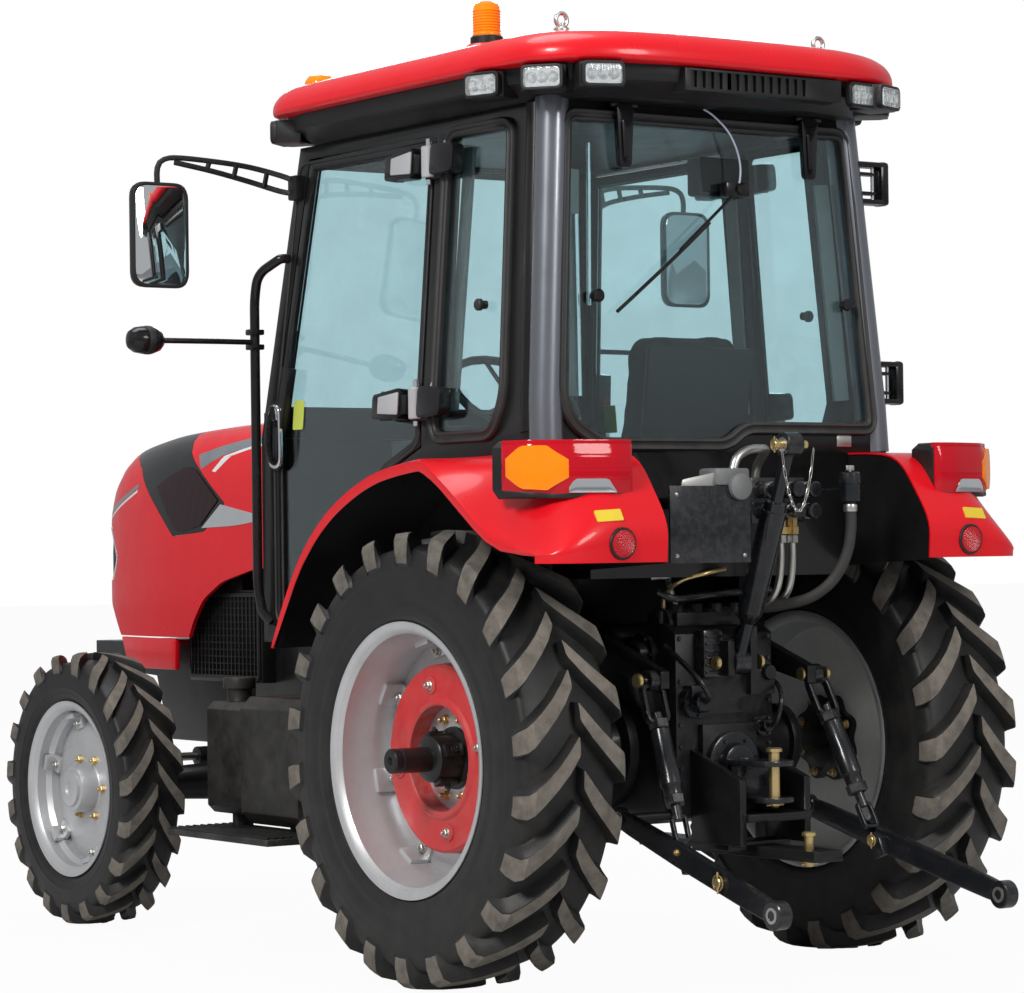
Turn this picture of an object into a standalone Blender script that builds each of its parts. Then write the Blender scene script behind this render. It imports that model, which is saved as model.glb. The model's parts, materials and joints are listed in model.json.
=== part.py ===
"""Farm tractor with a glazed four-post cab, as separate named solids.

Metres, +X forward, +Y left, +Z up. The origin is on the ground, in the middle of the
tractor's length and width. Every piece is laid out from the datum below the rear axle.
"""

import math

import bmesh
import bpy
from mathutils import Matrix, Vector

# Overall layout
WHEELBASE = 2.10
REAR_REACH = 1.08
FRONT_REACH = 0.98
GAP = 0.0003
RUN = 0.0016
CLEAR = 0.006
OVERRUN = 0.05
SINK = 0.006

# Rear wheels
REAR_TRACK = 1.40
REAR_RADIUS = 0.63
REAR_SECTION = 0.315
REAR_RIM_RADIUS = 0.355
REAR_FLANGE = 0.026
REAR_RIM_WIDTH = 0.30
REAR_LUG = 0.036
REAR_LUGS = 22
AXLE_SHAFT_RADIUS = 0.0345
AXLE_OUT = 0.194
HUB_RADIUS = 0.056
WEIGHT_RADIUS = 0.263
WEIGHT_BORE = 0.1465
WEIGHT_THICKNESS = 0.07

# Front wheels
FRONT_TRACK = 1.40
FRONT_RADIUS = 0.4425
FRONT_SECTION = 0.21
FRONT_RIM_RADIUS = 0.262
FRONT_FLANGE = 0.024
FRONT_RIM_WIDTH = 0.19
FRONT_LUG = 0.026
FRONT_LUGS = 19
FRONT_HUB_RADIUS = 0.082
RIM_WALL = 0.008
DISC_WALL = 0.010

# Front axle and steering
KINGPIN_IN = 0.125
KINGPIN_RADIUS = 0.03
KNUCKLE_HEIGHT = 0.26
BEAM_RADIUS = 0.06
STEER_ARM = 0.15
STEER_ROD_RADIUS = 0.014
STEER_CYLINDER_RADIUS = 0.032
STEERING_WHEEL_RADIUS = 0.20

# Backbone
HOUSING_HALF = 0.17
HOUSING_REAR = 0.34
HOUSING_FRONT = 0.95
HOUSING_BOTTOM = 0.43
HOUSING_TOP = 0.99
TRUMPET_IN = 0.23
TRUMPET_RADIUS = 0.105
ENGINE_BEHIND = 0.20
ENGINE_HALF = 0.20
ENGINE_BOTTOM = 0.56
ENGINE_TOP = 1.36
CARRIER_TOP = 0.894

# Hood
HOOD_REAR = 1.19
HOOD_AHEAD = 0.845
HOOD_BOTTOM = 0.81
HOOD_TOP = 1.635
HOOD_HALF = 0.31
HOOD_WALL = 0.018
HOOD_PIVOT_X = 1.235
HOOD_PIVOT_Z = 1.585
VALANCE_TOP = 0.915
VALANCE_REACH = 0.46
VALANCE_SLOT = 0.005
GRILLE_SLOTS = 5
GRILLE_SLOT = 0.018
RADIATOR_REAR = 0.33
RADIATOR_FRONT = 0.15
RADIATOR_HALF = 0.25
RADIATOR_TOP = 1.28
SCREEN_BOTTOM = 0.775
SCREEN_TOP = 1.08

# Cab
CAB_BELT = 1.55
CAB_HALF_BELT = 0.605
CAB_HALF_TOP = 0.535
CAB_TOP = 2.43
CAB_REAR_BELT = -0.345
CAB_REAR_TOP = -0.30
CAB_FRONT_BELT = 1.155
CAB_FRONT_TOP = 1.02
CAB_FLOOR = 0.93
REAR_SILL = 1.503
CAB_WALL = 0.05
SHEET = 0.03
GLASS = 0.006
SEAT_DECK = 1.12
DOOR_REAR = 0.27
DOOR_FRONT = 1.085
DOOR_BOTTOM = 0.985
DOOR_TOP = 2.385
DOOR_FRAME = 0.028
DOOR_THICKNESS = 0.03
DOOR_HINGE_OUT = 0.014
HINGE_BARREL = 0.011
HINGE_COVER = 0.175
HINGE_LEAF = 0.16
HINGE_POST_LEAF = 0.062
HINGE_HALF = 0.025
HINGE_HEIGHTS = (1.62, 2.31)
POST_RADIUS = 0.036
ROOF_BOTTOM = 2.515
ROOF_TOP = 2.63
ROOF_REAR = -0.53
ROOF_FRONT = 1.135
ROOF_HALF = 0.66
LAMP_HALF = 0.062
LAMP_HEIGHT = 0.068
VENT_RIBS = 14
BEACON_X = 0.134
BEACON_Y = 0.45
BEACON_RADIUS = 0.045
BEACON_TOP = 2.76
EYE_BOLT_X = -0.241
EYE_BOLT_Y = 0.458
EYE_BOLT_RADIUS = 0.02
MARKER_X = 0.96
MARKER_Y = 0.50

# Fenders
FENDER_REAR = -0.69
FENDER_FRONT = 0.745
FENDER_TOP = 1.465
FENDER_IN = 0.24
FENDER_OUT = 0.13
FENDER_TONGUE = 0.49
FENDER_WALL = 0.02
FENDER_LIP = 0.055
PLATE_X = -0.60
PLATE_INNER = 0.11
PLATE_OUTER = 0.38
PLATE_BOTTOM = 1.162
PLATE_TOP = 1.366

# Tank and steps
TANK_REAR = 0.92
TANK_BEHIND = 0.60
TANK_BOTTOM = 0.37
TANK_TOP = 0.76
TANK_SIDE = 0.635
TANK_BRACKET = 0.12
STEP_Z = 0.33
STEP_SIDE = 0.76

# Hitch
LINK_PIVOT_X = -0.30
LINK_PIVOT_Z = 0.46
LINK_END_Z = 0.26
LINK_FRONT_Y = 0.335
LINK_END_Y = 0.391
LINK_WIDTH = 0.022
LINK_DEPTH = 0.06
PIN_RADIUS = 0.0125
LIFT_SHAFT_X = -0.10
LIFT_SHAFT_Z = 0.92
LIFT_SHAFT_RADIUS = 0.028
LIFT_ARM_X = -0.38
LIFT_ARM_Z = 0.84
LIFT_ARM_Y = 0.275
LIFT_ARM_WIDTH = 0.03
ROD_LINK_X = -0.589
ROD_LINK_Z = 0.380
ROD_RADIUS = 0.016
TOP_PIN_X = -0.403
TOP_PIN_Z = 0.882
TOP_END_X = -0.643
TOP_END_Z = 1.479
TOP_TUBE_RADIUS = 0.022

rear_x = REAR_REACH - (REAR_REACH + WHEELBASE + FRONT_REACH) / 2
front_axle = WHEELBASE
axle_end = REAR_TRACK / 2 + AXLE_OUT
trumpet_end = REAR_TRACK / 2 - TRUMPET_IN
fender_inner = REAR_TRACK / 2 - FENDER_IN
fender_outer = REAR_TRACK / 2 + FENDER_OUT
kingpin_y = FRONT_TRACK / 2 - KINGPIN_IN
engine_front = front_axle - ENGINE_BEHIND
hood_front = front_axle + HOOD_AHEAD
tank_front = front_axle - TANK_BEHIND
knuckle_half = KNUCKLE_HEIGHT / 2
arm_z = FRONT_RADIUS + knuckle_half * 0.8
arm_half = KINGPIN_RADIUS * 0.4
steer_rod_z = arm_z - KINGPIN_RADIUS
link_ball = PIN_RADIUS * 3
link_end_x = -REAR_REACH + link_ball


# Shape tools: a shape is a pair of a point list and a face list

def outward(points, faces):
    volume = 0.0
    for face in faces:
        for i in range(1, len(face) - 1):
            volume += points[face[0]].dot(points[face[i]].cross(points[face[i + 1]]))
    if volume < 0:
        faces = [tuple(reversed(face)) for face in faces]
    return points, faces


def loft(loops):
    count = len(loops[0])
    points = [Vector(p) for loop in loops for p in loop]
    faces = []
    for j in range(len(loops) - 1):
        for i in range(count):
            k = (i + 1) % count
            faces.append((j * count + i, j * count + k, (j + 1) * count + k, (j + 1) * count + i))
    faces.append(tuple(reversed(range(count))))
    last = (len(loops) - 1) * count
    faces.append(tuple(last + i for i in range(count)))
    return outward(points, faces)


def ring(loops):
    count = len(loops[0])
    points = [Vector(p) for loop in loops for p in loop]
    faces = []
    for j in range(len(loops)):
        n = (j + 1) % len(loops)
        for i in range(count):
            k = (i + 1) % count
            faces.append((j * count + i, j * count + k, n * count + k, n * count + i))
    return outward(points, faces)


def lift_point(plane, u, v, w):
    return {"xz": (u, w, v), "xy": (u, v, w), "yz": (w, u, v)}[plane]


def prism(outline, plane, low, high):
    loops = [[lift_point(plane, u, v, w) for u, v in outline] for w in (low, high)]
    return loft(loops)


def box(x0, x1, y0, y1, z0, z1):
    return prism([(x0, z0), (x1, z0), (x1, z1), (x0, z1)], "xz", y0, y1)


def frame_ring(outer, inner, plane, low, high):
    sides = [(outer, low), (outer, high), (inner, high), (inner, low)]
    return ring([[lift_point(plane, u, v, w) for u, v in outline] for outline, w in sides])


def basis(axis):
    axis = Vector(axis).normalized()
    side = axis.cross(Vector((0, 0, 1)))
    if side.length < 0.01:
        side = axis.cross(Vector((0, 1, 0)))
    side.normalize()
    return axis, side, axis.cross(side)


def circle(centre, axis, radius, sides, turn=0.5):
    axis, a, b = basis(axis)
    angles = [2 * math.pi * (i + turn) / sides for i in range(sides)]
    return [Vector(centre) + (a * math.cos(t) + b * math.sin(t)) * radius for t in angles]


def turned(start, axis, stations, sides=16):
    axis = Vector(axis).normalized()
    return loft([circle(Vector(start) + axis * s, axis, r, sides) for s, r in stations])


def rod(start, end, radius, sides=12):
    start, end = Vector(start), Vector(end)
    return turned(start, end - start, [(0, radius), ((end - start).length, radius)], sides)


def turned_ring(centre, axis, profile, sides):
    axis = Vector(axis).normalized()
    return ring([circle(Vector(centre) + axis * s, axis, r, sides) for s, r in profile])


def sweep(path, width, depth, up=(0, 0, 1), sides=4):
    path = [Vector(p) for p in path]
    loops = []
    for i, p in enumerate(path):
        before = (p - path[i - 1]).normalized() if i > 0 else None
        after = (path[i + 1] - p).normalized() if i < len(path) - 1 else None
        along = ((before or after) + (after or before)).normalized()
        stretch = 1 / max(along.dot(before or after), 0.3)
        a = Vector(up).cross(along).normalized()
        b = along.cross(a)
        loop = []
        for k in range(sides):
            t = 2 * math.pi * (k + 0.5) / sides
            fit = math.sqrt(2) if sides == 4 else 1
            loop.append(p + a * math.cos(t) * fit * width / 2 + b * math.sin(t) * fit * depth / 2 * stretch)
        loops.append(loop)
    return loft(loops)


def pipe(path, radius, up=(0, 0, 1), sides=8):
    return sweep(path, 2 * radius, 2 * radius, up, sides)


def mirrored(shape):
    points, faces = shape
    return outward([Vector((p.x, -p.y, p.z)) for p in points], faces)


def sided(shape, side):
    return shape if side > 0 else mirrored(shape)


def inset(outline, distance):
    area = sum(a[0] * b[1] - b[0] * a[1] for a, b in zip(outline, outline[1:] + outline[:1]))
    turn = 1 if area > 0 else -1
    result = []
    for i, point in enumerate(outline):
        p = Vector(point)
        e0 = (p - Vector(outline[i - 1])).normalized()
        e1 = (Vector(outline[(i + 1) % len(outline)]) - p).normalized()
        n0 = Vector((-e0.y, e0.x)) * turn
        n1 = Vector((-e1.y, e1.x)) * turn
        result.append(tuple(p + (n0 + n1) * distance / (1 + n0.dot(n1))))
    return result


def spread(shares, u0, u1, v0, v1):
    return [(u0 + (u1 - u0) * u, v0 + (v1 - v0) * v) for u, v in shares]


def bisected(shape, height):
    work = bmesh.new()
    verts = [work.verts.new(p) for p in shape[0]]
    for face in shape[1]:
        work.faces.new([verts[i] for i in face])
    bmesh.ops.bisect_plane(
        work, geom=work.verts[:] + work.edges[:] + work.faces[:], dist=GAP / 10,
        plane_co=(0, 0, height), plane_no=(0, 0, 1))
    work.verts.index_update()
    points = [v.co.copy() for v in work.verts]
    faces = [tuple(v.index for v in f.verts) for f in work.faces]
    work.free()
    return points, faces


def side_half(z):
    slope = (CAB_HALF_TOP - CAB_HALF_BELT) / (CAB_TOP - CAB_BELT)
    return CAB_HALF_BELT + max(0, z - CAB_BELT) * slope


def rear_plane(z):
    return CAB_REAR_BELT + (z - CAB_BELT) * (CAB_REAR_TOP - CAB_REAR_BELT) / (CAB_TOP - CAB_BELT)


def front_plane(z):
    slope = (CAB_FRONT_TOP - CAB_FRONT_BELT) / (CAB_TOP - CAB_BELT)
    return CAB_FRONT_BELT + max(0, z - CAB_BELT) * slope


def pane_half(z):
    return side_half(z) - CAB_WALL - SINK


def screen_outline(gap):
    low, top = HOOD_TOP + gap, DOOR_TOP - gap
    low_half, top_half = pane_half(HOOD_TOP) - gap, pane_half(DOOR_TOP) - gap
    return [(-low_half, low), (low_half, low), (top_half, top), (-top_half, top)]


def rear_outline(gap):
    """The rear window: its lower corners are cut off above the tail lamps."""
    high = CAB_BELT + SHEET
    half = pane_half(high) - gap
    low, top, top_half = REAR_SILL + gap, DOOR_TOP - gap, pane_half(DOOR_TOP) - gap
    return [(-half, high), (CAB_WALL * 1.4 - half, low), (half - CAB_WALL * 1.4, low), (half, high),
            (top_half, top), (-top_half, top)]


def on_side(shape):
    points, faces = bisected(shape, CAB_BELT)
    return [Vector((p.x, p.y + side_half(p.z), p.z)) for p in points], faces


def on_front(shape):
    points, faces = bisected(shape, CAB_BELT)
    return [Vector((p.x + front_plane(p.z), p.y, p.z)) for p in points], faces


def on_rear(shape):
    points, faces = shape
    return [Vector((p.x + rear_plane(p.z), p.y, p.z)) for p in points], faces


# Objects

for old in list(bpy.data.objects):
    bpy.data.objects.remove(old, do_unlink=True)

datum = bpy.data.objects.new("tractor_datum", None)
bpy.context.scene.collection.objects.link(datum)
datum.location = (rear_x, 0, 0)

paints = {}
# Columns: paint, red, green, blue, roughness, metallic
for paint, red, green, blue, rough, metal in (
        ("body_red", 0.55, 0.03, 0.02, 0.3, 0.0),
        ("black_iron", 0.03, 0.03, 0.032, 0.55, 0.3),
        ("black_plastic", 0.02, 0.02, 0.022, 0.5, 0.0),
        ("rubber", 0.025, 0.025, 0.027, 0.85, 0.0),
        ("wheel_silver", 0.62, 0.63, 0.65, 0.35, 0.6),
        ("zinc", 0.6, 0.58, 0.5, 0.35, 0.9),
        ("amber_plastic", 0.9, 0.35, 0.02, 0.25, 0.0),
        ("tinted_glass", 0.25, 0.4, 0.55, 0.05, 0.0),
        ("seat_cloth", 0.05, 0.05, 0.055, 0.9, 0.0)):
    material = bpy.data.materials.new(paint)
    material.use_nodes = True
    shader = material.node_tree.nodes["Principled BSDF"]
    shader.inputs["Base Color"].default_value = (red, green, blue, 1)
    shader.inputs["Roughness"].default_value = rough
    shader.inputs["Metallic"].default_value = metal
    paints[paint] = material


def mesh_object(name, shape):
    mesh = bpy.data.meshes.new(name)
    mesh.from_pydata([tuple(p) for p in shape[0]], [], shape[1])
    mesh.update()
    item = bpy.data.objects.new(name, mesh)
    bpy.context.scene.collection.objects.link(item)
    return item


def combine(item, shapes, operation):
    group = bpy.data.collections.new("operands")
    bpy.context.scene.collection.children.link(group)
    for i, shape in enumerate(shapes):
        operand = mesh_object("operand", shape)
        bpy.context.scene.collection.objects.unlink(operand)
        group.objects.link(operand)
    change = item.modifiers.new("combine", "BOOLEAN")
    change.operation = operation
    change.solver = "EXACT"
    change.operand_type = "COLLECTION"
    change.collection = group
    bpy.context.view_layer.update()
    evaluated = item.evaluated_get(bpy.context.evaluated_depsgraph_get())
    result = bpy.data.meshes.new_from_object(evaluated)
    item.modifiers.clear()
    item.data = result
    for operand in list(group.objects):
        bpy.data.objects.remove(operand, do_unlink=True)
    bpy.data.collections.remove(group)


def finish(item, paint, pivot):
    item.data.name = item.name
    item.data.materials.clear()
    item.data.materials.append(paints[paint])
    item.data.transform(Matrix.Translation(-Vector(pivot)))
    item.parent = datum
    item.location = pivot
    item.data.shade_smooth()
    item.data.set_sharp_from_angle(angle=math.radians(32))


def piece(name, paint, shapes, cuts=(), pivot=(0, 0, 0)):
    item = mesh_object(name, shapes[0])
    if len(shapes) > 1:
        combine(item, shapes[1:], "UNION")
    if cuts:
        combine(item, cuts, "DIFFERENCE")
    finish(item, paint, pivot)
    return item


# Wheels

def tyre(name, centre, side, radius, section, rim_radius, flange, rim_width, lug, lugs):
    """A ring with slanted lugs: two columns of faces a lug pitch, the lugs raised from them."""
    pitch = 2 * math.pi / lugs
    lug_share = 0.36
    tread = section / 2 * 0.94
    root = radius - lug
    seat_y = rim_width / 2 - RIM_WALL - GAP
    flat = math.cos(pitch * (1 - lug_share) / 2)
    # Columns: place across the tyre, radius, slant in pitches, raised
    half = [
        (section * 0.06, root, 0.0),
        (tread, root - lug * 0.55, 0.80),
        (tread * 1.04, root - lug * 1.6, 0.92),
        (section / 2, rim_radius + (radius - rim_radius) * 0.46, 0.92),
        (seat_y, (rim_radius + flange + GAP) / flat, 0.92),
        (seat_y, (rim_radius + GAP) / flat, 0.92),
    ]
    raised = [(section * 0.06, radius), (tread, radius - lug * 0.25), (tread * 1.09, root - lug * 1.5)]
    rows = [(y, r, s, 1) for y, r, s in half] + [(-y, r, s, -1) for y, r, s in reversed(half)]
    points = []
    index = {}

    def spot(row, column, top):
        key = (row, column % (2 * lugs), top)
        if key not in index:
            y, r, slant, hand = rows[row]
            if top:
                order = row if hand > 0 else len(rows) - 1 - row
                y, r = raised[order]
                y *= hand
            start = column // 2 + (0 if column % 2 == 0 else lug_share)
            if hand < 0:
                start = column // 2 + (lug_share - 0.5 if column % 2 == 0 else 0.5)
            angle = (start + slant) * pitch - math.pi / 2
            index[key] = len(points)
            points.append(Vector((r * math.cos(angle), y, r * math.sin(angle))))
        return index[key]

    faces = []
    count = len(rows)
    for row in range(count):
        after = (row + 1) % count
        for column in range(2 * lugs):
            on_left = row in (0, 1) and column % 2 == 0
            on_right = row in (count - 3, count - 2) and column % 2 == 1
            corners = [(row, column), (row, column + 1), (after, column + 1), (after, column)]
            if not (on_left or on_right):
                faces.append(tuple(spot(r, c, False) for r, c in corners))
                continue
            faces.append(tuple(spot(r, c, True) for r, c in corners))
            for a, b in zip(corners, corners[1:] + corners[:1]):
                inner_edge = a[0] == b[0] and a[0] in (1, count - 2)
                if not inner_edge:
                    faces.append((spot(*a, False), spot(*b, False), spot(*b, True), spot(*a, True)))
    points, faces = outward(points, faces)
    shape = (points, faces)
    if side < 0:
        shape = mirrored(shape)
    shape = ([p + Vector(centre) for p in shape[0]], shape[1])
    return piece(name, "rubber", [shape], pivot=centre)


def rim_profile(rim_radius, flange, width):
    half = width / 2
    return [(-half, rim_radius + flange), (RIM_WALL - half, rim_radius + flange),
            (RIM_WALL - half, rim_radius), (half - RIM_WALL, rim_radius),
            (half - RIM_WALL, rim_radius + flange), (half, rim_radius + flange),
            (half, rim_radius - RIM_WALL), (-half, rim_radius - RIM_WALL)]


def rear_wheel(hand, side):
    centre = Vector((0, REAR_TRACK / 2, REAR_RADIUS))
    across = (0, 1, 0)
    tyre("rear_tyre_" + hand, (0, side * REAR_TRACK / 2, REAR_RADIUS), side, REAR_RADIUS, REAR_SECTION,
         REAR_RIM_RADIUS, REAR_FLANGE, REAR_RIM_WIDTH, REAR_LUG, REAR_LUGS)
    reach = REAR_RIM_RADIUS - RIM_WALL / 2
    disc_y = -REAR_RIM_WIDTH * 0.12
    disc_out = REAR_TRACK / 2 + disc_y - DISC_WALL
    shapes = [
        turned_ring(centre, across, rim_profile(REAR_RIM_RADIUS, REAR_FLANGE, REAR_RIM_WIDTH), 30),
        turned(centre, across, [(disc_y, reach), (disc_y + DISC_WALL, reach)], 30),
        turned(centre, across, [(disc_y - DISC_WALL * 2, HUB_RADIUS * 1.9),
                                (disc_y + DISC_WALL / 2, HUB_RADIUS * 1.9)], 24),
        turned_ring(centre, across, [(disc_y + DISC_WALL / 2, WEIGHT_BORE),
                                     (disc_y + DISC_WALL / 2, WEIGHT_RADIUS),
                                     (disc_y + WEIGHT_THICKNESS * 0.8, WEIGHT_RADIUS),
                                     (disc_y + WEIGHT_THICKNESS, WEIGHT_RADIUS * 0.96),
                                     (disc_y + WEIGHT_THICKNESS, WEIGHT_BORE)], 30),
        turned((0, 0, REAR_RADIUS), across, [(trumpet_end + GAP, AXLE_SHAFT_RADIUS),
                                             (disc_out, AXLE_SHAFT_RADIUS),
                                             (disc_out, HUB_RADIUS),
                                             (axle_end - HUB_RADIUS * 2.2, HUB_RADIUS),
                                             (axle_end - HUB_RADIUS * 2.2, AXLE_SHAFT_RADIUS),
                                             (axle_end, AXLE_SHAFT_RADIUS)], 16),
    ]
    shapes = [sided(shape, side) for shape in shapes]
    piece("rear_rim_" + hand, "wheel_silver", shapes, pivot=(0, side * REAR_TRACK / 2, REAR_RADIUS))


def front_wheel(hand, side):
    centre = Vector((front_axle, FRONT_TRACK / 2, FRONT_RADIUS))
    across = (0, 1, 0)
    tyre("front_tyre_" + hand, (front_axle, side * FRONT_TRACK / 2, FRONT_RADIUS), side, FRONT_RADIUS,
         FRONT_SECTION, FRONT_RIM_RADIUS, FRONT_FLANGE, FRONT_RIM_WIDTH, FRONT_LUG, FRONT_LUGS)
    reach = FRONT_RIM_RADIUS - RIM_WALL / 2
    disc_y = FRONT_RIM_WIDTH * 0.05
    hub_start = kingpin_y + KINGPIN_RADIUS * 2 + GAP - FRONT_TRACK / 2
    shapes = [
        turned_ring(centre, across, rim_profile(FRONT_RIM_RADIUS, FRONT_FLANGE, FRONT_RIM_WIDTH), 28),
        turned(centre, across, [(disc_y, reach), (disc_y + DISC_WALL, reach)], 28),
        turned(centre, across, [(hub_start, FRONT_HUB_RADIUS), (FRONT_RIM_WIDTH * 0.4, FRONT_HUB_RADIUS),
                                (FRONT_RIM_WIDTH * 0.48, FRONT_HUB_RADIUS * 0.7)], 20),
    ]
    shapes = [sided(shape, side) for shape in shapes]
    piece("front_rim_" + hand, "wheel_silver", shapes,
          pivot=(front_axle, side * FRONT_TRACK / 2, FRONT_RADIUS))


def knuckle(hand, side):
    pin = Vector((front_axle, kingpin_y, FRONT_RADIUS))
    half = knuckle_half
    flange = kingpin_y + KINGPIN_RADIUS * 2
    arm_x = front_axle + STEER_ARM + KINGPIN_RADIUS
    arm = [(front_axle, kingpin_y + KINGPIN_RADIUS), (front_axle, kingpin_y - KINGPIN_RADIUS),
           (arm_x, kingpin_y - KINGPIN_RADIUS * 3.2), (arm_x, kingpin_y - KINGPIN_RADIUS * 1.2)]
    shapes = [
        turned(pin, (0, 0, 1), [(-half, KINGPIN_RADIUS * 1.4), (half, KINGPIN_RADIUS * 1.4)], 14),
        turned(pin, (0, 1, 0), [(0, half * 0.8), (flange - kingpin_y, half * 0.75)], 16),
        prism(arm, "xy", arm_z - arm_half, arm_z + arm_half),
    ]
    fork = box(front_axle - BEAM_RADIUS * 2.4, front_axle + KINGPIN_RADIUS * 1.9, 0,
               kingpin_y + KINGPIN_RADIUS * 1.7, FRONT_RADIUS - half * 0.7, FRONT_RADIUS + half * 0.7)
    piece("knuckle_" + hand, "black_iron", [sided(s, side) for s in shapes], [sided(fork, side)],
          pivot=(front_axle, side * kingpin_y, FRONT_RADIUS))


def front_axle_beam():
    across = (0, 1, 0)
    start = (front_axle, 0, FRONT_RADIUS)
    end = kingpin_y - KINGPIN_RADIUS * 1.7
    shapes = [turned(start, across, [(-end, BEAM_RADIUS * 0.8), (-end * 0.55, BEAM_RADIUS),
                                     (-end * 0.35, BEAM_RADIUS * 1.1), (-end * 0.2, BEAM_RADIUS * 1.9),
                                     (end * 0.2, BEAM_RADIUS * 1.9), (end * 0.35, BEAM_RADIUS * 1.1),
                                     (end * 0.55, BEAM_RADIUS), (end, BEAM_RADIUS * 0.8)], 16)]
    shapes.append(rod((HOUSING_FRONT - OVERRUN, 0, FRONT_RADIUS), (front_axle, 0, FRONT_RADIUS),
                      BEAM_RADIUS * 0.6))
    cylinder_x = front_axle + STEER_ARM
    half = kingpin_y * 0.4
    shapes.append(box(front_axle, cylinder_x, -BEAM_RADIUS, BEAM_RADIUS, FRONT_RADIUS - BEAM_RADIUS * 0.5,
                      steer_rod_z - STEER_CYLINDER_RADIUS / 2))
    shapes.append(turned((cylinder_x, 0, steer_rod_z), across,
                         [(-half, STEER_CYLINDER_RADIUS), (half, STEER_CYLINDER_RADIUS)], 14))
    bore = rod((cylinder_x, -half - OVERRUN, steer_rod_z),
               (cylinder_x, half + OVERRUN, steer_rod_z), STEER_ROD_RADIUS + GAP * 2, 14)
    piece("front_axle_beam", "black_iron", shapes, [bore])


def steering_rod():
    y = kingpin_y - KINGPIN_RADIUS * 2.2
    x = front_axle + STEER_ARM
    shapes = [rod((x, -y, steer_rod_z), (x, y, steer_rod_z), STEER_ROD_RADIUS, 14)]
    top = arm_z - arm_half - GAP
    low = 2 * steer_rod_z - top
    for side in (1, -1):
        shapes.append(rod((x, side * y, low), (x, side * y, top), STEER_ROD_RADIUS * 1.5, 12))
    piece("steering_rod", "zinc", shapes, pivot=(x, 0, steer_rod_z))


# Backbone

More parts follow.
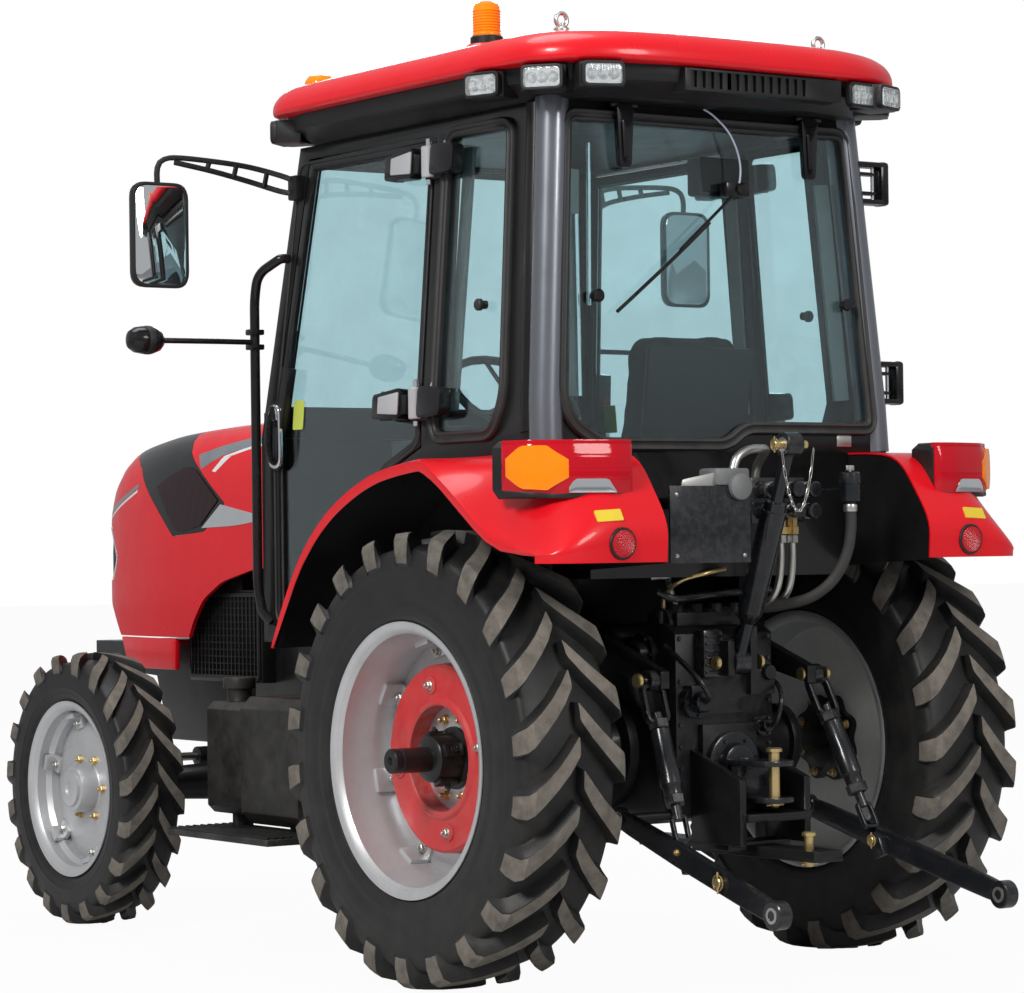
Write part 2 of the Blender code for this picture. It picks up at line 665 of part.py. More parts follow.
def transmission_housing():
    shares = [(0, 0.05), (0, 0.95), (0.04, 1), (0.25, 1), (0.36, 0.8), (1, 0.78), (1, 0.1), (0.7, 0.0),
              (0.1, 0.0)]
    outline = spread(shares, -HOUSING_REAR, HOUSING_FRONT, HOUSING_BOTTOM, HOUSING_TOP)
    shapes = [prism(outline, "xz", -HOUSING_HALF, HOUSING_HALF)]
    across = (0, 1, 0)
    shapes.append(turned((0, 0, REAR_RADIUS), across,
                         [(-trumpet_end, TRUMPET_RADIUS * 1.05),
                          (-trumpet_end + SHEET, TRUMPET_RADIUS * 1.05),
                          (-trumpet_end + SHEET, TRUMPET_RADIUS * 0.85),
                          (-HOUSING_HALF - SHEET, TRUMPET_RADIUS * 1.2),
                          (-HOUSING_HALF - SHEET, TRUMPET_RADIUS * 1.6),
                          (HOUSING_HALF + SHEET, TRUMPET_RADIUS * 1.6),
                          (HOUSING_HALF + SHEET, TRUMPET_RADIUS * 1.2),
                          (trumpet_end - SHEET, TRUMPET_RADIUS * 0.85),
                          (trumpet_end - SHEET, TRUMPET_RADIUS * 1.05),
                          (trumpet_end, TRUMPET_RADIUS * 1.05)], 20))
    # Pins of the lower links, and the ears of the top link
    pin_end = LINK_FRONT_Y + LINK_WIDTH * 1.2
    shapes.append(rod((LINK_PIVOT_X, -pin_end, LINK_PIVOT_Z), (LINK_PIVOT_X, pin_end, LINK_PIVOT_Z),
                      PIN_RADIUS))
    ear = TOP_TUBE_RADIUS * 1.3
    ear_z = (HOUSING_TOP - LINK_DEPTH * 2.4, HOUSING_TOP - LINK_DEPTH * 0.8)
    for low, high in ((-ear - LINK_WIDTH, -ear), (ear, ear + LINK_WIDTH)):
        shapes.append(box(TOP_PIN_X - LINK_WIDTH, -HOUSING_REAR + SINK, low, high, *ear_z))
    shapes.append(rod((TOP_PIN_X, -ear - LINK_WIDTH, TOP_PIN_Z), (TOP_PIN_X, ear + LINK_WIDTH, TOP_PIN_Z),
                      PIN_RADIUS))
    shapes.append(rod((-HOUSING_REAR - SHEET * 2.5, 0, REAR_RADIUS - SHEET), (0, 0, REAR_RADIUS - SHEET),
                      AXLE_SHAFT_RADIUS * 0.6))
    # Columns: depth behind the housing, inner and outer side, bottom and top, in wall thicknesses
    for deep, left, right, low, high in (
            (0.5, -1.9, 1.9, 6.2, 8.8), (0.9, -2.9, -1.2, 7.2, 8.6), (0.8, 1.3, 2.9, 6.6, 7.8),
                                         (0.45, -1.9, 1.9, 2.2, 5.6)):
        shapes.append(box(-HOUSING_REAR - CAB_WALL * deep, -HOUSING_REAR + SINK, CAB_WALL * left,
                          CAB_WALL * right,
                          HOUSING_BOTTOM + CAB_WALL * low, HOUSING_BOTTOM + CAB_WALL * high))
    for share in (-0.6, -0.2, 0.2, 0.6):
        valve = Vector((-HOUSING_REAR * 0.75, HOUSING_HALF * share, HOUSING_TOP - SINK))
        shapes.append(turned(valve, (0, 0, 1), [(0, SHEET * 0.8), (SHEET * 2, SHEET * 0.8)], 10))
    shapes.append(box(-HOUSING_REAR * 0.9, -HOUSING_REAR * 0.5, -HOUSING_HALF * 0.8, HOUSING_HALF * 0.8,
                      HOUSING_TOP - SINK,
                      HOUSING_TOP + SHEET))
    bore_radius = bore_for(LIFT_SHAFT_RADIUS, 20)
    # Brackets under the cab floor and deck
    for side in (1, -1):
        shapes.append(sided(box(HOUSING_FRONT - CAB_WALL * 4, HOUSING_FRONT - CAB_WALL * 2,
                                HOUSING_HALF - SINK,
                                HOUSING_HALF + CAB_WALL * 2.5, CAB_FLOOR - CAB_WALL * 2.5, CAB_FLOOR - GAP),
                            side))
        shapes.append(sided(box(-CAB_WALL, CAB_WALL, trumpet_end - CAB_WALL * 3.6,
                                trumpet_end - CAB_WALL * 1.8,
                                REAR_RADIUS, SEAT_DECK - GAP), side))
    bore = rod((LIFT_SHAFT_X, -HOUSING_HALF - OVERRUN, LIFT_SHAFT_Z),
               (LIFT_SHAFT_X, HOUSING_HALF + OVERRUN, LIFT_SHAFT_Z), bore_radius, 20)
    piece("transmission_housing", "black_iron", shapes, [bore])


def engine_block():
    # A bell housing below the cab floor, and the plain block ahead of it
    start = HOUSING_FRONT + GAP
    step = HOOD_REAR + CAB_WALL
    outline = [(start, ENGINE_BOTTOM), (engine_front, ENGINE_BOTTOM), (engine_front, ENGINE_TOP),
               (step, ENGINE_TOP), (step, CAB_FLOOR - CAB_WALL), (start, CAB_FLOOR - CAB_WALL)]
    shapes = [prism(outline, "xz", -ENGINE_HALF, ENGINE_HALF)]
    # Posts and pin of the hood's hinge
    post_half = ENGINE_HALF * 0.8
    for side in (1, -1):
        post = box(HOOD_PIVOT_X - PIN_RADIUS * 1.6 + SINK, HOOD_PIVOT_X + PIN_RADIUS * 2,
                   post_half - LINK_WIDTH,
                   post_half, ENGINE_TOP - SINK * 2, HOOD_PIVOT_Z + PIN_RADIUS * 1.6)
        shapes.append(sided(post, side))
    foot = box(HOOD_PIVOT_X - PIN_RADIUS * 1.6 + SINK, HOOD_PIVOT_X + CAB_WALL * 2, -post_half, post_half,
               ENGINE_TOP - OVERRUN, ENGINE_TOP + SINK)
    shapes.append(foot)
    shapes.append(rod((HOOD_PIVOT_X, -post_half - LINK_WIDTH * 1.5, HOOD_PIVOT_Z),
                      (HOOD_PIVOT_X, post_half + LINK_WIDTH * 1.5, HOOD_PIVOT_Z), PIN_RADIUS))
    piece("engine_block", "black_iron", shapes)


def front_support():
    start = engine_front + GAP
    reach = front_axle + FRONT_REACH
    top = CARRIER_TOP
    shares = [(0, 0.1), (0, 1), (0.6, 1), (1, 1), (1, 0.72), (0.62, 0.65), (0.55, 0.0), (0.05, 0.0)]
    outline = spread(shares, start, reach, ENGINE_BOTTOM, top)
    shapes = [prism(outline, "xz", -HOUSING_HALF, HOUSING_HALF)]
    beam_top = FRONT_RADIUS + BEAM_RADIUS * 1.9 * math.cos(math.pi / 16)
    shapes.append(box(front_axle - SHEET, front_axle + SHEET, -BEAM_RADIUS, BEAM_RADIUS, beam_top + GAP,
                      ENGINE_BOTTOM + SINK))
    slot = box(reach - SHEET * 5, reach - SHEET * 1.4, -HOUSING_HALF * 0.7, HOUSING_HALF * 0.7,
               ENGINE_BOTTOM, top + OVERRUN)
    piece("front_support", "black_iron", shapes, [slot])


def radiator():
    """The radiator across the front support, with the screens down its sides."""
    front = front_axle + RADIATOR_FRONT
    shapes = [box(engine_front + GAP, front, -RADIATOR_HALF, RADIATOR_HALF, CARRIER_TOP + GAP,
                  RADIATOR_TOP)]
    for side in (1, -1):
        screen = box(front_axle - RADIATOR_REAR, front, ENGINE_HALF + GAP, RADIATOR_HALF, SCREEN_BOTTOM,
                     SCREEN_TOP)
        shapes.append(sided(screen, side))
    piece("radiator", "black_iron", shapes)


# Hood

hood_side_shares = [(0, 0.44), (0.3, 0.41), (0.42, 0.36), (0.49, 0.29), (0.53, 0.2), (0.555, 0.11),
                    (0.58, 0.01),
                    (0.69, 0.0), (0.86, 0.12), (0.925, 0.24), (0.955, 0.28), (0.965, 0.34), (0.957, 0.385),
                    (0.962, 0.59), (0.978, 0.61), (0.975, 0.65), (0.962, 0.67), (0.965, 0.69),
                    (0.985, 0.715), (0.98, 0.745), (0.93, 0.85), (0.86, 0.93), (0.74, 0.975), (0.58, 1),
                    (0, 1.02)]
mask_shares = [(0.644, 1.08), (0.553, 0.873), (0.405, 0.673), (0.484, 0.564), (0.610, 0.548),
               (0.735, 0.764), (0.770, 0.836), (0.850, 0.909), (0.872, 1.08)]
grille_shares = [(0.890, 0.466), (0.897, 0.430), (0.926, 0.370), (1.06, 0.345), (1.06, 0.594),
                 (0.940, 0.594)]
# Columns: place along the hood, half width, top
section_shares = [(0, 1.0, 1.0), (0.4, 1.0, 0.99), (0.62, 0.99, 0.972), (0.74, 0.95, 0.952),
                  (0.86, 0.86, 0.908),
                  (0.93, 0.76, 0.83), (0.965, 0.67, 0.745), (1.0, 0.55, 0.70)]


def hood_outline(shares):
    return spread(shares, HOOD_REAR, hood_front, HOOD_BOTTOM, HOOD_TOP)


def hood_body(wall, rear, base):
    loops = []
    for along, wide, high in section_shares:
        x = HOOD_REAR + (hood_front - HOOD_REAR) * along
        if along == 0:
            x -= rear
        if along == 1:
            x -= wall
        half = HOOD_HALF * wide - wall
        top = HOOD_BOTTOM + (HOOD_TOP - HOOD_BOTTOM) * high - wall
        flank = [(half, base), (half, top - half * 1.05), (half * 0.975, top - half * 0.5),
                 (half * 0.86, top - half * 0.18), (half * 0.6, top)]
        loops.append([(x, -y, z) for y, z in flank] + [(x, y, z) for y, z in reversed(flank)])
    return loft(loops)


def hood_shell(name, paint, depth, outline, extras=(), cuts=(), pivot=(0, 0, 0)):
    """A wall of the hood's body inside a side outline."""
    wide = HOOD_HALF + OVERRUN
    item = mesh_object(name, hood_body(depth, 0, HOOD_BOTTOM - OVERRUN))
    combine(item, [prism(outline, "xz", -wide, wide)], "INTERSECT")
    combine(item, [hood_body(depth + HOOD_WALL, OVERRUN, HOOD_BOTTOM - 2 * OVERRUN)], "DIFFERENCE")
    if extras:
        combine(item, extras, "UNION")
    if cuts:
        combine(item, cuts, "DIFFERENCE")
    finish(item, paint, pivot)


def hood():
    wide = HOOD_HALF + OVERRUN
    pivot = (HOOD_PIVOT_X, 0, HOOD_PIVOT_Z)
    mask = hood_outline(mask_shares)
    grille = hood_outline(grille_shares)
    below = box(HOOD_REAR, hood_front + OVERRUN, -wide, wide, HOOD_BOTTOM - OVERRUN,
                VALANCE_TOP + VALANCE_SLOT)
    lugs = []
    lug_y = ENGINE_HALF * 0.8 + GAP * 2
    lug = prism([(HOOD_PIVOT_X - PIN_RADIUS * 2, HOOD_PIVOT_Z - PIN_RADIUS * 2),
                 (HOOD_PIVOT_X + PIN_RADIUS * 2, HOOD_PIVOT_Z - PIN_RADIUS * 2),
                 (HOOD_PIVOT_X + PIN_RADIUS * 4, HOOD_TOP - HOOD_WALL / 2),
                 (HOOD_PIVOT_X - PIN_RADIUS * 2, HOOD_TOP - HOOD_WALL / 2)], "xz", lug_y,
                lug_y + LINK_WIDTH)
    for side in (1, -1):
        lugs.append(sided(lug, side))
    bore = eye(HOOD_PIVOT_X, -HOOD_HALF * 0.85, HOOD_HALF * 0.85, HOOD_PIVOT_Z, bore_for(PIN_RADIUS, 14))
    hood_shell("hood", "body_red", 0, hood_outline(hood_side_shares), lugs,
               [prism(inset(mask, -GAP), "xz", -wide, wide), prism(inset(grille, -GAP), "xz", -wide, wide),
                below, bore], pivot)
    hood_shell("hood_mask", "black_plastic", 0, mask, pivot=pivot)
    # The grille's slots leave bars between them
    low = grille[3][1]
    high = grille[4][1]
    slots = []
    for i in range(GRILLE_SLOTS):
        z = low + (high - low) * (i + 1) / (GRILLE_SLOTS + 1)
        slots.append(box(HOOD_REAR, hood_front + OVERRUN, -HOOD_HALF * 0.42, HOOD_HALF * 0.42,
                         z - GRILLE_SLOT / 2, z + GRILLE_SLOT / 2))
    hood_shell("grille", "black_plastic", SINK, grille, cuts=slots, pivot=pivot)


def nose_valance():
    """The fixed red strip below the hood, on a web that lies on the front support."""
    rear = front_axle + RADIATOR_FRONT
    outline = [(rear, HOOD_BOTTOM), (rear, VALANCE_TOP - SINK), (rear + SINK, VALANCE_TOP),
               (rear + VALANCE_REACH, VALANCE_TOP), (rear + VALANCE_REACH * 0.86, HOOD_BOTTOM)]
    web = box(rear + VALANCE_REACH * 0.2, rear + VALANCE_REACH * 0.75, -HOOD_HALF * 0.9, HOOD_HALF * 0.9,
              CARRIER_TOP + GAP, VALANCE_TOP - SINK)
    hood_shell("nose_valance", "body_red", 0, outline, [web])


# Cab

fender_shares = [(1, 0), (0.94, 0.28), (0.865, 0.54), (0.76, 0.757), (0.62, 0.915), (0.48, 0.98), (0.34, 1),
                 (0.17, 1), (0.09, 0.953), (0.035, 0.785), (0.0, 0.62), (0.0, 0.44)]
# Columns: place across the fender, length of its tongue, rounding of its edge in wall thicknesses
across_shares = [(0, 1.0, 0), (0.45, 1.0, 0), (0.62, 0.94, 0), (0.80, 0.80, 0.1), (0.93, 0.55, 0.5),
                 (1, 0.28, 1.7)]
tail_lamp_shares = [(0.34, 0.0), (0.0, 0.0), (0.0, 0.25), (0.12, 0.62), (0.38, 0.88), (0.75, 1.0),
                    (0.92, 0.88), (0.62, 0.4)]


def fender_outline():
    return spread(fender_shares, FENDER_REAR, FENDER_FRONT, CAB_FLOOR, FENDER_TOP)


def fender_loft(wall, y0, y1):
    """The fender's outline from its inner to its outer edge, where the tongue draws in and rises."""
    start = FENDER_REAR + FENDER_TONGUE
    tip = fender_outline()[-1][1]
    low = CAB_FLOOR - OVERRUN
    wall_x = DOOR_REAR - SHEET
    loops = []
    for share, tongue, rounding in across_shares:
        y = min(max(fender_inner + (fender_outer - fender_inner) * share, y0), y1)
        if share == across_shares[-1][0]:
            y = y1
        outline = fender_outline() + [(wall_x, tip - OVERRUN), (wall_x, CAB_FLOOR)]
        outline = inset(outline, wall + FENDER_LIP * rounding / 4)
        if wall > 0:
            outline[0] = (outline[0][0], low)
            outline[-3:] = [(outline[-3][0], tip - FENDER_TONGUE / 2), (wall_x, low + OVERRUN / 2),
                            (wall_x + OVERRUN, low)]
        loop = []
        for x, z in outline:
            if x < start:
                fall = min(1, (FENDER_TOP - z) / (FENDER_TOP - tip))
                x, z = start + (x - start) * tongue, z + FENDER_TONGUE * (1 - tongue) * 0.36 * fall
            loop.append((x, y, z))
        loops.append(loop)
    last = len(loops) - 1
    points, faces = loft([loop for i,
                          loop in enumerate(loops) if i == last or loop[0][1] < loops[i + 1][0][1]])
    flat = []
    for face in faces:
        flat += [face[:3], (face[0], face[2], face[3])] if len(face) == 4 else [face]
    return points, flat


def fender(hand, side):
    shell = fender_loft(0, fender_inner, fender_outer)
    well = fender_loft(FENDER_WALL, fender_inner + FENDER_WALL, fender_outer - FENDER_WALL / 2)
    lip = fender_loft(FENDER_LIP, fender_outer - FENDER_WALL, fender_outer + OVERRUN)
    piece("fender_" + hand, "body_red", [sided(shell, side)], [sided(well, side), sided(lip, side)])
    lamp = []
    # Columns: height, inset of the lamp's outline in sheet thicknesses
    for z, edge in ((PLATE_TOP - SHEET, 0.5), (PLATE_TOP - SINK, 0), (FENDER_TOP + SINK, 0),
                    (FENDER_TOP + SHEET * 0.8, 0.6)):
        plan = spread(tail_lamp_shares, PLATE_X - SHEET, PLATE_X + SHEET * 8, fender_inner + SHEET * 2.4,
                      fender_outer + SINK)
        lamp.append([(x, y, z) for x, y in inset(plan, SHEET * edge)])
    # The lamp is cut off just above the fender that it sits on
    cuts = [sided(([p + Vector(lift) for p in shell[0]], shell[1]), side)
            for lift in ((0, 0, 0), (-GAP, 0, GAP), (0, GAP, GAP))]
    piece("tail_lamp_" + hand, "black_plastic", [sided(loft(lamp), side)], cuts)


def door_outline():
    shares = [(0, 0.368), (0.22, 0.318), (0.405, 0.246), (0.552, 0.139), (0.65, 0.032), (0.724, 0),
              (1, 0)]
    points = spread(shares, DOOR_REAR, DOOR_FRONT, DOOR_BOTTOM, DOOR_TOP)
    top_front = DOOR_FRONT + front_plane(DOOR_TOP) - CAB_FRONT_BELT
    return points + [(DOOR_FRONT, CAB_BELT), (top_front, DOOR_TOP), (DOOR_REAR, DOOR_TOP)]


def quarter_outline():
    rear = CAB_REAR_BELT + CAB_WALL * 4
    front = DOOR_REAR - CAB_WALL * 1.4
    low = CAB_BELT - SHEET
    return [(rear + CAB_WALL, low), (front, low), (front, DOOR_TOP), (rear + SHEET, DOOR_TOP),
            (rear, low + CAB_WALL * 2)]


def cab_frame():
    arc = inset(fender_outline() + [(FENDER_REAR, CAB_FLOOR)], -GAP)[:-1]
    arc = [p for p in arc if CAB_REAR_BELT < p[0] < FENDER_FRONT - GAP]
    arc_start = (FENDER_FRONT + GAP * 4, CAB_FLOOR)
    rear_low = (CAB_REAR_BELT, FENDER_TOP + GAP)
    outline = [(CAB_REAR_TOP, CAB_TOP), (CAB_FRONT_TOP, CAB_TOP), (CAB_FRONT_BELT, CAB_BELT),
               (CAB_FRONT_BELT, CAB_FLOOR), arc_start] + arc + [rear_low]
    shapes = []
    wall = piece("side_wall", "black_iron", [prism(outline, "xz", -CAB_WALL, 0)],
                 [prism(inset(door_outline(), -CLEAR), "xz", -CAB_WALL - OVERRUN, OVERRUN),
                  prism(inset(quarter_outline(), -GAP), "xz", -CAB_WALL - OVERRUN, OVERRUN)])
    flat = ([v.co.copy() for v in wall.data.vertices], [tuple(p.vertices) for p in wall.data.polygons])
    bpy.data.objects.remove(wall, do_unlink=True)
    left = [on_side(flat)]
    for height in HINGE_HEIGHTS:
        for low, high in ((-HINGE_HALF * 2, -HINGE_HALF - GAP), (HINGE_HALF + GAP, HINGE_HALF * 2)):
            left += hinge_leaf(height, False, low, high)
        left.append(hinge_cover(height, False))
    shapes += left + [mirrored(shape) for shape in left]
    # Front and rear frames, with their window openings
    low_half = CAB_HALF_BELT - SINK
    top_half = CAB_HALF_TOP - SINK
    high = [(top_half, CAB_TOP), (-top_half, CAB_TOP)]
    outer = [(-low_half, CAB_BELT), (low_half, CAB_BELT)] + high
    shapes.append(on_front(frame_ring(outer, screen_outline(0), "yz", -CAB_WALL, -SINK / 2)))
    low = FENDER_TOP + GAP
    outer = [(-low_half, CAB_BELT), (-low_half, low), (low_half, low), (low_half, CAB_BELT)] + high
    shapes.append(on_rear(frame_ring(outer, rear_outline(0), "yz", SINK / 2, CAB_WALL)))
    # Floor, seat deck, bulkheads and the ring that carries the roof
    inner_half = fender_inner - GAP
    rear = CAB_REAR_BELT
    deck_front = DOOR_REAR
    profile = [(rear, FENDER_TOP + SINK), (rear, SEAT_DECK), (deck_front, SEAT_DECK),
               (deck_front, CAB_FLOOR),
               (CAB_FRONT_BELT - SINK, CAB_FLOOR), (CAB_FRONT_BELT - SINK, CAB_BELT + SINK),
               (CAB_FRONT_BELT - SHEET, CAB_BELT + SINK), (CAB_FRONT_BELT - SHEET, CAB_FLOOR + SHEET),
               (deck_front + SHEET, CAB_FLOOR + SHEET), (deck_front + SHEET, SEAT_DECK + SHEET),
               (rear + SHEET, SEAT_DECK + SHEET), (rear + SHEET, FENDER_TOP + SINK)]
    shapes.append(prism(profile, "xz", -inner_half, inner_half))
    shapes.append(box(rear + SINK, rear + SHEET, -low_half, low_half, FENDER_TOP + GAP, REAR_SILL - SINK))
    for side in (1, -1):
        sill = box(FENDER_FRONT + GAP * 4, CAB_FRONT_BELT - SINK, inner_half - SINK, CAB_HALF_BELT - SINK,
                   CAB_FLOOR + SINK, CAB_FLOOR + SHEET)
        shapes.append(sided(sill, side))
    wall_front = box(CAB_FRONT_BELT - SHEET, CAB_FRONT_BELT - SINK, -low_half, low_half, CAB_FLOOR + SINK,
                     HOOD_TOP - SINK)
    shapes.append(wall_front)
    shapes.append(box(CAB_REAR_TOP + SINK, CAB_FRONT_TOP - SINK, -top_half + SINK, top_half - SINK,
                      CAB_TOP - SHEET,
                      CAB_TOP))
    # Round rear posts, and the plate that hangs behind the rear wall
    for side in (1, -1):
        post = [(rear_plane(z) + CAB_WALL * 1.7, side_half(z) - POST_RADIUS / 2, z)
                for z in (CAB_BELT - SHEET, CAB_TOP - SINK)]
        shapes.append(sided(rod(*post, POST_RADIUS, 14), side))
    shapes.append(box(PLATE_X, PLATE_X + SINK, PLATE_INNER, PLATE_OUTER, PLATE_BOTTOM, PLATE_TOP))
    for y in (PLATE_INNER + SHEET, PLATE_OUTER - SHEET * 2):
        shapes.append(box(PLATE_X + SINK / 2, rear + SINK, y, y + SHEET, PLATE_TOP - SHEET * 2,
                          PLATE_TOP - SHEET))
    piece("cab_frame", "black_iron", shapes)


# Columns: place along the roof, place across its half width
roof_shares = [(0.0, 0.0), (0.006, 0.455), (0.03, 0.727), (0.084, 0.924), (0.186, 0.992), (0.53, 1.0),
               (0.859, 0.992), (0.931, 0.955), (0.973, 0.833), (0.997, 0.545), (1.0, 0.0)]
# Columns: place along the roof, place across its half width, heading as a share of a half turn
lamp_shares = [(0.235, 0.955, 0.6), (0.115, 0.885, 0.72), (0.04, 0.745, 0.88), (0.935, 0.86, 0.2)]


def roof_loop(height, edge):
    middle = (ROOF_REAR + ROOF_FRONT) / 2
    reach = (ROOF_FRONT - ROOF_REAR) / 2 - edge
    half = ROOF_HALF - edge
    left = [(middle + reach * (2 * along - 1), half * across, height) for along, across in roof_shares]
    return left + [(x, -y, z) for x, y, z in reversed(left[1:-1])]


def roof_shell():
    rise = ROOF_TOP - ROOF_BOTTOM
    # Columns: share of the rise, inset of the edge in sheet thicknesses
    loops = [roof_loop(ROOF_BOTTOM + rise * share, SHEET * edge) for share, edge in (
        (0, 0.3), (0.14, 0.0), (0.36, 0.15), (0.6, 0.8), (0.78, 2), (0.92, 5), (1, 10))]
    shapes = [loft(loops)]
    low = ROOF_TOP - rise / 2
    up = (0, 0, 1)
    shapes.append(turned((BEACON_X, BEACON_Y, low), up,
                         [(0, BEACON_RADIUS * 1.6), (rise / 2, BEACON_RADIUS * 1.2)], 16))
    for side in (1, -1):
        bolt = Vector((EYE_BOLT_X, EYE_BOLT_Y, ROOF_TOP))
        turns = []
        for i in range(12):
            t = 2 * math.pi * i / 12
            out = Vector((0, math.cos(t), math.sin(t)))
            middle = bolt + Vector((0, 0, EYE_BOLT_RADIUS)) + out * EYE_BOLT_RADIUS
            turns.append([middle + (out * math.cos(k * math.pi / 3) + Vector((1, 0,
                    0)) * math.sin(k * math.pi / 3))
                          * EYE_BOLT_RADIUS * 0.3 for k in range(6)])
        shapes.append(sided(ring(turns), side))
        shapes.append(sided(turned(bolt - Vector((0, 0, rise / 2)), up,
                                   [(0, EYE_BOLT_RADIUS * 0.8), (rise / 2, EYE_BOLT_RADIUS * 0.8)], 10),
                            side))
        shapes.append(sided(turned((MARKER_X, MARKER_Y, low), up,
                                   [(0, BEACON_RADIUS), (rise * 0.3, BEACON_RADIUS),
                                   (rise * 0.42, BEACON_RADIUS * 0.55)], 14), side))
    piece("roof_shell", "body_red", shapes)
    top = BEACON_TOP - ROOF_TOP - GAP
    piece("beacon", "amber_plastic", [turned((BEACON_X, BEACON_Y, ROOF_TOP + GAP), up, [
        (0, BEACON_RADIUS), (top * 0.25, BEACON_RADIUS), (top * 0.25, BEACON_RADIUS * 0.88),
        (top * 0.8, BEACON_RADIUS * 0.82), (top * 0.95, BEACON_RADIUS * 0.65), (top, BEACON_RADIUS * 0.4)],
                                             18)])


def roof_band():
    """The black band below the roof shell, with its work lamps and the ribbed vent at the rear."""
    top = ROOF_BOTTOM - GAP
    shapes = [loft([roof_loop(CAB_TOP + GAP, SHEET * 3.4), roof_loop(CAB_TOP + SHEET, SHEET * 2.2),
                    roof_loop(CAB_TOP + SHEET * 1.4, SHEET * 1.5), roof_loop(top, SHEET * 1.2)])]
    for along, across, heading in lamp_shares:
        middle = Vector((ROOF_REAR + (ROOF_FRONT - ROOF_REAR) * along, ROOF_HALF * across, 0))
        out = Vector((math.cos(heading * math.pi), math.sin(heading * math.pi), 0)) * SHEET
        aside = Vector((-out.y, out.x, 0)).normalized() * LAMP_HALF
        plan = [middle - out * 2 - aside, middle + out * 0.6 - aside, middle + out - aside * 0.8,
                middle + out + aside * 0.8, middle + out * 0.6 + aside, middle - out * 2 + aside]
        lamp = prism([(p.x, p.y) for p in plan], "xy", top - SINK - LAMP_HEIGHT, top - SINK)
        shapes += [lamp, mirrored(lamp)]
    vent_half = CAB_HALF_TOP * 0.44
    shapes.append(box(ROOF_REAR + SHEET * 0.8, ROOF_REAR + SHEET * 4, -vent_half * 1.35, vent_half,
                      CAB_TOP + SHEET * 0.6, top - SINK))
    cuts = []
    for i in range(VENT_RIBS):
        y = -vent_half * 0.8 + vent_half * 1.75 * i / VENT_RIBS
        cuts.append(box(ROOF_REAR, ROOF_REAR + SHEET * 1.2, y, y + vent_half * 0.8 / VENT_RIBS,
                        CAB_TOP + SHEET * 0.9, top - SINK * 2))
    piece("roof_band", "black_plastic", shapes, cuts)


def windows():
    piece("windscreen", "tinted_glass", [on_front(prism(screen_outline(GAP), "yz", -SINK - GLASS, -SINK))])
    piece("rear_window", "tinted_glass", [on_rear(prism(rear_outline(GAP), "yz", SINK, SINK + GLASS))])
    for hand, side in (("left", 1), ("right", -1)):
        pane = on_side(prism(quarter_outline(), "xz", -SINK - GLASS, -SINK))
        piece("quarter_window_" + hand, "tinted_glass", [sided(pane, side)])


def hinge_axis():
    low = Vector((DOOR_REAR, side_half(CAB_BELT) + DOOR_HINGE_OUT, CAB_BELT))
    high = Vector((DOOR_REAR, side_half(CAB_TOP) + DOOR_HINGE_OUT, CAB_TOP))
    return low, (high - low).normalized()


def hinge_leaf(height, forward, low, high):
    """One leaf of a door hinge with its barrel, between two places along the hinge line."""
    start, axis = hinge_axis()
    at = start + axis * (height - start.z) / axis.z
    near = DOOR_REAR + (GAP if forward else -GAP)
    far = DOOR_REAR + (HINGE_LEAF if forward else -HINGE_POST_LEAF)
    x0, x1 = sorted((near, far))
    leaf = on_side(box(x0, x1, -SINK, DOOR_HINGE_OUT, height + low + RUN, height + high - RUN))
    return [leaf, rod(at + axis * low, at + axis * high, HINGE_BARREL, 12)]


def hinge_cover(height, forward):
    x0, x1 = HINGE_BARREL * 2.6, HINGE_COVER
    if not forward:
        x1 *= 0.75
    outline = [(x0, -HINGE_HALF), (x1 * 0.9, -HINGE_HALF * 1.7), (x1, -HINGE_HALF), (x1, HINGE_HALF),
               (x1 * 0.9, HINGE_HALF * 1.7), (x0, HINGE_HALF)]
    if not forward:
        outline = [(-x, z) for x, z in outline]
    return on_side(prism([(DOOR_REAR + x, height + z) for x, z in outline], "xz", RUN * 2,
                         HINGE_BARREL * 3.2))


def door(hand, side):
    outline = door_outline()
    opening = inset(outline, DOOR_FRAME)
    hinge = Vector((DOOR_REAR, side * (side_half(DOOR_TOP) + DOOR_HINGE_OUT), DOOR_TOP))
    frame = on_side(frame_ring(outline, opening, "xz", -DOOR_THICKNESS, 0))
    pane = on_side(prism(inset(opening, GAP), "xz", -DOOR_THICKNESS / 2 - GLASS, -DOOR_THICKNESS / 2))
    shapes = [frame]
    for height in HINGE_HEIGHTS:
        shapes += hinge_leaf(height, True, -HINGE_HALF, HINGE_HALF)
        shapes.append(hinge_cover(height, True))
    grip = [(DOOR_FRONT + front_plane(z) - CAB_FRONT_BELT - SHEET * 1.4, side_half(z) + SINK / 2, z)
            for z in (CAB_BELT + SHEET, CAB_BELT + SHEET * 7)]
    shapes.append(sweep(grip, DOOR_THICKNESS * 0.9, DOOR_THICKNESS * 1.5, (1, 0, 0)))
    piece("door_" + hand, "black_plastic", [sided(s, side) for s in shapes], pivot=hinge)
    piece("door_glass_" + hand, "tinted_glass", [sided(pane, side)], pivot=hinge)


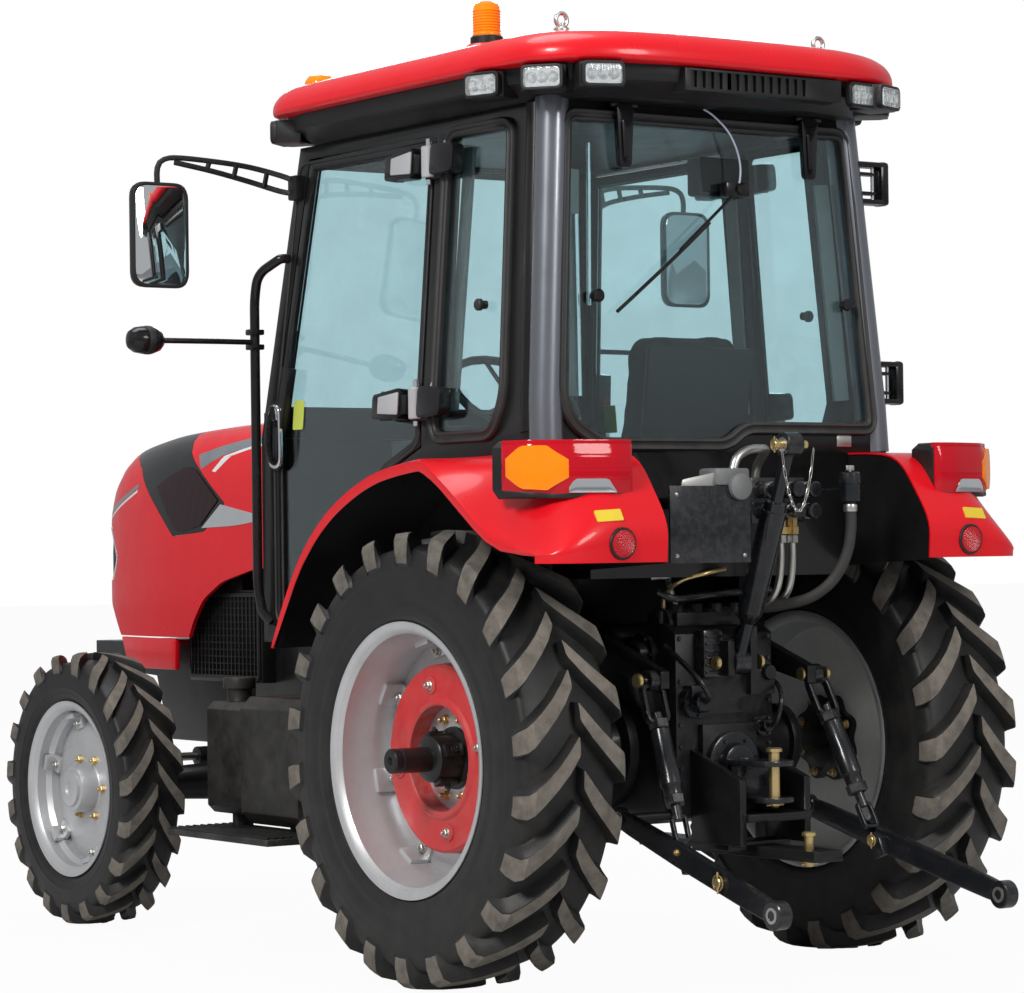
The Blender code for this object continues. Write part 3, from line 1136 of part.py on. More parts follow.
def cab_fittings():
    # Seat: cushion and back, on a pedestal
    seat_rear = CAB_REAR_BELT + CAB_WALL * 3
    seat = [box(seat_rear + CAB_WALL, seat_rear + CAB_WALL * 7, -CAB_WALL * 3, CAB_WALL * 3,
                SEAT_DECK + SHEET + GAP, SEAT_DECK + SHEET * 6),
            box(seat_rear + CAB_WALL * 0.5, seat_rear + CAB_WALL * 10, -CAB_WALL * 4.4, CAB_WALL * 4.4,
                SEAT_DECK + SHEET * 6 - SINK, SEAT_DECK + SHEET * 10),
            prism([(seat_rear + CAB_WALL * 0.5, SEAT_DECK + SHEET * 7),
                   (seat_rear + CAB_WALL * 2.7, SEAT_DECK + SHEET * 7),
                   (seat_rear + CAB_WALL * 2.2, SEAT_DECK + SHEET * 24),
                   (seat_rear, SEAT_DECK + SHEET * 24)],
                  "xz", -CAB_WALL * 4, CAB_WALL * 4)]
    piece("seat", "seat_cloth", seat)
    dash_x = CAB_FRONT_BELT - SHEET - GAP
    low = CAB_FLOOR + SHEET + GAP
    top = CAB_BELT - SINK
    dash = [prism([(dash_x, low), (dash_x, top), (dash_x - CAB_WALL * 4.5, top),
                   (dash_x - CAB_WALL * 6, top - CAB_WALL * 2),
                   (dash_x - CAB_WALL * 4, low)], "xz", -CAB_WALL * 3, CAB_WALL * 3)]
    wheel_centre = Vector((dash_x - CAB_WALL * 9.2, 0, top + CAB_WALL * 2.4))
    column_axis = Vector((-math.sin(math.radians(38)), 0, math.cos(math.radians(38))))
    hub_low = wheel_centre - column_axis * SHEET
    dash.append(rod(hub_low - column_axis * (CAB_WALL * 5), hub_low - column_axis * GAP, CAB_WALL * 0.5))
    piece("dashboard", "black_plastic", dash)
    rim = []
    for i in range(24):
        t = 2 * math.pi * i / 24
        _, a, b = basis(column_axis)
        out = a * math.cos(t) + b * math.sin(t)
        middle = wheel_centre + out * STEERING_WHEEL_RADIUS
        rim.append([middle + (out * math.cos(k * math.pi / 3)
                              + column_axis * math.sin(k * math.pi / 3)) * SHEET * 0.45
                    for k in range(6)])
    wheel = [ring(rim), turned(hub_low, column_axis, [(0, SHEET * 1.2), (SHEET * 1.4, SHEET * 0.9)], 12)]
    _, a, b = basis(column_axis)
    for k in range(3):
        t = 2 * math.pi * k / 3 + math.pi / 6
        end = wheel_centre + (a * math.cos(t) + b * math.sin(t)) * STEERING_WHEEL_RADIUS
        wheel.append(rod(wheel_centre - column_axis * SHEET * 0.5, end, SHEET * 0.25, 6))
    piece("steering_wheel", "black_plastic", wheel, pivot=wheel_centre)


def side_fittings(hand, side):
    # Mirror on its arm from the front post
    arm_z = DOOR_TOP - SHEET * 2.4
    root_x = front_plane(arm_z) - CAB_WALL / 2
    arm_x = CAB_FRONT_TOP + SHEET * 2.5
    arm_y = ROOF_HALF + CAB_WALL * 6.6
    arm = [(root_x, side_half(arm_z) + RUN, arm_z), (root_x, side_half(arm_z) + SHEET, arm_z),
           (arm_x, ROOF_HALF, arm_z + SHEET), (arm_x, arm_y - SHEET, DOOR_TOP),
           (arm_x, arm_y, DOOR_TOP - SHEET * 0.5), (arm_x, arm_y, DOOR_TOP - SHEET * 3)]
    glass_outline = [(arm_y - CAB_WALL * 1.9, DOOR_TOP - SHEET * 12.4),
                     (arm_y - CAB_WALL * 1.4, DOOR_TOP - SHEET * 13),
                     (arm_y + CAB_WALL * 1.4, DOOR_TOP - SHEET * 13),
                     (arm_y + CAB_WALL * 1.9, DOOR_TOP - SHEET * 12.4),
                     (arm_y + CAB_WALL * 1.9, DOOR_TOP - SHEET * 3.2),
                     (arm_y + CAB_WALL * 1.5, DOOR_TOP - SHEET * 2.5),
                     (arm_y - CAB_WALL * 1.5, DOOR_TOP - SHEET * 2.5),
                     (arm_y - CAB_WALL * 1.9, DOOR_TOP - SHEET * 3.2)]
    mirror = [sweep(arm, SHEET * 0.7, SHEET * 0.7),
              prism(glass_outline, "yz", arm_x - SHEET * 0.5, arm_x + SHEET)]
    piece("mirror_" + hand, "black_plastic", [sided(s, side) for s in mirror])
    # Grab rail with the small side lamp on its stalk
    x = CAB_FRONT_BELT - SHEET * 0.6
    y = CAB_HALF_BELT + SHEET
    rail_top = CAB_BELT + (CAB_TOP - CAB_BELT) * 0.62
    foot = CAB_FLOOR + SHEET * 3
    post_x = front_plane(rail_top) - CAB_WALL / 2
    stalk = CAB_BELT * 1.19
    rail = [pipe([(post_x, side_half(rail_top) + RUN, rail_top),
                  (post_x, side_half(rail_top) + SHEET, rail_top),
                  (x - SHEET * 0.7, y, rail_top - CAB_WALL * 0.9), (x, y, rail_top - CAB_WALL * 2.4),
                  (x, y, CAB_BELT * 1.05), (x, y, foot + CAB_WALL), (x, CAB_HALF_BELT + SHEET * 0.7, foot),
                  (x, CAB_HALF_BELT + RUN, foot)], SHEET * 0.5, (1, 0, 0)),
            rod((x, y, stalk), (x + SHEET, y + CAB_WALL * 7, stalk), SHEET * 0.3, 8),
            turned((x + SHEET, y + CAB_WALL * 6.2, stalk), (0, 1, 0),
                   [(0, SHEET * 0.7), (SHEET, SHEET * 1.3), (SHEET * 3, SHEET * 1.4),
                    (SHEET * 3.8, SHEET * 0.9)], 12)]
    piece("grab_rail_" + hand, "black_plastic", [sided(s, side) for s in rail])
    name = "fuel_tank" if side > 0 else "battery_box"
    inner = HOUSING_HALF + CAB_WALL * 3
    bevel = SHEET * 1.2
    section = [(inner, TANK_BOTTOM + bevel), (inner + bevel, TANK_BOTTOM), (TANK_SIDE - bevel, TANK_BOTTOM),
               (TANK_SIDE, TANK_BOTTOM + bevel), (TANK_SIDE, TANK_TOP - bevel),
               (TANK_SIDE - bevel, TANK_TOP),
               (inner + bevel, TANK_TOP), (inner, TANK_TOP - bevel)]
    step = tank_front - TANK_REAR
    tank = [prism(section, "yz", TANK_REAR, TANK_REAR + step * 0.58),
            prism(inset(section, SHEET * 0.7), "yz", TANK_REAR + step * 0.5, tank_front),
            box(TANK_REAR, TANK_REAR + TANK_BRACKET, HOUSING_HALF + GAP, inner + SINK,
                HOUSING_BOTTOM + TANK_BRACKET / 2, HOUSING_BOTTOM + TANK_BRACKET),
            box(TANK_REAR - SHEET, tank_front, TANK_SIDE - TANK_BRACKET, STEP_SIDE, STEP_Z,
                STEP_Z + FENDER_WALL)]
    for share in (0.2, 0.8):
        hanger_x = TANK_REAR + step * share
        tank.append(box(hanger_x, hanger_x + SHEET, TANK_SIDE - TANK_BRACKET, TANK_SIDE - TANK_BRACKET / 2,
                        STEP_Z + SINK,
                        TANK_BOTTOM + bevel))
    if side > 0:
        cap = (tank_front - SHEET * 2.6, TANK_SIDE - SHEET * 3.2, TANK_TOP - bevel * 2)
        tank.append(turned(cap, (0, 0, 1), [(0, SHEET * 1.3), (SHEET * 3, SHEET * 1.3),
                                            (SHEET * 3, SHEET * 1.7),
                                            (SHEET * 4.2, SHEET * 1.7)], 16))
    piece(name, "black_plastic", [sided(s, side) for s in tank])


# Hitch

def lift_arms():
    shapes = [rod((LIFT_SHAFT_X, -LIFT_ARM_Y, LIFT_SHAFT_Z), (LIFT_SHAFT_X, LIFT_ARM_Y, LIFT_SHAFT_Z),
                  LIFT_SHAFT_RADIUS, 20)]
    for side in (1, -1):
        outline = [(LIFT_SHAFT_X + SHEET * 1.3, LIFT_SHAFT_Z + SHEET * 0.9),
                   (LIFT_SHAFT_X + SHEET * 1.3, LIFT_SHAFT_Z - SHEET),
                   (LIFT_SHAFT_X - SHEET, LIFT_SHAFT_Z - SHEET * 1.5),
                   (LIFT_ARM_X - SHEET, LIFT_ARM_Z - SHEET * 0.8),
                   (LIFT_ARM_X - SHEET, LIFT_ARM_Z + SHEET * 0.8),
                   (LIFT_SHAFT_X - SHEET, LIFT_SHAFT_Z + SHEET * 1.4)]
        shapes.append(sided(prism(outline, "xz", LIFT_ARM_Y - LIFT_ARM_WIDTH, LIFT_ARM_Y), side))
        shapes.append(sided(rod((LIFT_ARM_X, LIFT_ARM_Y - SINK, LIFT_ARM_Z),
                                (LIFT_ARM_X, LIFT_ARM_Y + LIFT_ARM_WIDTH * 1.4, LIFT_ARM_Z), PIN_RADIUS),
                            side))
    piece("lift_arms", "black_iron", shapes, pivot=(LIFT_SHAFT_X, 0, LIFT_SHAFT_Z))


def bore_for(radius, sides):
    return (radius + GAP) / math.cos(math.pi / sides)


def eye(x, y0, y1, z, radius):
    across = (0, 1, 0)
    return loft([circle((x, y, z), across, radius, 14, 0) for y in (y0, y1)])


def lift_rod(hand, side):
    y0 = LIFT_ARM_Y + GAP * 2
    y1 = LIFT_ARM_Y + LIFT_ARM_WIDTH
    link_y = link_side(ROD_LINK_X)
    low_y = link_y - LINK_WIDTH / 2 - CLEAR
    top = Vector((LIFT_ARM_X, (y0 + y1) / 2, LIFT_ARM_Z))
    low = Vector((ROD_LINK_X, low_y - LINK_WIDTH / 2, ROD_LINK_Z))
    shapes = [eye(LIFT_ARM_X, y0, y1, LIFT_ARM_Z, PIN_RADIUS * 2.2),
              rod(top + (low - top) * 0.04, low + (top - low) * 0.04, ROD_RADIUS, 10),
              rod(top + (low - top) * 0.32, top + (low - top) * 0.72, ROD_RADIUS * 1.45, 12),
              eye(ROD_LINK_X, low_y - LINK_WIDTH, low_y, ROD_LINK_Z, PIN_RADIUS * 2)]
    cuts = [eye(LIFT_ARM_X, y0 - OVERRUN, y1 + OVERRUN, LIFT_ARM_Z, bore_for(PIN_RADIUS, 14))]
    piece("lift_rod_" + hand, "black_iron", [sided(s, side) for s in shapes],
          [sided(s, side) for s in cuts], pivot=(LIFT_ARM_X, side * top.y, LIFT_ARM_Z))


def link_side(x):
    return LINK_FRONT_Y + (LINK_END_Y - LINK_FRONT_Y) * (x - LINK_PIVOT_X) / (link_end_x - LINK_PIVOT_X)


def lower_link(hand, side):
    path = [(LINK_PIVOT_X, LINK_FRONT_Y, LINK_PIVOT_Z), (link_end_x, LINK_END_Y, LINK_END_Z)]
    half = LINK_WIDTH / 2
    shapes = [sweep(path, LINK_WIDTH, LINK_DEPTH),
              eye(LINK_PIVOT_X, LINK_FRONT_Y - half, LINK_FRONT_Y + half, LINK_PIVOT_Z, PIN_RADIUS * 2.4),
              eye(link_end_x, LINK_END_Y - LINK_WIDTH, LINK_END_Y + LINK_WIDTH, LINK_END_Z, link_ball)]
    cuts = [eye(LINK_PIVOT_X, LINK_FRONT_Y - OVERRUN, LINK_FRONT_Y + OVERRUN, LINK_PIVOT_Z,
                bore_for(PIN_RADIUS, 14)),
            eye(link_end_x, LINK_END_Y - OVERRUN, LINK_END_Y + OVERRUN, LINK_END_Z, PIN_RADIUS)]
    piece("lower_link_" + hand, "black_iron", [sided(s, side) for s in shapes],
          [sided(s, side) for s in cuts], pivot=(LINK_PIVOT_X, side * LINK_FRONT_Y, LINK_PIVOT_Z))


def top_link():
    pin = Vector((TOP_PIN_X, 0, TOP_PIN_Z))
    end = Vector((TOP_END_X, 0, TOP_END_Z))
    half = TOP_TUBE_RADIUS * 1.3 - GAP * 2
    shapes = [rod(pin + (end - pin) * 0.02, end, TOP_TUBE_RADIUS * 0.6, 10),
              rod(pin + (end - pin) * 0.25, pin + (end - pin) * 0.75, TOP_TUBE_RADIUS * 1.2, 12),
              eye(pin.x, -half, half, pin.z, TOP_TUBE_RADIUS * 1.5),
              eye(end.x, -half, half, end.z, TOP_TUBE_RADIUS * 1.5)]
    cuts = [eye(pin.x, -half - OVERRUN, half + OVERRUN, pin.z, bore_for(PIN_RADIUS, 14)),
            eye(end.x, -half - OVERRUN, half + OVERRUN, end.z, PIN_RADIUS)]
    piece("top_link", "black_iron", shapes, cuts, pivot=pin)


def hitch_frame():
    start = -HOUSING_REAR - GAP
    plates = []
    for y in (HOUSING_HALF * 0.6, -HOUSING_HALF * 0.6 - LINK_WIDTH):
        plates.append(prism([(start, REAR_RADIUS * 1.02), (start, HOUSING_BOTTOM * 0.9),
                             (start - CAB_WALL * 4.4, HOUSING_BOTTOM * 0.9),
                             (start - CAB_WALL * 4.4, REAR_RADIUS * 0.9)], "xz", y, y + LINK_WIDTH))
    plates.append(box(start - CAB_WALL * 4.8, start - CAB_WALL * 1.8, -HOUSING_HALF * 0.65,
                      HOUSING_HALF * 0.65,
                      HOUSING_BOTTOM * 1.05, HOUSING_BOTTOM * 1.05 + LINK_WIDTH))
    plates.append(box(-HOUSING_REAR * 2.3, 0, -CAB_WALL, CAB_WALL, HOUSING_BOTTOM * 0.82,
                      HOUSING_BOTTOM * 0.82 + SHEET))
    plates.append(box(start - CAB_WALL * 3, start - CAB_WALL, -HOUSING_HALF * 0.65, HOUSING_HALF * 0.65,
                      HOUSING_BOTTOM * 0.86, HOUSING_BOTTOM * 0.86 + LINK_WIDTH))
    piece("hitch_frame", "black_iron", plates)


# Assembly
SIDES = (("left", 1), ("right", -1))
for hand, side in SIDES:
    rear_wheel(hand, side)
    front_wheel(hand, side)
    knuckle(hand, side)
    fender(hand, side)
    door(hand, side)
    side_fittings(hand, side)
    lift_rod(hand, side)
    lower_link(hand, side)
front_axle_beam()
steering_rod()
transmission_housing()
engine_block()
front_support()
radiator()
hood()
nose_valance()
cab_frame()
roof_shell()
roof_band()
windows()
cab_fittings()
lift_arms()
top_link()
hitch_frame()
bpy.context.view_layer.update()
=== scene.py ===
import json
import math
import random

import bmesh
import bpy
from mathutils import Matrix, Vector

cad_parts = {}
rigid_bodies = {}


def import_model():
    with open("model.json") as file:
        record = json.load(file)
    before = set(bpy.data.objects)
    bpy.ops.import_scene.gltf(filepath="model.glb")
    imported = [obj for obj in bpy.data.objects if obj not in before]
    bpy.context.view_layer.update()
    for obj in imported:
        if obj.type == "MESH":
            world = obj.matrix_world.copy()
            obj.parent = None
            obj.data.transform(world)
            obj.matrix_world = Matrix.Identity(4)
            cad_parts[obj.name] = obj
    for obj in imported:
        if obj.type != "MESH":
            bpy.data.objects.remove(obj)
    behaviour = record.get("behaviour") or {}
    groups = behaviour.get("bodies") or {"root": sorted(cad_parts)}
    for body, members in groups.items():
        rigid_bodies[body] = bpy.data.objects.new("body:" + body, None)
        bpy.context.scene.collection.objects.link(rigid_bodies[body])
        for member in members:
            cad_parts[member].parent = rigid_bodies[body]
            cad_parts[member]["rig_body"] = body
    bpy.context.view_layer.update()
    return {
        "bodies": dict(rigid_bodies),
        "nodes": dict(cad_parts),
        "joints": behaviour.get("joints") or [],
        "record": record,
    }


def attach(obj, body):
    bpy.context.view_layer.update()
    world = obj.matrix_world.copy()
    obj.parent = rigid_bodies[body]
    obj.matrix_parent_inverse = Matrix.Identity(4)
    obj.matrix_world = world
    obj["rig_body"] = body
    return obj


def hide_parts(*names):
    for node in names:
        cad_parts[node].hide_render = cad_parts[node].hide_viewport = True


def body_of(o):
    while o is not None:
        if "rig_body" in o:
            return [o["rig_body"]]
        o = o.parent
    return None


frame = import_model()
cadNodes = frame["nodes"]
scene = bpy.context.scene
random.seed(7)
print("frame loaded:", len(cadNodes), "nodes")

# Places are given from the datum below the rear axle, as in the part
datum = Vector((-1.0, 0.0, 0.0))
cab = {"belt": 1.55, "halfBelt": 0.605, "halfTop": 0.535, "top": 2.43, "rearBelt": -0.345, "rearTop": -0.3,
       "frontBelt": 1.155, "frontTop": 1.02}


# Shader nodes shared by the stage and the finishes

def plug(tree, socket, value):
    if isinstance(value, bpy.types.NodeSocket):
        tree.links.new(value, socket)
    else:
        socket.default_value = value


def calc(tree, operation, a, b=0.0, clamp=False):
    node = tree.nodes.new("ShaderNodeMath")
    node.operation = operation
    node.use_clamp = clamp
    plug(tree, node.inputs[0], a)
    plug(tree, node.inputs[1], b)
    return node.outputs[0]


def newMaterial(name):
    material = bpy.data.materials.new(name)
    material.use_nodes = True
    return material, material.node_tree, material.node_tree.nodes["Principled BSDF"]


def blendShaders(tree, share, first, second, output):
    mix = tree.nodes.new("ShaderNodeMixShader")
    for socket, value in zip(mix.inputs, (share, first, second)):
        tree.links.new(value, socket)
    tree.links.new(mix.outputs[0], output.inputs["Surface"])


# Camera, lamps and floor

def addCamera():
    shot = {"place": (-8.748, 5.852, 1.213), "yaw": 34.75, "pitch": 0.84, "roll": -0.76, "focal": 118.48}
    yaw, pitch, roll = (math.radians(shot[k]) for k in ("yaw", "pitch", "roll"))
    ahead = Vector((math.cos(yaw) * math.cos(pitch), -math.sin(yaw) * math.cos(pitch), math.sin(pitch)))
    right = ahead.cross(Vector((0, 0, 1))).normalized()
    up = right.cross(ahead)
    c, s = math.cos(roll), math.sin(roll)
    right, up = right * c + up * s, up * c - right * s
    camera = bpy.data.objects.new("camera", bpy.data.cameras.new("camera"))
    scene.collection.objects.link(camera)
    camera.data.sensor_fit = "HORIZONTAL"
    camera.data.sensor_width = 36
    camera.data.lens = shot["focal"]
    camera.data.clip_end = 200
    turn = Matrix((right, up, -ahead)).transposed().to_4x4()
    camera.matrix_world = Matrix.Translation(shot["place"]) @ turn
    scene.camera = camera


def addLamp(name, place, target, size, power, colour):
    data = bpy.data.lights.new(name, "AREA")
    data.shape = "DISK"
    data.size = size
    data.energy = power
    data.color = colour
    lamp = bpy.data.objects.new(name, data)
    scene.collection.objects.link(lamp)
    lamp.location = place
    lamp.rotation_mode = "QUATERNION"
    lamp.rotation_quaternion = (Vector(place) - Vector(target)).to_track_quat("Z", "Y")
    lamp.visible_camera = False
    lamp.visible_transmission = False


def addStage():
    stage = {"floorSize": 60, "floorGrey": 0.55, "seenWhite": 0.96, "fill": 0.37, "glossShare": 0.08}
    # Columns: name, place, target, size, power, colour
    for row in (("keyLamp", (-4.2, 8.4, 7.6), (0, 0, 0.9), 3.0, 800, (1, 0.98, 0.95)),
                ("rearLamp", (-9.5, -1.0, 5.5), (-1.0, 0, 0.9), 3.0, 300, (1, 0.98, 0.96)),
                ("topLamp", (1.0, 0.5, 8.5), (0, 0, 1.0), 4.5, 220, (0.96, 0.98, 1)),
                ("farLamp", (7.5, -5.5, 5.0), (0, 0, 1.0), 4.0, 260, (0.97, 0.98, 1))):
        addLamp(*row)
    world = bpy.data.worlds.new("studio")
    scene.world = world
    world.use_nodes = True
    tree = world.node_tree
    soft = tree.nodes["Background"]
    soft.inputs["Color"].default_value = (0.93, 0.96, 1, 1)
    soft.inputs["Strength"].default_value = stage["fill"]
    seen = tree.nodes.new("ShaderNodeBackground")
    seen.inputs["Color"].default_value = (1, 1, 1, 1)
    seen.inputs["Strength"].default_value = 1
    path = tree.nodes.new("ShaderNodeLightPath").outputs
    gloss = calc(tree, "MULTIPLY", path["Is Glossy Ray"], stage["glossShare"])
    share = calc(tree, "MAXIMUM", path["Is Camera Ray"], gloss)
    share = calc(tree, "MAXIMUM", share, path["Is Transmission Ray"])
    blendShaders(tree, share, soft.outputs[0], seen.outputs[0], tree.nodes["World Output"])
    size = stage["floorSize"]
    mesh = bpy.data.meshes.new("floor")
    corners = [(u * size, v * size, -0.002) for u, v in ((-1, -1), (1, -1), (1, 1), (-1, 1))]
    mesh.from_pydata(corners, [], [(0, 1, 2, 3)])
    floor = bpy.data.objects.new("floor", mesh)
    scene.collection.objects.link(floor)
    paper, tree, shader = newMaterial("floorPaper")
    grey = stage["floorGrey"]
    shader.inputs["Base Color"].default_value = (grey, grey, grey, 1)
    shader.inputs["Roughness"].default_value = 0.9
    shader.inputs["Specular IOR Level"].default_value = 0.1
    glow = tree.nodes.new("ShaderNodeEmission")
    path = tree.nodes.new("ShaderNodeLightPath").outputs
    share = calc(tree, "MULTIPLY", path["Is Camera Ray"], stage["seenWhite"])
    blendShaders(tree, share, shader.outputs[0], glow.outputs[0], tree.nodes["Material Output"])
    mesh.materials.append(paper)
    scene.view_settings.view_transform = "Standard"


addCamera()
addStage()
print("camera, lamps and floor are set")


# Shader groups: each gives masks and values that change over the surface

def newGroup(name, inputs, outputs):
    tree = bpy.data.node_groups.new(name, "ShaderNodeTree")
    for label, value in inputs:
        socket = tree.interface.new_socket(label, in_out="INPUT", socket_type="NodeSocketFloat")
        socket.default_value = value
    for label in outputs:
        tree.interface.new_socket(label, in_out="OUTPUT", socket_type="NodeSocketFloat")
    return tree, tree.nodes.new("NodeGroupInput").outputs, tree.nodes.new("NodeGroupOutput").inputs


def contrast(tree, value, low, gain):
    return calc(tree, "MULTIPLY", calc(tree, "SUBTRACT", value, low), gain, True)


def partsOf(tree, vector):
    node = tree.nodes.new("ShaderNodeSeparateXYZ")
    tree.links.new(vector, node.inputs[0])
    return node.outputs


def noiseOf(tree, scale, detail, rough=0.55):
    node = tree.nodes.new("ShaderNodeTexNoise")
    tree.links.new(tree.nodes.new("ShaderNodeTexCoord").outputs["Object"], node.inputs["Vector"])
    plug(tree, node.inputs["Scale"], scale)
    node.inputs["Detail"].default_value = detail
    node.inputs["Roughness"].default_value = rough
    return node.outputs["Fac"]


def buildGrain():
    # Fine grain and broad blotches, both from 0 to 1
    tree, given, made = newGroup("surfaceGrain", [("Fine Scale", 900.0), ("Broad Scale", 9.0)],
                                 ["Fine", "Broad"])
    tree.links.new(noiseOf(tree, given["Fine Scale"], 2.0), made["Fine"])
    tree.links.new(contrast(tree, noiseOf(tree, given["Broad Scale"], 5.0, 0.65), 0.32, 2.7), made["Broad"])
    return tree


def buildWear():
    # A mask of the outer edges, broken up by noise
    tree, given, made = newGroup("edgeWear", [("Amount", 0.5), ("Scale", 40.0)], ["Mask"])
    edge = tree.nodes.new("ShaderNodeNewGeometry").outputs["Pointiness"]
    broken = contrast(tree, noiseOf(tree, given["Scale"], 4.0, 0.7), 0.42, 5.0)
    worn = calc(tree, "MULTIPLY", contrast(tree, edge, 0.53, 14.0), broken)
    tree.links.new(calc(tree, "MULTIPLY", worn, given["Amount"], True), made["Mask"])
    return tree


def buildDust():
    # Dust on upward faces and towards the ground
    tree, given, made = newGroup("settledDust", [("Amount", 0.3), ("Height", 1.0), ("Scale", 14.0)],
                                 ["Mask"])
    place = partsOf(tree, tree.nodes.new("ShaderNodeTexCoord").outputs["Object"])
    low = calc(tree, "DIVIDE", calc(tree, "SUBTRACT", given["Height"], place["Z"]), given["Height"], True)
    facing = partsOf(tree, tree.nodes.new("ShaderNodeNewGeometry").outputs["Normal"])
    lying = calc(tree, "MULTIPLY", calc(tree, "MAXIMUM", facing["Z"], 0.0), 0.45)
    cloud = contrast(tree, noiseOf(tree, given["Scale"], 6.0, 0.7), 0.36, 3.2)
    fall = calc(tree, "MULTIPLY", calc(tree, "ADD", low, lying, True), cloud)
    tree.links.new(calc(tree, "MULTIPLY", fall, given["Amount"], True), made["Mask"])
    return tree


def buildRibs():
    # Straight ribs along one of the object's own axes, as a height from 0 to 1
    tree, given, made = newGroup("mouldedRibs", [("Across X", 0.0), ("Across Y", 1.0), ("Across Z", 0.0),
                                                 ("Count", 300.0)], ["Height"])
    place = partsOf(tree, tree.nodes.new("ShaderNodeTexCoord").outputs["Object"])
    alongX, alongY, alongZ = (calc(tree, "MULTIPLY", place[k], given["Across " + k]) for k in "XYZ")
    total = calc(tree, "ADD", alongX, calc(tree, "ADD", alongY, alongZ))
    wave = calc(tree, "SINE", calc(tree, "MULTIPLY", total, given["Count"]))
    tree.links.new(calc(tree, "ADD", calc(tree, "MULTIPLY", wave, 0.5), 0.5), made["Height"])
    return tree


groups = {"grain": buildGrain(), "wear": buildWear(), "dust": buildDust(), "ribs": buildRibs()}


def useGroup(tree, key, **values):
    node = tree.nodes.new("ShaderNodeGroup")
    node.node_tree = groups[key]
    for label, value in values.items():
        plug(tree, node.inputs[label.replace("_", " ")], value)
    return node.outputs


def blendColour(tree, factor, first, second):
    node = tree.nodes.new("ShaderNodeMix")
    node.data_type = "RGBA"
    plug(tree, node.inputs["Factor"], factor)
    for socket, value in ((node.inputs[6], first), (node.inputs[7], second)):
        plug(tree, socket, value if isinstance(value, bpy.types.NodeSocket) else (*value, 1))
    return node.outputs[2]


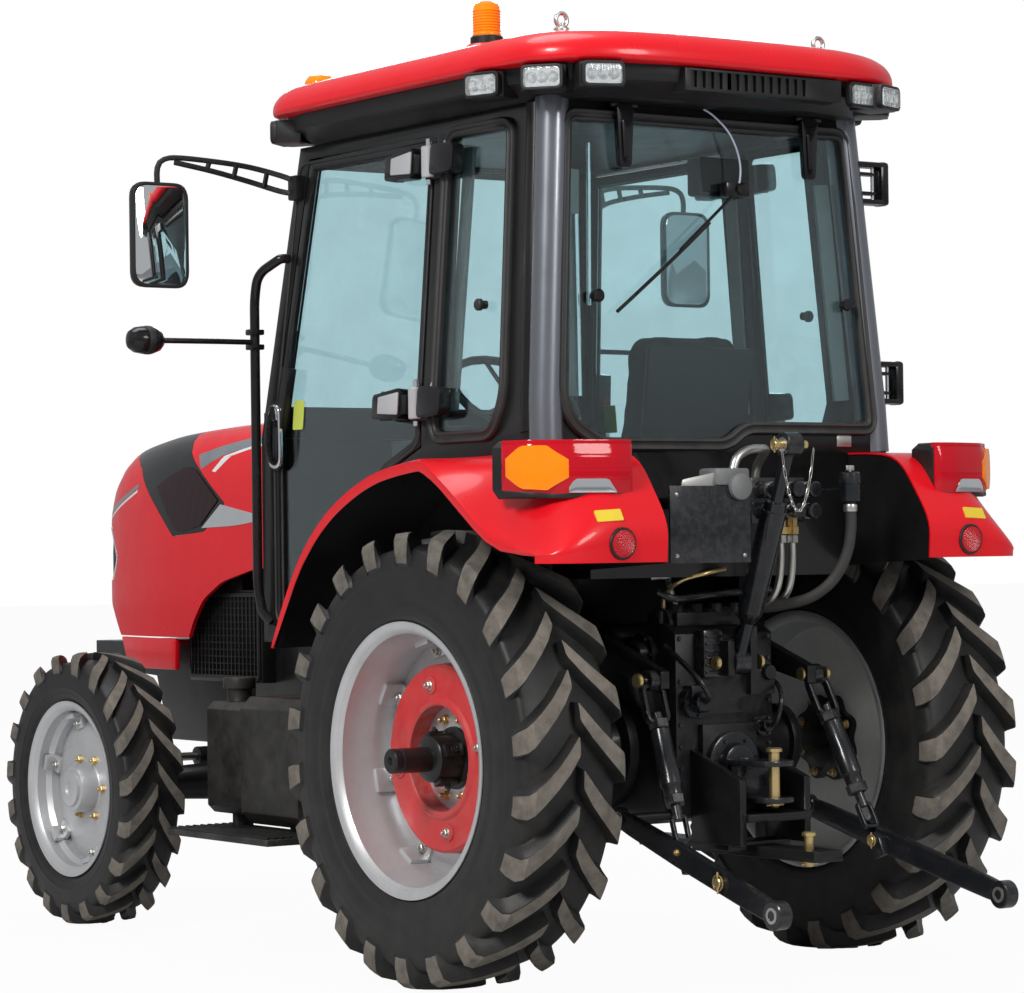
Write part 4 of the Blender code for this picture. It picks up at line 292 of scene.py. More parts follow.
# Finishes: colour and its darker blotch, roughness, metal, coat, grain per metre and depth, wear and dust
paleDust = (0.42, 0.37, 0.3)
bareSteel = (0.32, 0.31, 0.3)
finishes = {
    "redPaint": {"colour": (0.74, 0.004, 0.012), "blotch": (0.69, 0.003, 0.01), "rough": 0.3, "coat": 0.28,
                 "shine": 0.3, "grain": 420, "depth": 0.00001},
    "castRed": {"colour": (0.62, 0.012, 0.016), "blotch": (0.5, 0.01, 0.014), "rough": 0.42, "coat": 0.15,
                "grain": 500, "depth": 0.0005, "wear": 0.4, "dust": 0.12, "dustHeight": 1.2},
    "blackPaint": {"colour": (0.006, 0.006, 0.007), "blotch": (0.01, 0.01, 0.01), "rough": 0.3,
                   "coat": 0.12, "shine": 0.3, "grain": 600, "depth": 0.0001, "dust": 0.02,
                   "dustHeight": 1.0},
    "castIron": {"colour": (0.006, 0.006, 0.007), "blotch": (0.01, 0.01, 0.01), "rough": 0.34, "coat": 0.12,
                 "shine": 0.3, "grain": 330, "depth": 0.0005, "wear": 0.03, "dust": 0.01,
                 "dustHeight": 1.0},
    "glossBlack": {"colour": (0.006, 0.006, 0.008), "blotch": (0.009, 0.009, 0.01), "rough": 0.2,
                   "coat": 0.25, "shine": 0.25, "grain": 500, "depth": 0.00005, "dust": 0.03,
                   "dustHeight": 2.6},
    "blackPlastic": {"colour": (0.008, 0.008, 0.009), "blotch": (0.012, 0.012, 0.012), "rough": 0.4,
                     "shine": 0.35, "grain": 1500, "depth": 0.00025, "dust": 0.1, "dustHeight": 1.6},
    "greyPlastic": {"colour": (0.16, 0.165, 0.17), "blotch": (0.12, 0.122, 0.125), "rough": 0.42,
                    "grain": 1500, "depth": 0.0002, "dust": 0.06, "dustHeight": 2.6},
    "sealRubber": {"colour": (0.012, 0.012, 0.013), "blotch": (0.02, 0.02, 0.02), "rough": 0.5,
                   "grain": 900, "depth": 0.0002, "dust": 0.08, "dustHeight": 2.6},
    "tyreRubber": {"colour": (0.008, 0.008, 0.009), "blotch": (0.013, 0.013, 0.013), "rough": 0.4,
                   "shine": 0.32, "grain": 700, "depth": 0.0004, "dust": 0.03, "dustHeight": 0.7},
    "wornRubber": {"colour": (0.15, 0.135, 0.118), "blotch": (0.085, 0.076, 0.068), "rough": 0.86,
                   "shine": 0.25, "grain": 260, "depth": 0.0012, "broad": 26, "dust": 0.25,
                   "dustHeight": 1.4},
    "wheelSilver": {"colour": (0.6, 0.61, 0.63), "blotch": (0.52, 0.53, 0.55), "rough": 0.34, "metal": 0.55,
                    "coat": 0.25, "grain": 800, "depth": 0.00012, "dust": 0.18, "dustHeight": 1.1},
    # The disc's back: a paler, non-metal copy of the wheel silver, as painted light where the wheel's inner
    # side lies in shade
    "paintedLightDiscBack": {"colour": (0.78, 0.78, 0.75), "blotch": (0.68, 0.68, 0.66), "rough": 0.45, "grain": 800,
                 "depth": 0.00012, "dust": 0.15, "dustHeight": 1.1},
    "zincPlate": {"colour": (0.62, 0.61, 0.58), "blotch": (0.5, 0.49, 0.46), "rough": 0.3, "metal": 0.95,
                  "grain": 900, "depth": 0.0001, "dust": 0.1, "dustHeight": 1.2},
    "yellowZinc": {"colour": (0.72, 0.55, 0.22), "blotch": (0.62, 0.45, 0.25), "rough": 0.3, "metal": 0.92,
                   "grain": 900, "depth": 0.0001, "dust": 0.1, "dustHeight": 1.2},
    "chrome": {"colour": (0.86, 0.87, 0.88), "blotch": (0.8, 0.81, 0.83), "rough": 0.07, "metal": 1.0,
               "grain": 500, "depth": 0.00003},
    "mirrorGlass": {"colour": (0.9, 0.92, 0.93), "blotch": (0.87, 0.89, 0.9), "rough": 0.015, "metal": 1.0,
                    "grain": 60, "depth": 0.00001},
    "hoseRubber": {"colour": (0.015, 0.015, 0.016), "blotch": (0.028, 0.027, 0.026), "rough": 0.6,
                   "grain": 1800, "depth": 0.0004, "dust": 0.2, "dustHeight": 1.4},
    "seatCloth": {"colour": (0.02, 0.021, 0.024), "blotch": (0.034, 0.035, 0.038), "rough": 0.82,
                  "grain": 1300, "depth": 0.0006, "dust": 0.04, "dustHeight": 1.9},
    "stripeGrey": {"colour": (0.2, 0.22, 0.24), "blotch": (0.16, 0.18, 0.2), "rough": 0.3, "coat": 0.5,
                   "grain": 500, "depth": 0.00004},
    "stripeWhite": {"colour": (0.8, 0.8, 0.8), "blotch": (0.74, 0.74, 0.74), "rough": 0.3, "coat": 0.5,
                    "grain": 500, "depth": 0.00004},
    "plainYellow": {"colour": (0.8, 0.6, 0.03), "blotch": (0.74, 0.54, 0.03), "rough": 0.4, "coat": 0.2,
                    "grain": 700, "depth": 0.00004},
    "headLining": {"colour": (0.3, 0.3, 0.29), "blotch": (0.25, 0.25, 0.245), "rough": 0.9,
                   "grain": 1100, "depth": 0.0005},
    "postPaint": {"colour": (0.17, 0.18, 0.205), "blotch": (0.16, 0.17, 0.195), "rough": 0.3, "metal": 0.7,
                  "coat": 0.6, "grain": 500, "depth": 0.00001},
    "hingeSilver": {"colour": (0.5, 0.51, 0.53), "blotch": (0.45, 0.46, 0.48), "rough": 0.3, "metal": 0.2,
                    "coat": 0.4, "grain": 700, "depth": 0.00008},
    "paleHose": {"colour": (0.62, 0.68, 0.8), "blotch": (0.55, 0.62, 0.74), "rough": 0.3, "grain": 400,
                 "depth": 0.00005},
    "paleGreen": {"colour": (0.52, 0.6, 0.1), "blotch": (0.48, 0.56, 0.09), "rough": 0.4, "grain": 400,
                  "depth": 0.00002},
    "bulbGlow": {"colour": (0.9, 0.9, 0.88), "blotch": (0.8, 0.8, 0.8), "rough": 0.12, "grain": 400,
                 "depth": 0.00005},
    "hitchBlack": {"colour": (0.006, 0.007, 0.01), "blotch": (0.009, 0.01, 0.012), "rough": 0.24,
                   "coat": 0.3, "shine": 0.35, "grain": 500, "depth": 0.0001, "wear": 0.1, "dust": 0.02,
                   "dustHeight": 1.0},
}


def addBump(tree, shader, height, depth):
    bump = tree.nodes.new("ShaderNodeBump")
    bump.inputs["Distance"].default_value = depth
    tree.links.new(height, bump.inputs["Height"])
    tree.links.new(bump.outputs[0], shader.inputs["Normal"])


def paintMaterial(name, finish):
    material, tree, shader = newMaterial(name)
    grain = useGroup(tree, "grain", Fine_Scale=float(finish["grain"]),
                     Broad_Scale=float(finish.get("broad", 9)))
    colour = blendColour(tree, grain["Broad"], finish["colour"], finish["blotch"])
    rough = calc(tree, "ADD", calc(tree, "MULTIPLY", grain["Broad"], 0.1), finish["rough"] - 0.03)
    if finish.get("wear"):
        mask = useGroup(tree, "wear", Amount=finish["wear"])["Mask"]
        colour = blendColour(tree, mask, colour, bareSteel)
    if finish.get("dust"):
        mask = useGroup(tree, "dust", Amount=finish["dust"], Height=finish["dustHeight"])["Mask"]
        colour = blendColour(tree, mask, colour, paleDust)
        rough = calc(tree, "ADD", rough, calc(tree, "MULTIPLY", mask, 0.5), True)
    addBump(tree, shader, grain["Fine"], finish["depth"])
    for label, value in (("Base Color", colour), ("Roughness", rough),
                         ("Metallic", finish.get("metal", 0.0)), ("Coat Weight", finish.get("coat", 0.0)),
                         ("Coat Roughness", 0.06), ("Specular IOR Level", finish.get("shine", 0.5))):
        plug(tree, shader.inputs[label], value)
    return material


# Clear and coloured lenses, and the panes: colour, roughness, how much light goes through, ribs
lenses = {
    "tintedPane": {"colour": (0.62, 0.79, 0.82), "rough": 0.004, "through": 1.0, "ribs": None},
    "clearLens": {"colour": (0.92, 0.95, 0.96), "rough": 0.03, "through": 0.85, "ribs": (0, 1, 0, 420)},
    "redLens": {"colour": (0.52, 0.002, 0.012), "rough": 0.07, "through": 0.0, "shine": 0.4,
                "ribs": (0, 0, 1, 520), "ribDepth": 0.00012},
    "amberLens": {"colour": (1.0, 0.26, 0.004), "rough": 0.1, "through": 0.0, "shine": 0.4,
                  "ribs": (0, 1, 0.6, 460), "ribDepth": 0.00012},
    "smokedLens": {"colour": (0.018, 0.004, 0.006), "shine": 0.3, "rough": 0.05, "through": 0.0,
                   "ribs": (1, 0, 0.4, 120), "ribDepth": 0.00015},
    "reflector": {"colour": (0.55, 0.004, 0.012), "rough": 0.12, "through": 0.1, "ribs": (0, 1, 1, 900)},
}


def lensMaterial(name, lens):
    material, tree, shader = newMaterial(name)
    grain = useGroup(tree, "grain", Fine_Scale=120.0, Broad_Scale=5.0)
    dull = tuple(c * 0.93 for c in lens["colour"])
    rough = calc(tree, "ADD", calc(tree, "MULTIPLY", grain["Broad"], 0.02), lens["rough"])
    for label, value in (("Base Color", blendColour(tree, grain["Broad"], lens["colour"], dull)),
                         ("Roughness", rough), ("Transmission Weight", lens["through"]), ("IOR", 1.45),
                         ("Specular IOR Level", lens.get("shine", 0.5))):
        plug(tree, shader.inputs[label], value)
    if lens["ribs"]:
        x, y, z, count = (float(v) for v in lens["ribs"])
        ribs = useGroup(tree, "ribs", Across_X=x, Across_Y=y, Across_Z=z, Count=count)
        addBump(tree, shader, ribs["Height"], lens.get("ribDepth", 0.0012))
    return material


materials = {name: paintMaterial(name, finish) for name, finish in finishes.items()}
materials.update({name: lensMaterial(name, lens) for name, lens in lenses.items()})
print("materials:", len(materials))


# Mesh helpers: each adds a closed shape to a bmesh

def addRings(mesh, loops, closed=False, slot=0, topSlot=None, topRows=()):
    # Quads between loops of equal length, capped at the ends unless the loops close on themselves
    count = len(loops[0])
    points = [p for loop in loops for p in loop]
    made = [mesh.verts.new(p) for p in points]
    total = len(loops)
    for j in range(total if closed else total - 1):
        n = (j + 1) % total
        for i in range(count):
            k = (i + 1) % count
            face = mesh.faces.new((made[j * count + i], made[j * count + k],
                                   made[n * count + k], made[n * count + i]))
            face.material_index = topSlot if i in topRows else slot
    if not closed:
        mesh.faces.new(list(reversed(made[:count]))).material_index = slot
        mesh.faces.new(made[(total - 1) * count:]).material_index = slot


def axes(axis):
    axis = Vector(axis).normalized()
    side = axis.cross(Vector((0, 0, 1)))
    if side.length < 0.05:
        side = axis.cross(Vector((1, 0, 0)))
    side.normalize()
    return axis, side, axis.cross(side)


def circle(radius, count, other=None):
    # A circle, or an ellipse with another radius, as pairs
    turns = [2 * math.pi * k / count for k in range(count)]
    return [(math.cos(t) * radius, math.sin(t) * (other or radius)) for t in turns]


def addLathe(mesh, profile, segments, centre=(0, 0, 0), axis=(0, 1, 0), slot=0, closed=True):
    # Turns a closed profile of (along, radius) about an axis
    axis, a, b = axes(axis)
    unit = circle(1, segments)
    loops = [[Vector(centre) + axis * s + (a * c + b * d) * r for c, d in unit] for s, r in profile]
    addRings(mesh, loops, closed, slot)


def addTurned(mesh, profile, segments, centre=(0, 0, 0), axis=(0, 1, 0), slot=0):
    # The same for an open profile, capped at both ends
    addLathe(mesh, profile, segments, centre, axis, slot, False)


def smoothLine(points, count, closed=False):
    # The points' smooth curve, at even shares of its length
    points = [Vector(p) for p in points]
    total = len(points)
    dense = []
    spans = total if closed else total - 1
    for i in range(spans):
        p1, p2 = points[i], points[(i + 1) % total]
        p0 = points[i - 1] if closed or i > 0 else p1 * 2 - p2
        p3 = points[(i + 2) % total] if closed or i + 2 < total else p2 * 2 - p1
        for k in range(12):
            t = k / 12
            dense.append(0.5 * ((2 * p1) + (p2 - p0) * t + (2 * p0 - 5 * p1 + 4 * p2 - p3) * t * t
                                + (3 * p1 - p0 - 3 * p2 + p3) * t * t * t))
    dense.append(points[0] if closed else points[-1])
    reach = [0.0]
    for a, b in zip(dense, dense[1:]):
        reach.append(reach[-1] + (b - a).length)
    result = []
    at = 0
    for i in range(count):
        goal = reach[-1] * i / (count if closed else count - 1)
        while at < len(dense) - 2 and reach[at + 1] < goal:
            at += 1
        span = reach[at + 1] - reach[at] or 1
        result.append(dense[at].lerp(dense[at + 1], min(1, (goal - reach[at]) / span)))
    return result


def rounded(points, radius, steps=5, closed=True):
    # A polyline with its corners turned into arcs
    points = [Vector(p) for p in points]
    result = []
    for i, p in enumerate(points):
        if not closed and i in (0, len(points) - 1):
            result.append(p)
            continue
        before, after = points[i - 1], points[(i + 1) % len(points)]
        cut = min(radius, (before - p).length * 0.45, (after - p).length * 0.45)
        start, end = p + (before - p).normalized() * cut, p + (after - p).normalized() * cut
        for k in range(steps + 1):
            t = k / steps
            result.append(start * (1 - t) ** 2 + p * 2 * t * (1 - t) + end * t * t)
    return result


def softLine(points, radius, steps=5):
    # A flat closed line of pairs with its corners turned into arcs
    return [(p.x, p.y) for p in rounded([(u, v, 0) for u, v in points], radius, steps)]


def softRect(low, high, radius, steps=5):
    return softLine([low, (high[0], low[1]), high, (low[0], high[1])], radius, steps)


def addSweep(mesh, path, section, up, closed=False, slot=0):
    # Carries a section of (side, up) along a path, upright to one direction
    count = len(path)
    loops = []
    for i, p in enumerate(path):
        before = path[i - 1] if closed or i > 0 else p
        after = path[(i + 1) % count] if closed or i < count - 1 else p
        along = (after - before).normalized()
        side = along.cross(Vector(up)).normalized()
        rise = side.cross(along)
        loops.append([p + side * u + rise * v for u, v in section])
    addRings(mesh, loops, closed, slot)


def addTube(mesh, path, radius, sides=12, slot=0):
    # A round tube along a path; the radius may be one value or one for each point
    path = [Vector(p) for p in path]
    radii = radius if isinstance(radius, (list, tuple)) else [radius] * len(path)
    along, a, b = axes(path[1] - path[0])
    loops = []
    for i, p in enumerate(path):
        nextAlong = (path[min(i + 1, len(path) - 1)] - path[max(i - 1, 0)]).normalized()
        turn = along.rotation_difference(nextAlong)
        a, b, along = turn @ a, turn @ b, nextAlong
        loops.append([p + (a * u + b * v) * radii[i] for u, v in circle(1, sides)])
    addRings(mesh, loops, False, slot)


def softBox(width, height, bevel=0.3):
    # A rounded rectangle as a section, its corners cut by a share of the shorter side
    return softRect((-width / 2, -height / 2), (width / 2, height / 2), min(width, height) * bevel, 3)


def addSolid(mesh, outline, plane, low, high, bevel=0.0, slot=0, place=None):
    # A prism with bevelled edges. Plane names the outline's axes; place is a matrix set on it after.
    work = bmesh.new()
    order = {"xz": (0, 2, 1), "xy": (0, 1, 2), "yz": (1, 2, 0)}[plane]
    loops = []
    for w in (low, high):
        loop = []
        for u, v in outline:
            p = [0.0, 0.0, 0.0]
            p[order[0]], p[order[1]], p[order[2]] = u, v, w
            loop.append(Vector(p))
        loops.append(loop)
    addRings(work, loops)
    bmesh.ops.recalc_face_normals(work, faces=work.faces)
    if bevel:
        edges = [e for e in work.edges if len(e.link_faces) == 2 and e.calc_face_angle(0) > 0.35]
        bmesh.ops.bevel(work, geom=edges, offset=bevel, segments=2, profile=0.5, affect="EDGES",
                        clamp_overlap=True)
    if place:
        bmesh.ops.transform(work, matrix=place, verts=work.verts)
    joinInto(mesh, work, slot)


def joinInto(mesh, work, slot=None):
    work.verts.index_update()
    made = [mesh.verts.new(v.co) for v in work.verts]
    for face in work.faces:
        copy = mesh.faces.new([made[v.index] for v in face.verts])
        copy.material_index = face.material_index if slot is None else slot
    work.free()


def addBlock(mesh, low, high, bevel=0.003, slot=0, place=None):
    addSolid(mesh, [(low[0], low[2]), (high[0], low[2]), (high[0], high[2]), (low[0], high[2])], "xz",
             low[1], high[1], bevel, slot, place)


def addBolt(mesh, place, axis, size, slot=0, stud=0.6):
    # A hexagon nut on a washer, with the end of its stud
    axis, a, b = axes(axis)
    place = Vector(place)
    addTurned(mesh, [(-size * 0.2, size * 1.15), (size * 0.12, size * 1.15), (size * 0.18, size * 1.08)],
              16, place, axis, slot)
    flats = [(size * 0.15, 0.94), (size * 0.2, 1.0), (size * 0.8, 1.0), (size * 0.92, 0.88)]
    loops = [[place + axis * s + a * u + b * v for u, v in circle(size * 0.9 * r, 6)] for s, r in flats]
    addRings(mesh, loops, False, slot)
    if stud:
        addTurned(mesh, [(size * 0.8, size * 0.45), (size * (0.92 + stud), size * 0.45),
                         (size * (1 + stud), size * 0.38)], 10, place, axis, slot)


def handed(mesh, side):
    # The mesh as it is for the left side, mirrored for the right
    if side < 0:
        for v in mesh.verts:
            v.co.y = -v.co.y
        bmesh.ops.reverse_faces(mesh, faces=mesh.faces)
    return mesh


def bothSides(mesh):
    joinInto(mesh, handed(mesh.copy(), -1))
    return mesh


def makePiece(name, mesh, finishNames, body="chassis", replaced=(), angle=34, place=None, shift=True):
    # Turns a bmesh into a piece of the scene, riding on its body
    bmesh.ops.recalc_face_normals(mesh, faces=mesh.faces)
    data = bpy.data.meshes.new(name)
    mesh.to_mesh(data)
    mesh.free()
    if shift and place is None:
        data.transform(Matrix.Translation(datum))
    item = bpy.data.objects.new(name, data)
    scene.collection.objects.link(item)
    if place is not None:
        item.location = Vector(place) + datum
    for finish in [finishNames] if isinstance(finishNames, str) else finishNames:
        data.materials.append(materials[finish])
    data.shade_smooth()
    data.set_sharp_from_angle(angle=math.radians(angle))
    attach(item, body)
    if replaced:
        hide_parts(*([replaced] if isinstance(replaced, str) else replaced))
    return item


def twoSided(build):
    # Calls a maker for the left side and again, mirrored, for the right
    for hand, side in (("left", 1), ("right", -1)):
        build(hand, side)


def sideHalf(z):
    slope = (cab["halfTop"] - cab["halfBelt"]) / (cab["top"] - cab["belt"])
    return cab["halfBelt"] + max(0, z - cab["belt"]) * slope


def rearPlane(z):
    slope = (cab["rearTop"] - cab["rearBelt"]) / (cab["top"] - cab["belt"])
    return cab["rearBelt"] + (z - cab["belt"]) * slope


def frontPlane(z):
    slope = (cab["frontTop"] - cab["frontBelt"]) / (cab["top"] - cab["belt"])
    return cab["frontBelt"] + max(0, z - cab["belt"]) * slope


# Carried-over nodes: a bevelled copy stands for each node whose own edges are sharp

bodyOf = {name: body_of(item)[0] for name, item in cadNodes.items()}


def softenNode(node, finish, bevel, weld=0.0004, angle=30):
    source = cadNodes[node]
    mesh = bmesh.new()
    mesh.from_mesh(source.data)
    mesh.transform(source.matrix_world)
    bmesh.ops.remove_doubles(mesh, verts=mesh.verts, dist=weld)
    bmesh.ops.dissolve_limit(mesh, angle_limit=math.radians(1.2), verts=mesh.verts, edges=mesh.edges)
    bmesh.ops.dissolve_degenerate(mesh, edges=mesh.edges, dist=weld)
    item = makePiece(node.replace("_", "") + "Finish", mesh, finish, bodyOf[node], node, angle, None, False)
    change = item.modifiers.new("edges", "BEVEL")
    change.width = bevel
    change.segments = 2
    change.limit_method = "ANGLE"
    change.angle_limit = math.radians(angle)
    change.use_clamp_overlap = True
    bakeModifiers(item)


def bakeModifiers(item, angle=34):
    bpy.context.view_layer.update()
    made = bpy.data.meshes.new_from_object(item.evaluated_get(bpy.context.evaluated_depsgraph_get()))
    item.modifiers.clear()
    old = item.data
    item.data = made
    bpy.data.meshes.remove(old)
    made.shade_smooth()
    made.set_sharp_from_angle(angle=math.radians(angle))


# Columns: node, finish, bevel
for row in (("transmission_housing", "castIron", 0.004), ("engine_block", "castIron", 0.004),
            ("front_support", "castIron", 0.005), ("radiator", "blackPaint", 0.002),
            ("front_axle_beam", "castIron", 0.003), ("knuckle_left", "castIron", 0.003),
            ("knuckle_right", "castIron", 0.003), ("steering_rod", "zincPlate", 0.0015),
            ("cab_frame", "blackPaint", 0.003), ("door_left", "blackPaint", 0.003),
            ("door_right", "blackPaint", 0.003), ("fuel_tank", "blackPlastic", 0.006),
            ("battery_box", "blackPlastic", 0.006), ("dashboard", "greyPlastic", 0.006),
            ("steering_wheel", "blackPlastic", 0.0015), ("roof_band", "blackPlastic", 0.003),
            ("grille", "blackPlastic", 0.0015), ("nose_valance", "redPaint", 0.003),
            ("lift_arms", "blackPaint", 0.003), ("hitch_frame", "blackPaint", 0.003),
            ("tail_lamp_left", "blackPlastic", 0.004), ("tail_lamp_right", "blackPlastic", 0.004)):
    softenNode(*row)
for node in ("windscreen", "rear_window", "quarter_window_left", "quarter_window_right", "door_glass_left",
             "door_glass_right"):
    cadNodes[node].data.materials[0] = materials["tintedPane"]
print("carried-over nodes are finished")

# Tyres and rims, in the wheel's own frame: the axle along Y, outboard at +Y

halfTrack = 0.7
tyreSizes = {
    "rear": {"along": 0.0, "radius": 0.63, "section": 0.315, "rim": 0.355, "flange": 0.026, "rimWidth": 0.3,
             "lug": 0.036, "lugs": 22},
    "front": {"along": 2.1, "radius": 0.4425, "section": 0.21, "rim": 0.262, "flange": 0.024,
              "rimWidth": 0.19, "lug": 0.026, "lugs": 19},
}


def wheelPlace(size, side):
    return size["along"], side * halfTrack, size["radius"]


def carcassHalf(size):
    root = size["radius"] - size["lug"]
    tread, seat = size["section"] * 0.47, size["rimWidth"] / 2 - 0.009
    deep = size["radius"] - size["rim"]
    bulge = size["section"] / 2
    return [(0, root), (tread * 0.5, root - size["lug"] * 0.12), (tread * 0.88, root - size["lug"] * 0.42),
            (tread * 0.99, root - size["lug"] * 0.85), (bulge * 0.975, root - size["lug"] * 1.9),
            (bulge * 0.995, size["rim"] + deep * 0.46), (bulge * 0.985, size["rim"] + deep * 0.33),
            (seat + size["flange"] * 0.42, size["rim"] + size["flange"] * 1.55),
            (seat, size["rim"] + size["flange"] * 0.9), (seat, size["rim"] + 0.0005)]


def tyreMesh(size, segments):
    mesh = bmesh.new()
    half = smoothLine([(y, r, 0) for y, r in carcassHalf(size)], 46)
    profile = []
    for p in half:
        y, r = p.x, p.y
        share = (r - size["rim"]) / (size["radius"] - size["rim"])
        # Raised rings on the sidewall
        for at, wide, high in ((0.24, 0.018, 0.0022), (0.36, 0.01, 0.0016), (0.56, 0.012, 0.0018)):
            y += high * math.exp(-((share - at) / wide) ** 2) if share < 0.7 else 0
        profile.append((y, r))
    profile = profile + [(-y, r) for y, r in reversed(profile[1:])]
    addLathe(mesh, profile, segments)
    pitch = 2 * math.pi / size["lugs"]
    root, tread, lug = size["radius"] - size["lug"], size["section"] * 0.47, size["lug"]
    # Columns: across and radius at the lug's top, then at its foot, slant in pitches, width share
    rows = [(0.03, size["radius"], 0.03, root - lug * 0.1, -0.03, 0.72),
            (0.05, size["radius"], 0.05, root - lug * 0.1, 0.0, 0.9),
            (0.25, size["radius"] - lug * 0.02, 0.25, root - lug * 0.16, 0.22, 1.0),
            (0.5, size["radius"] - lug * 0.06, 0.5, root - lug * 0.24, 0.45, 1.0),
            (0.75, size["radius"] - lug * 0.13, 0.75, root - lug * 0.42, 0.65, 1.06),
            (0.95, size["radius"] - lug * 0.22, 0.93, root - lug * 0.72, 0.8, 1.14),
            (1.04, size["radius"] - lug * 0.62, 0.975, root - lug * 1.1, 0.87, 1.14),
            (1.075, root - lug * 0.7, 0.995, root - lug * 1.6, 0.91, 1.05),
            (1.065, root - lug * 1.5, 1.0, root - lug * 1.9, 0.93, 0.9)]
    wide = size["radius"] * pitch * 0.17
    for hand in (1, -1):
        for k in range(size["lugs"]):
            base = (k + 0.18 + (0.5 if hand < 0 else 0)) * pitch - math.pi / 2
            jitter = random.uniform(-0.004, 0.004)
            loops = []
            for topY, topR, footY, footR, slant, share in rows:
                angle = base + slant * pitch + jitter
                top, foot = wide * share, wide * share * 1.42
                # Section of the lug: foot, flank, worn top
                points = [(-foot, footY, footR - 0.004),
                          (-top * 1.16, (footY + topY) / 2, (footR * 0.6 + topR * 0.4)),
                          (-top * 1.03, topY, topR - 0.005), (-top * 0.92, topY, topR - 0.0006),
                          (0, topY, topR), (top * 0.92, topY, topR - 0.0006),
                          (top * 1.03, topY, topR - 0.005),
                          (top * 1.16, (footY + topY) / 2, (footR * 0.6 + topR * 0.4)),
                          (foot, footY, footR - 0.004), (0, footY * 0.94, footR - 0.012)]
                loop = []
                for along, y, r in points:
                    a = angle + along / r
                    loop.append(Vector((r * math.cos(a), hand * y * tread, r * math.sin(a))))
                loops.append(loop)
            addRings(mesh, loops, False, 0, 1, (3, 4))
    return mesh


def placeTyres():
    for kind, size in tyreSizes.items():
        for hand, side in (("left", 1), ("right", -1)):
            mesh = handed(tyreMesh(size, 132 if kind == "rear" else 108), side)
            makePiece(kind + "Tyre." + hand, mesh, ["tyreRubber", "wornRubber"], kind + "_wheel_" + hand,
                      kind + "_tyre_" + hand, 32, wheelPlace(size, side))


placeTyres()
print("tyres are on")


def rimRing(size, drop):
    radius, flange, half = size["rim"], size["flange"], size["rimWidth"] / 2
    outer = [(half, radius + flange * 0.96), (half - 0.003, radius + flange),
             (half - 0.008, radius + flange * 0.9), (half - 0.009, radius + 0.006),
             (half - 0.02, radius + 0.001), (half * 0.45, radius), (half * 0.3, radius - drop)]
    inner = [(half * 0.3, radius - drop - 0.009), (half * 0.47, radius - 0.009),
             (half - 0.02, radius - 0.008), (half - 0.006, radius + 0.003), (half, radius + flange * 0.7)]
    over = outer + [(-y, r) for y, r in reversed(outer)]
    return over + [(-y, r) for y, r in reversed(inner)] + inner


rearWheel = {"disc": -0.036, "thick": 0.012, "weightOut": 0.263, "weightIn": 0.1465, "weightDeep": 0.06,
             "nuts": 8, "nutRing": 0.112, "brackets": 8, "lobe": 0.134, "dip": 0.02, "hubEnd": 0.071,
             "shaft": 0.0345, "shaftEnd": 0.194}


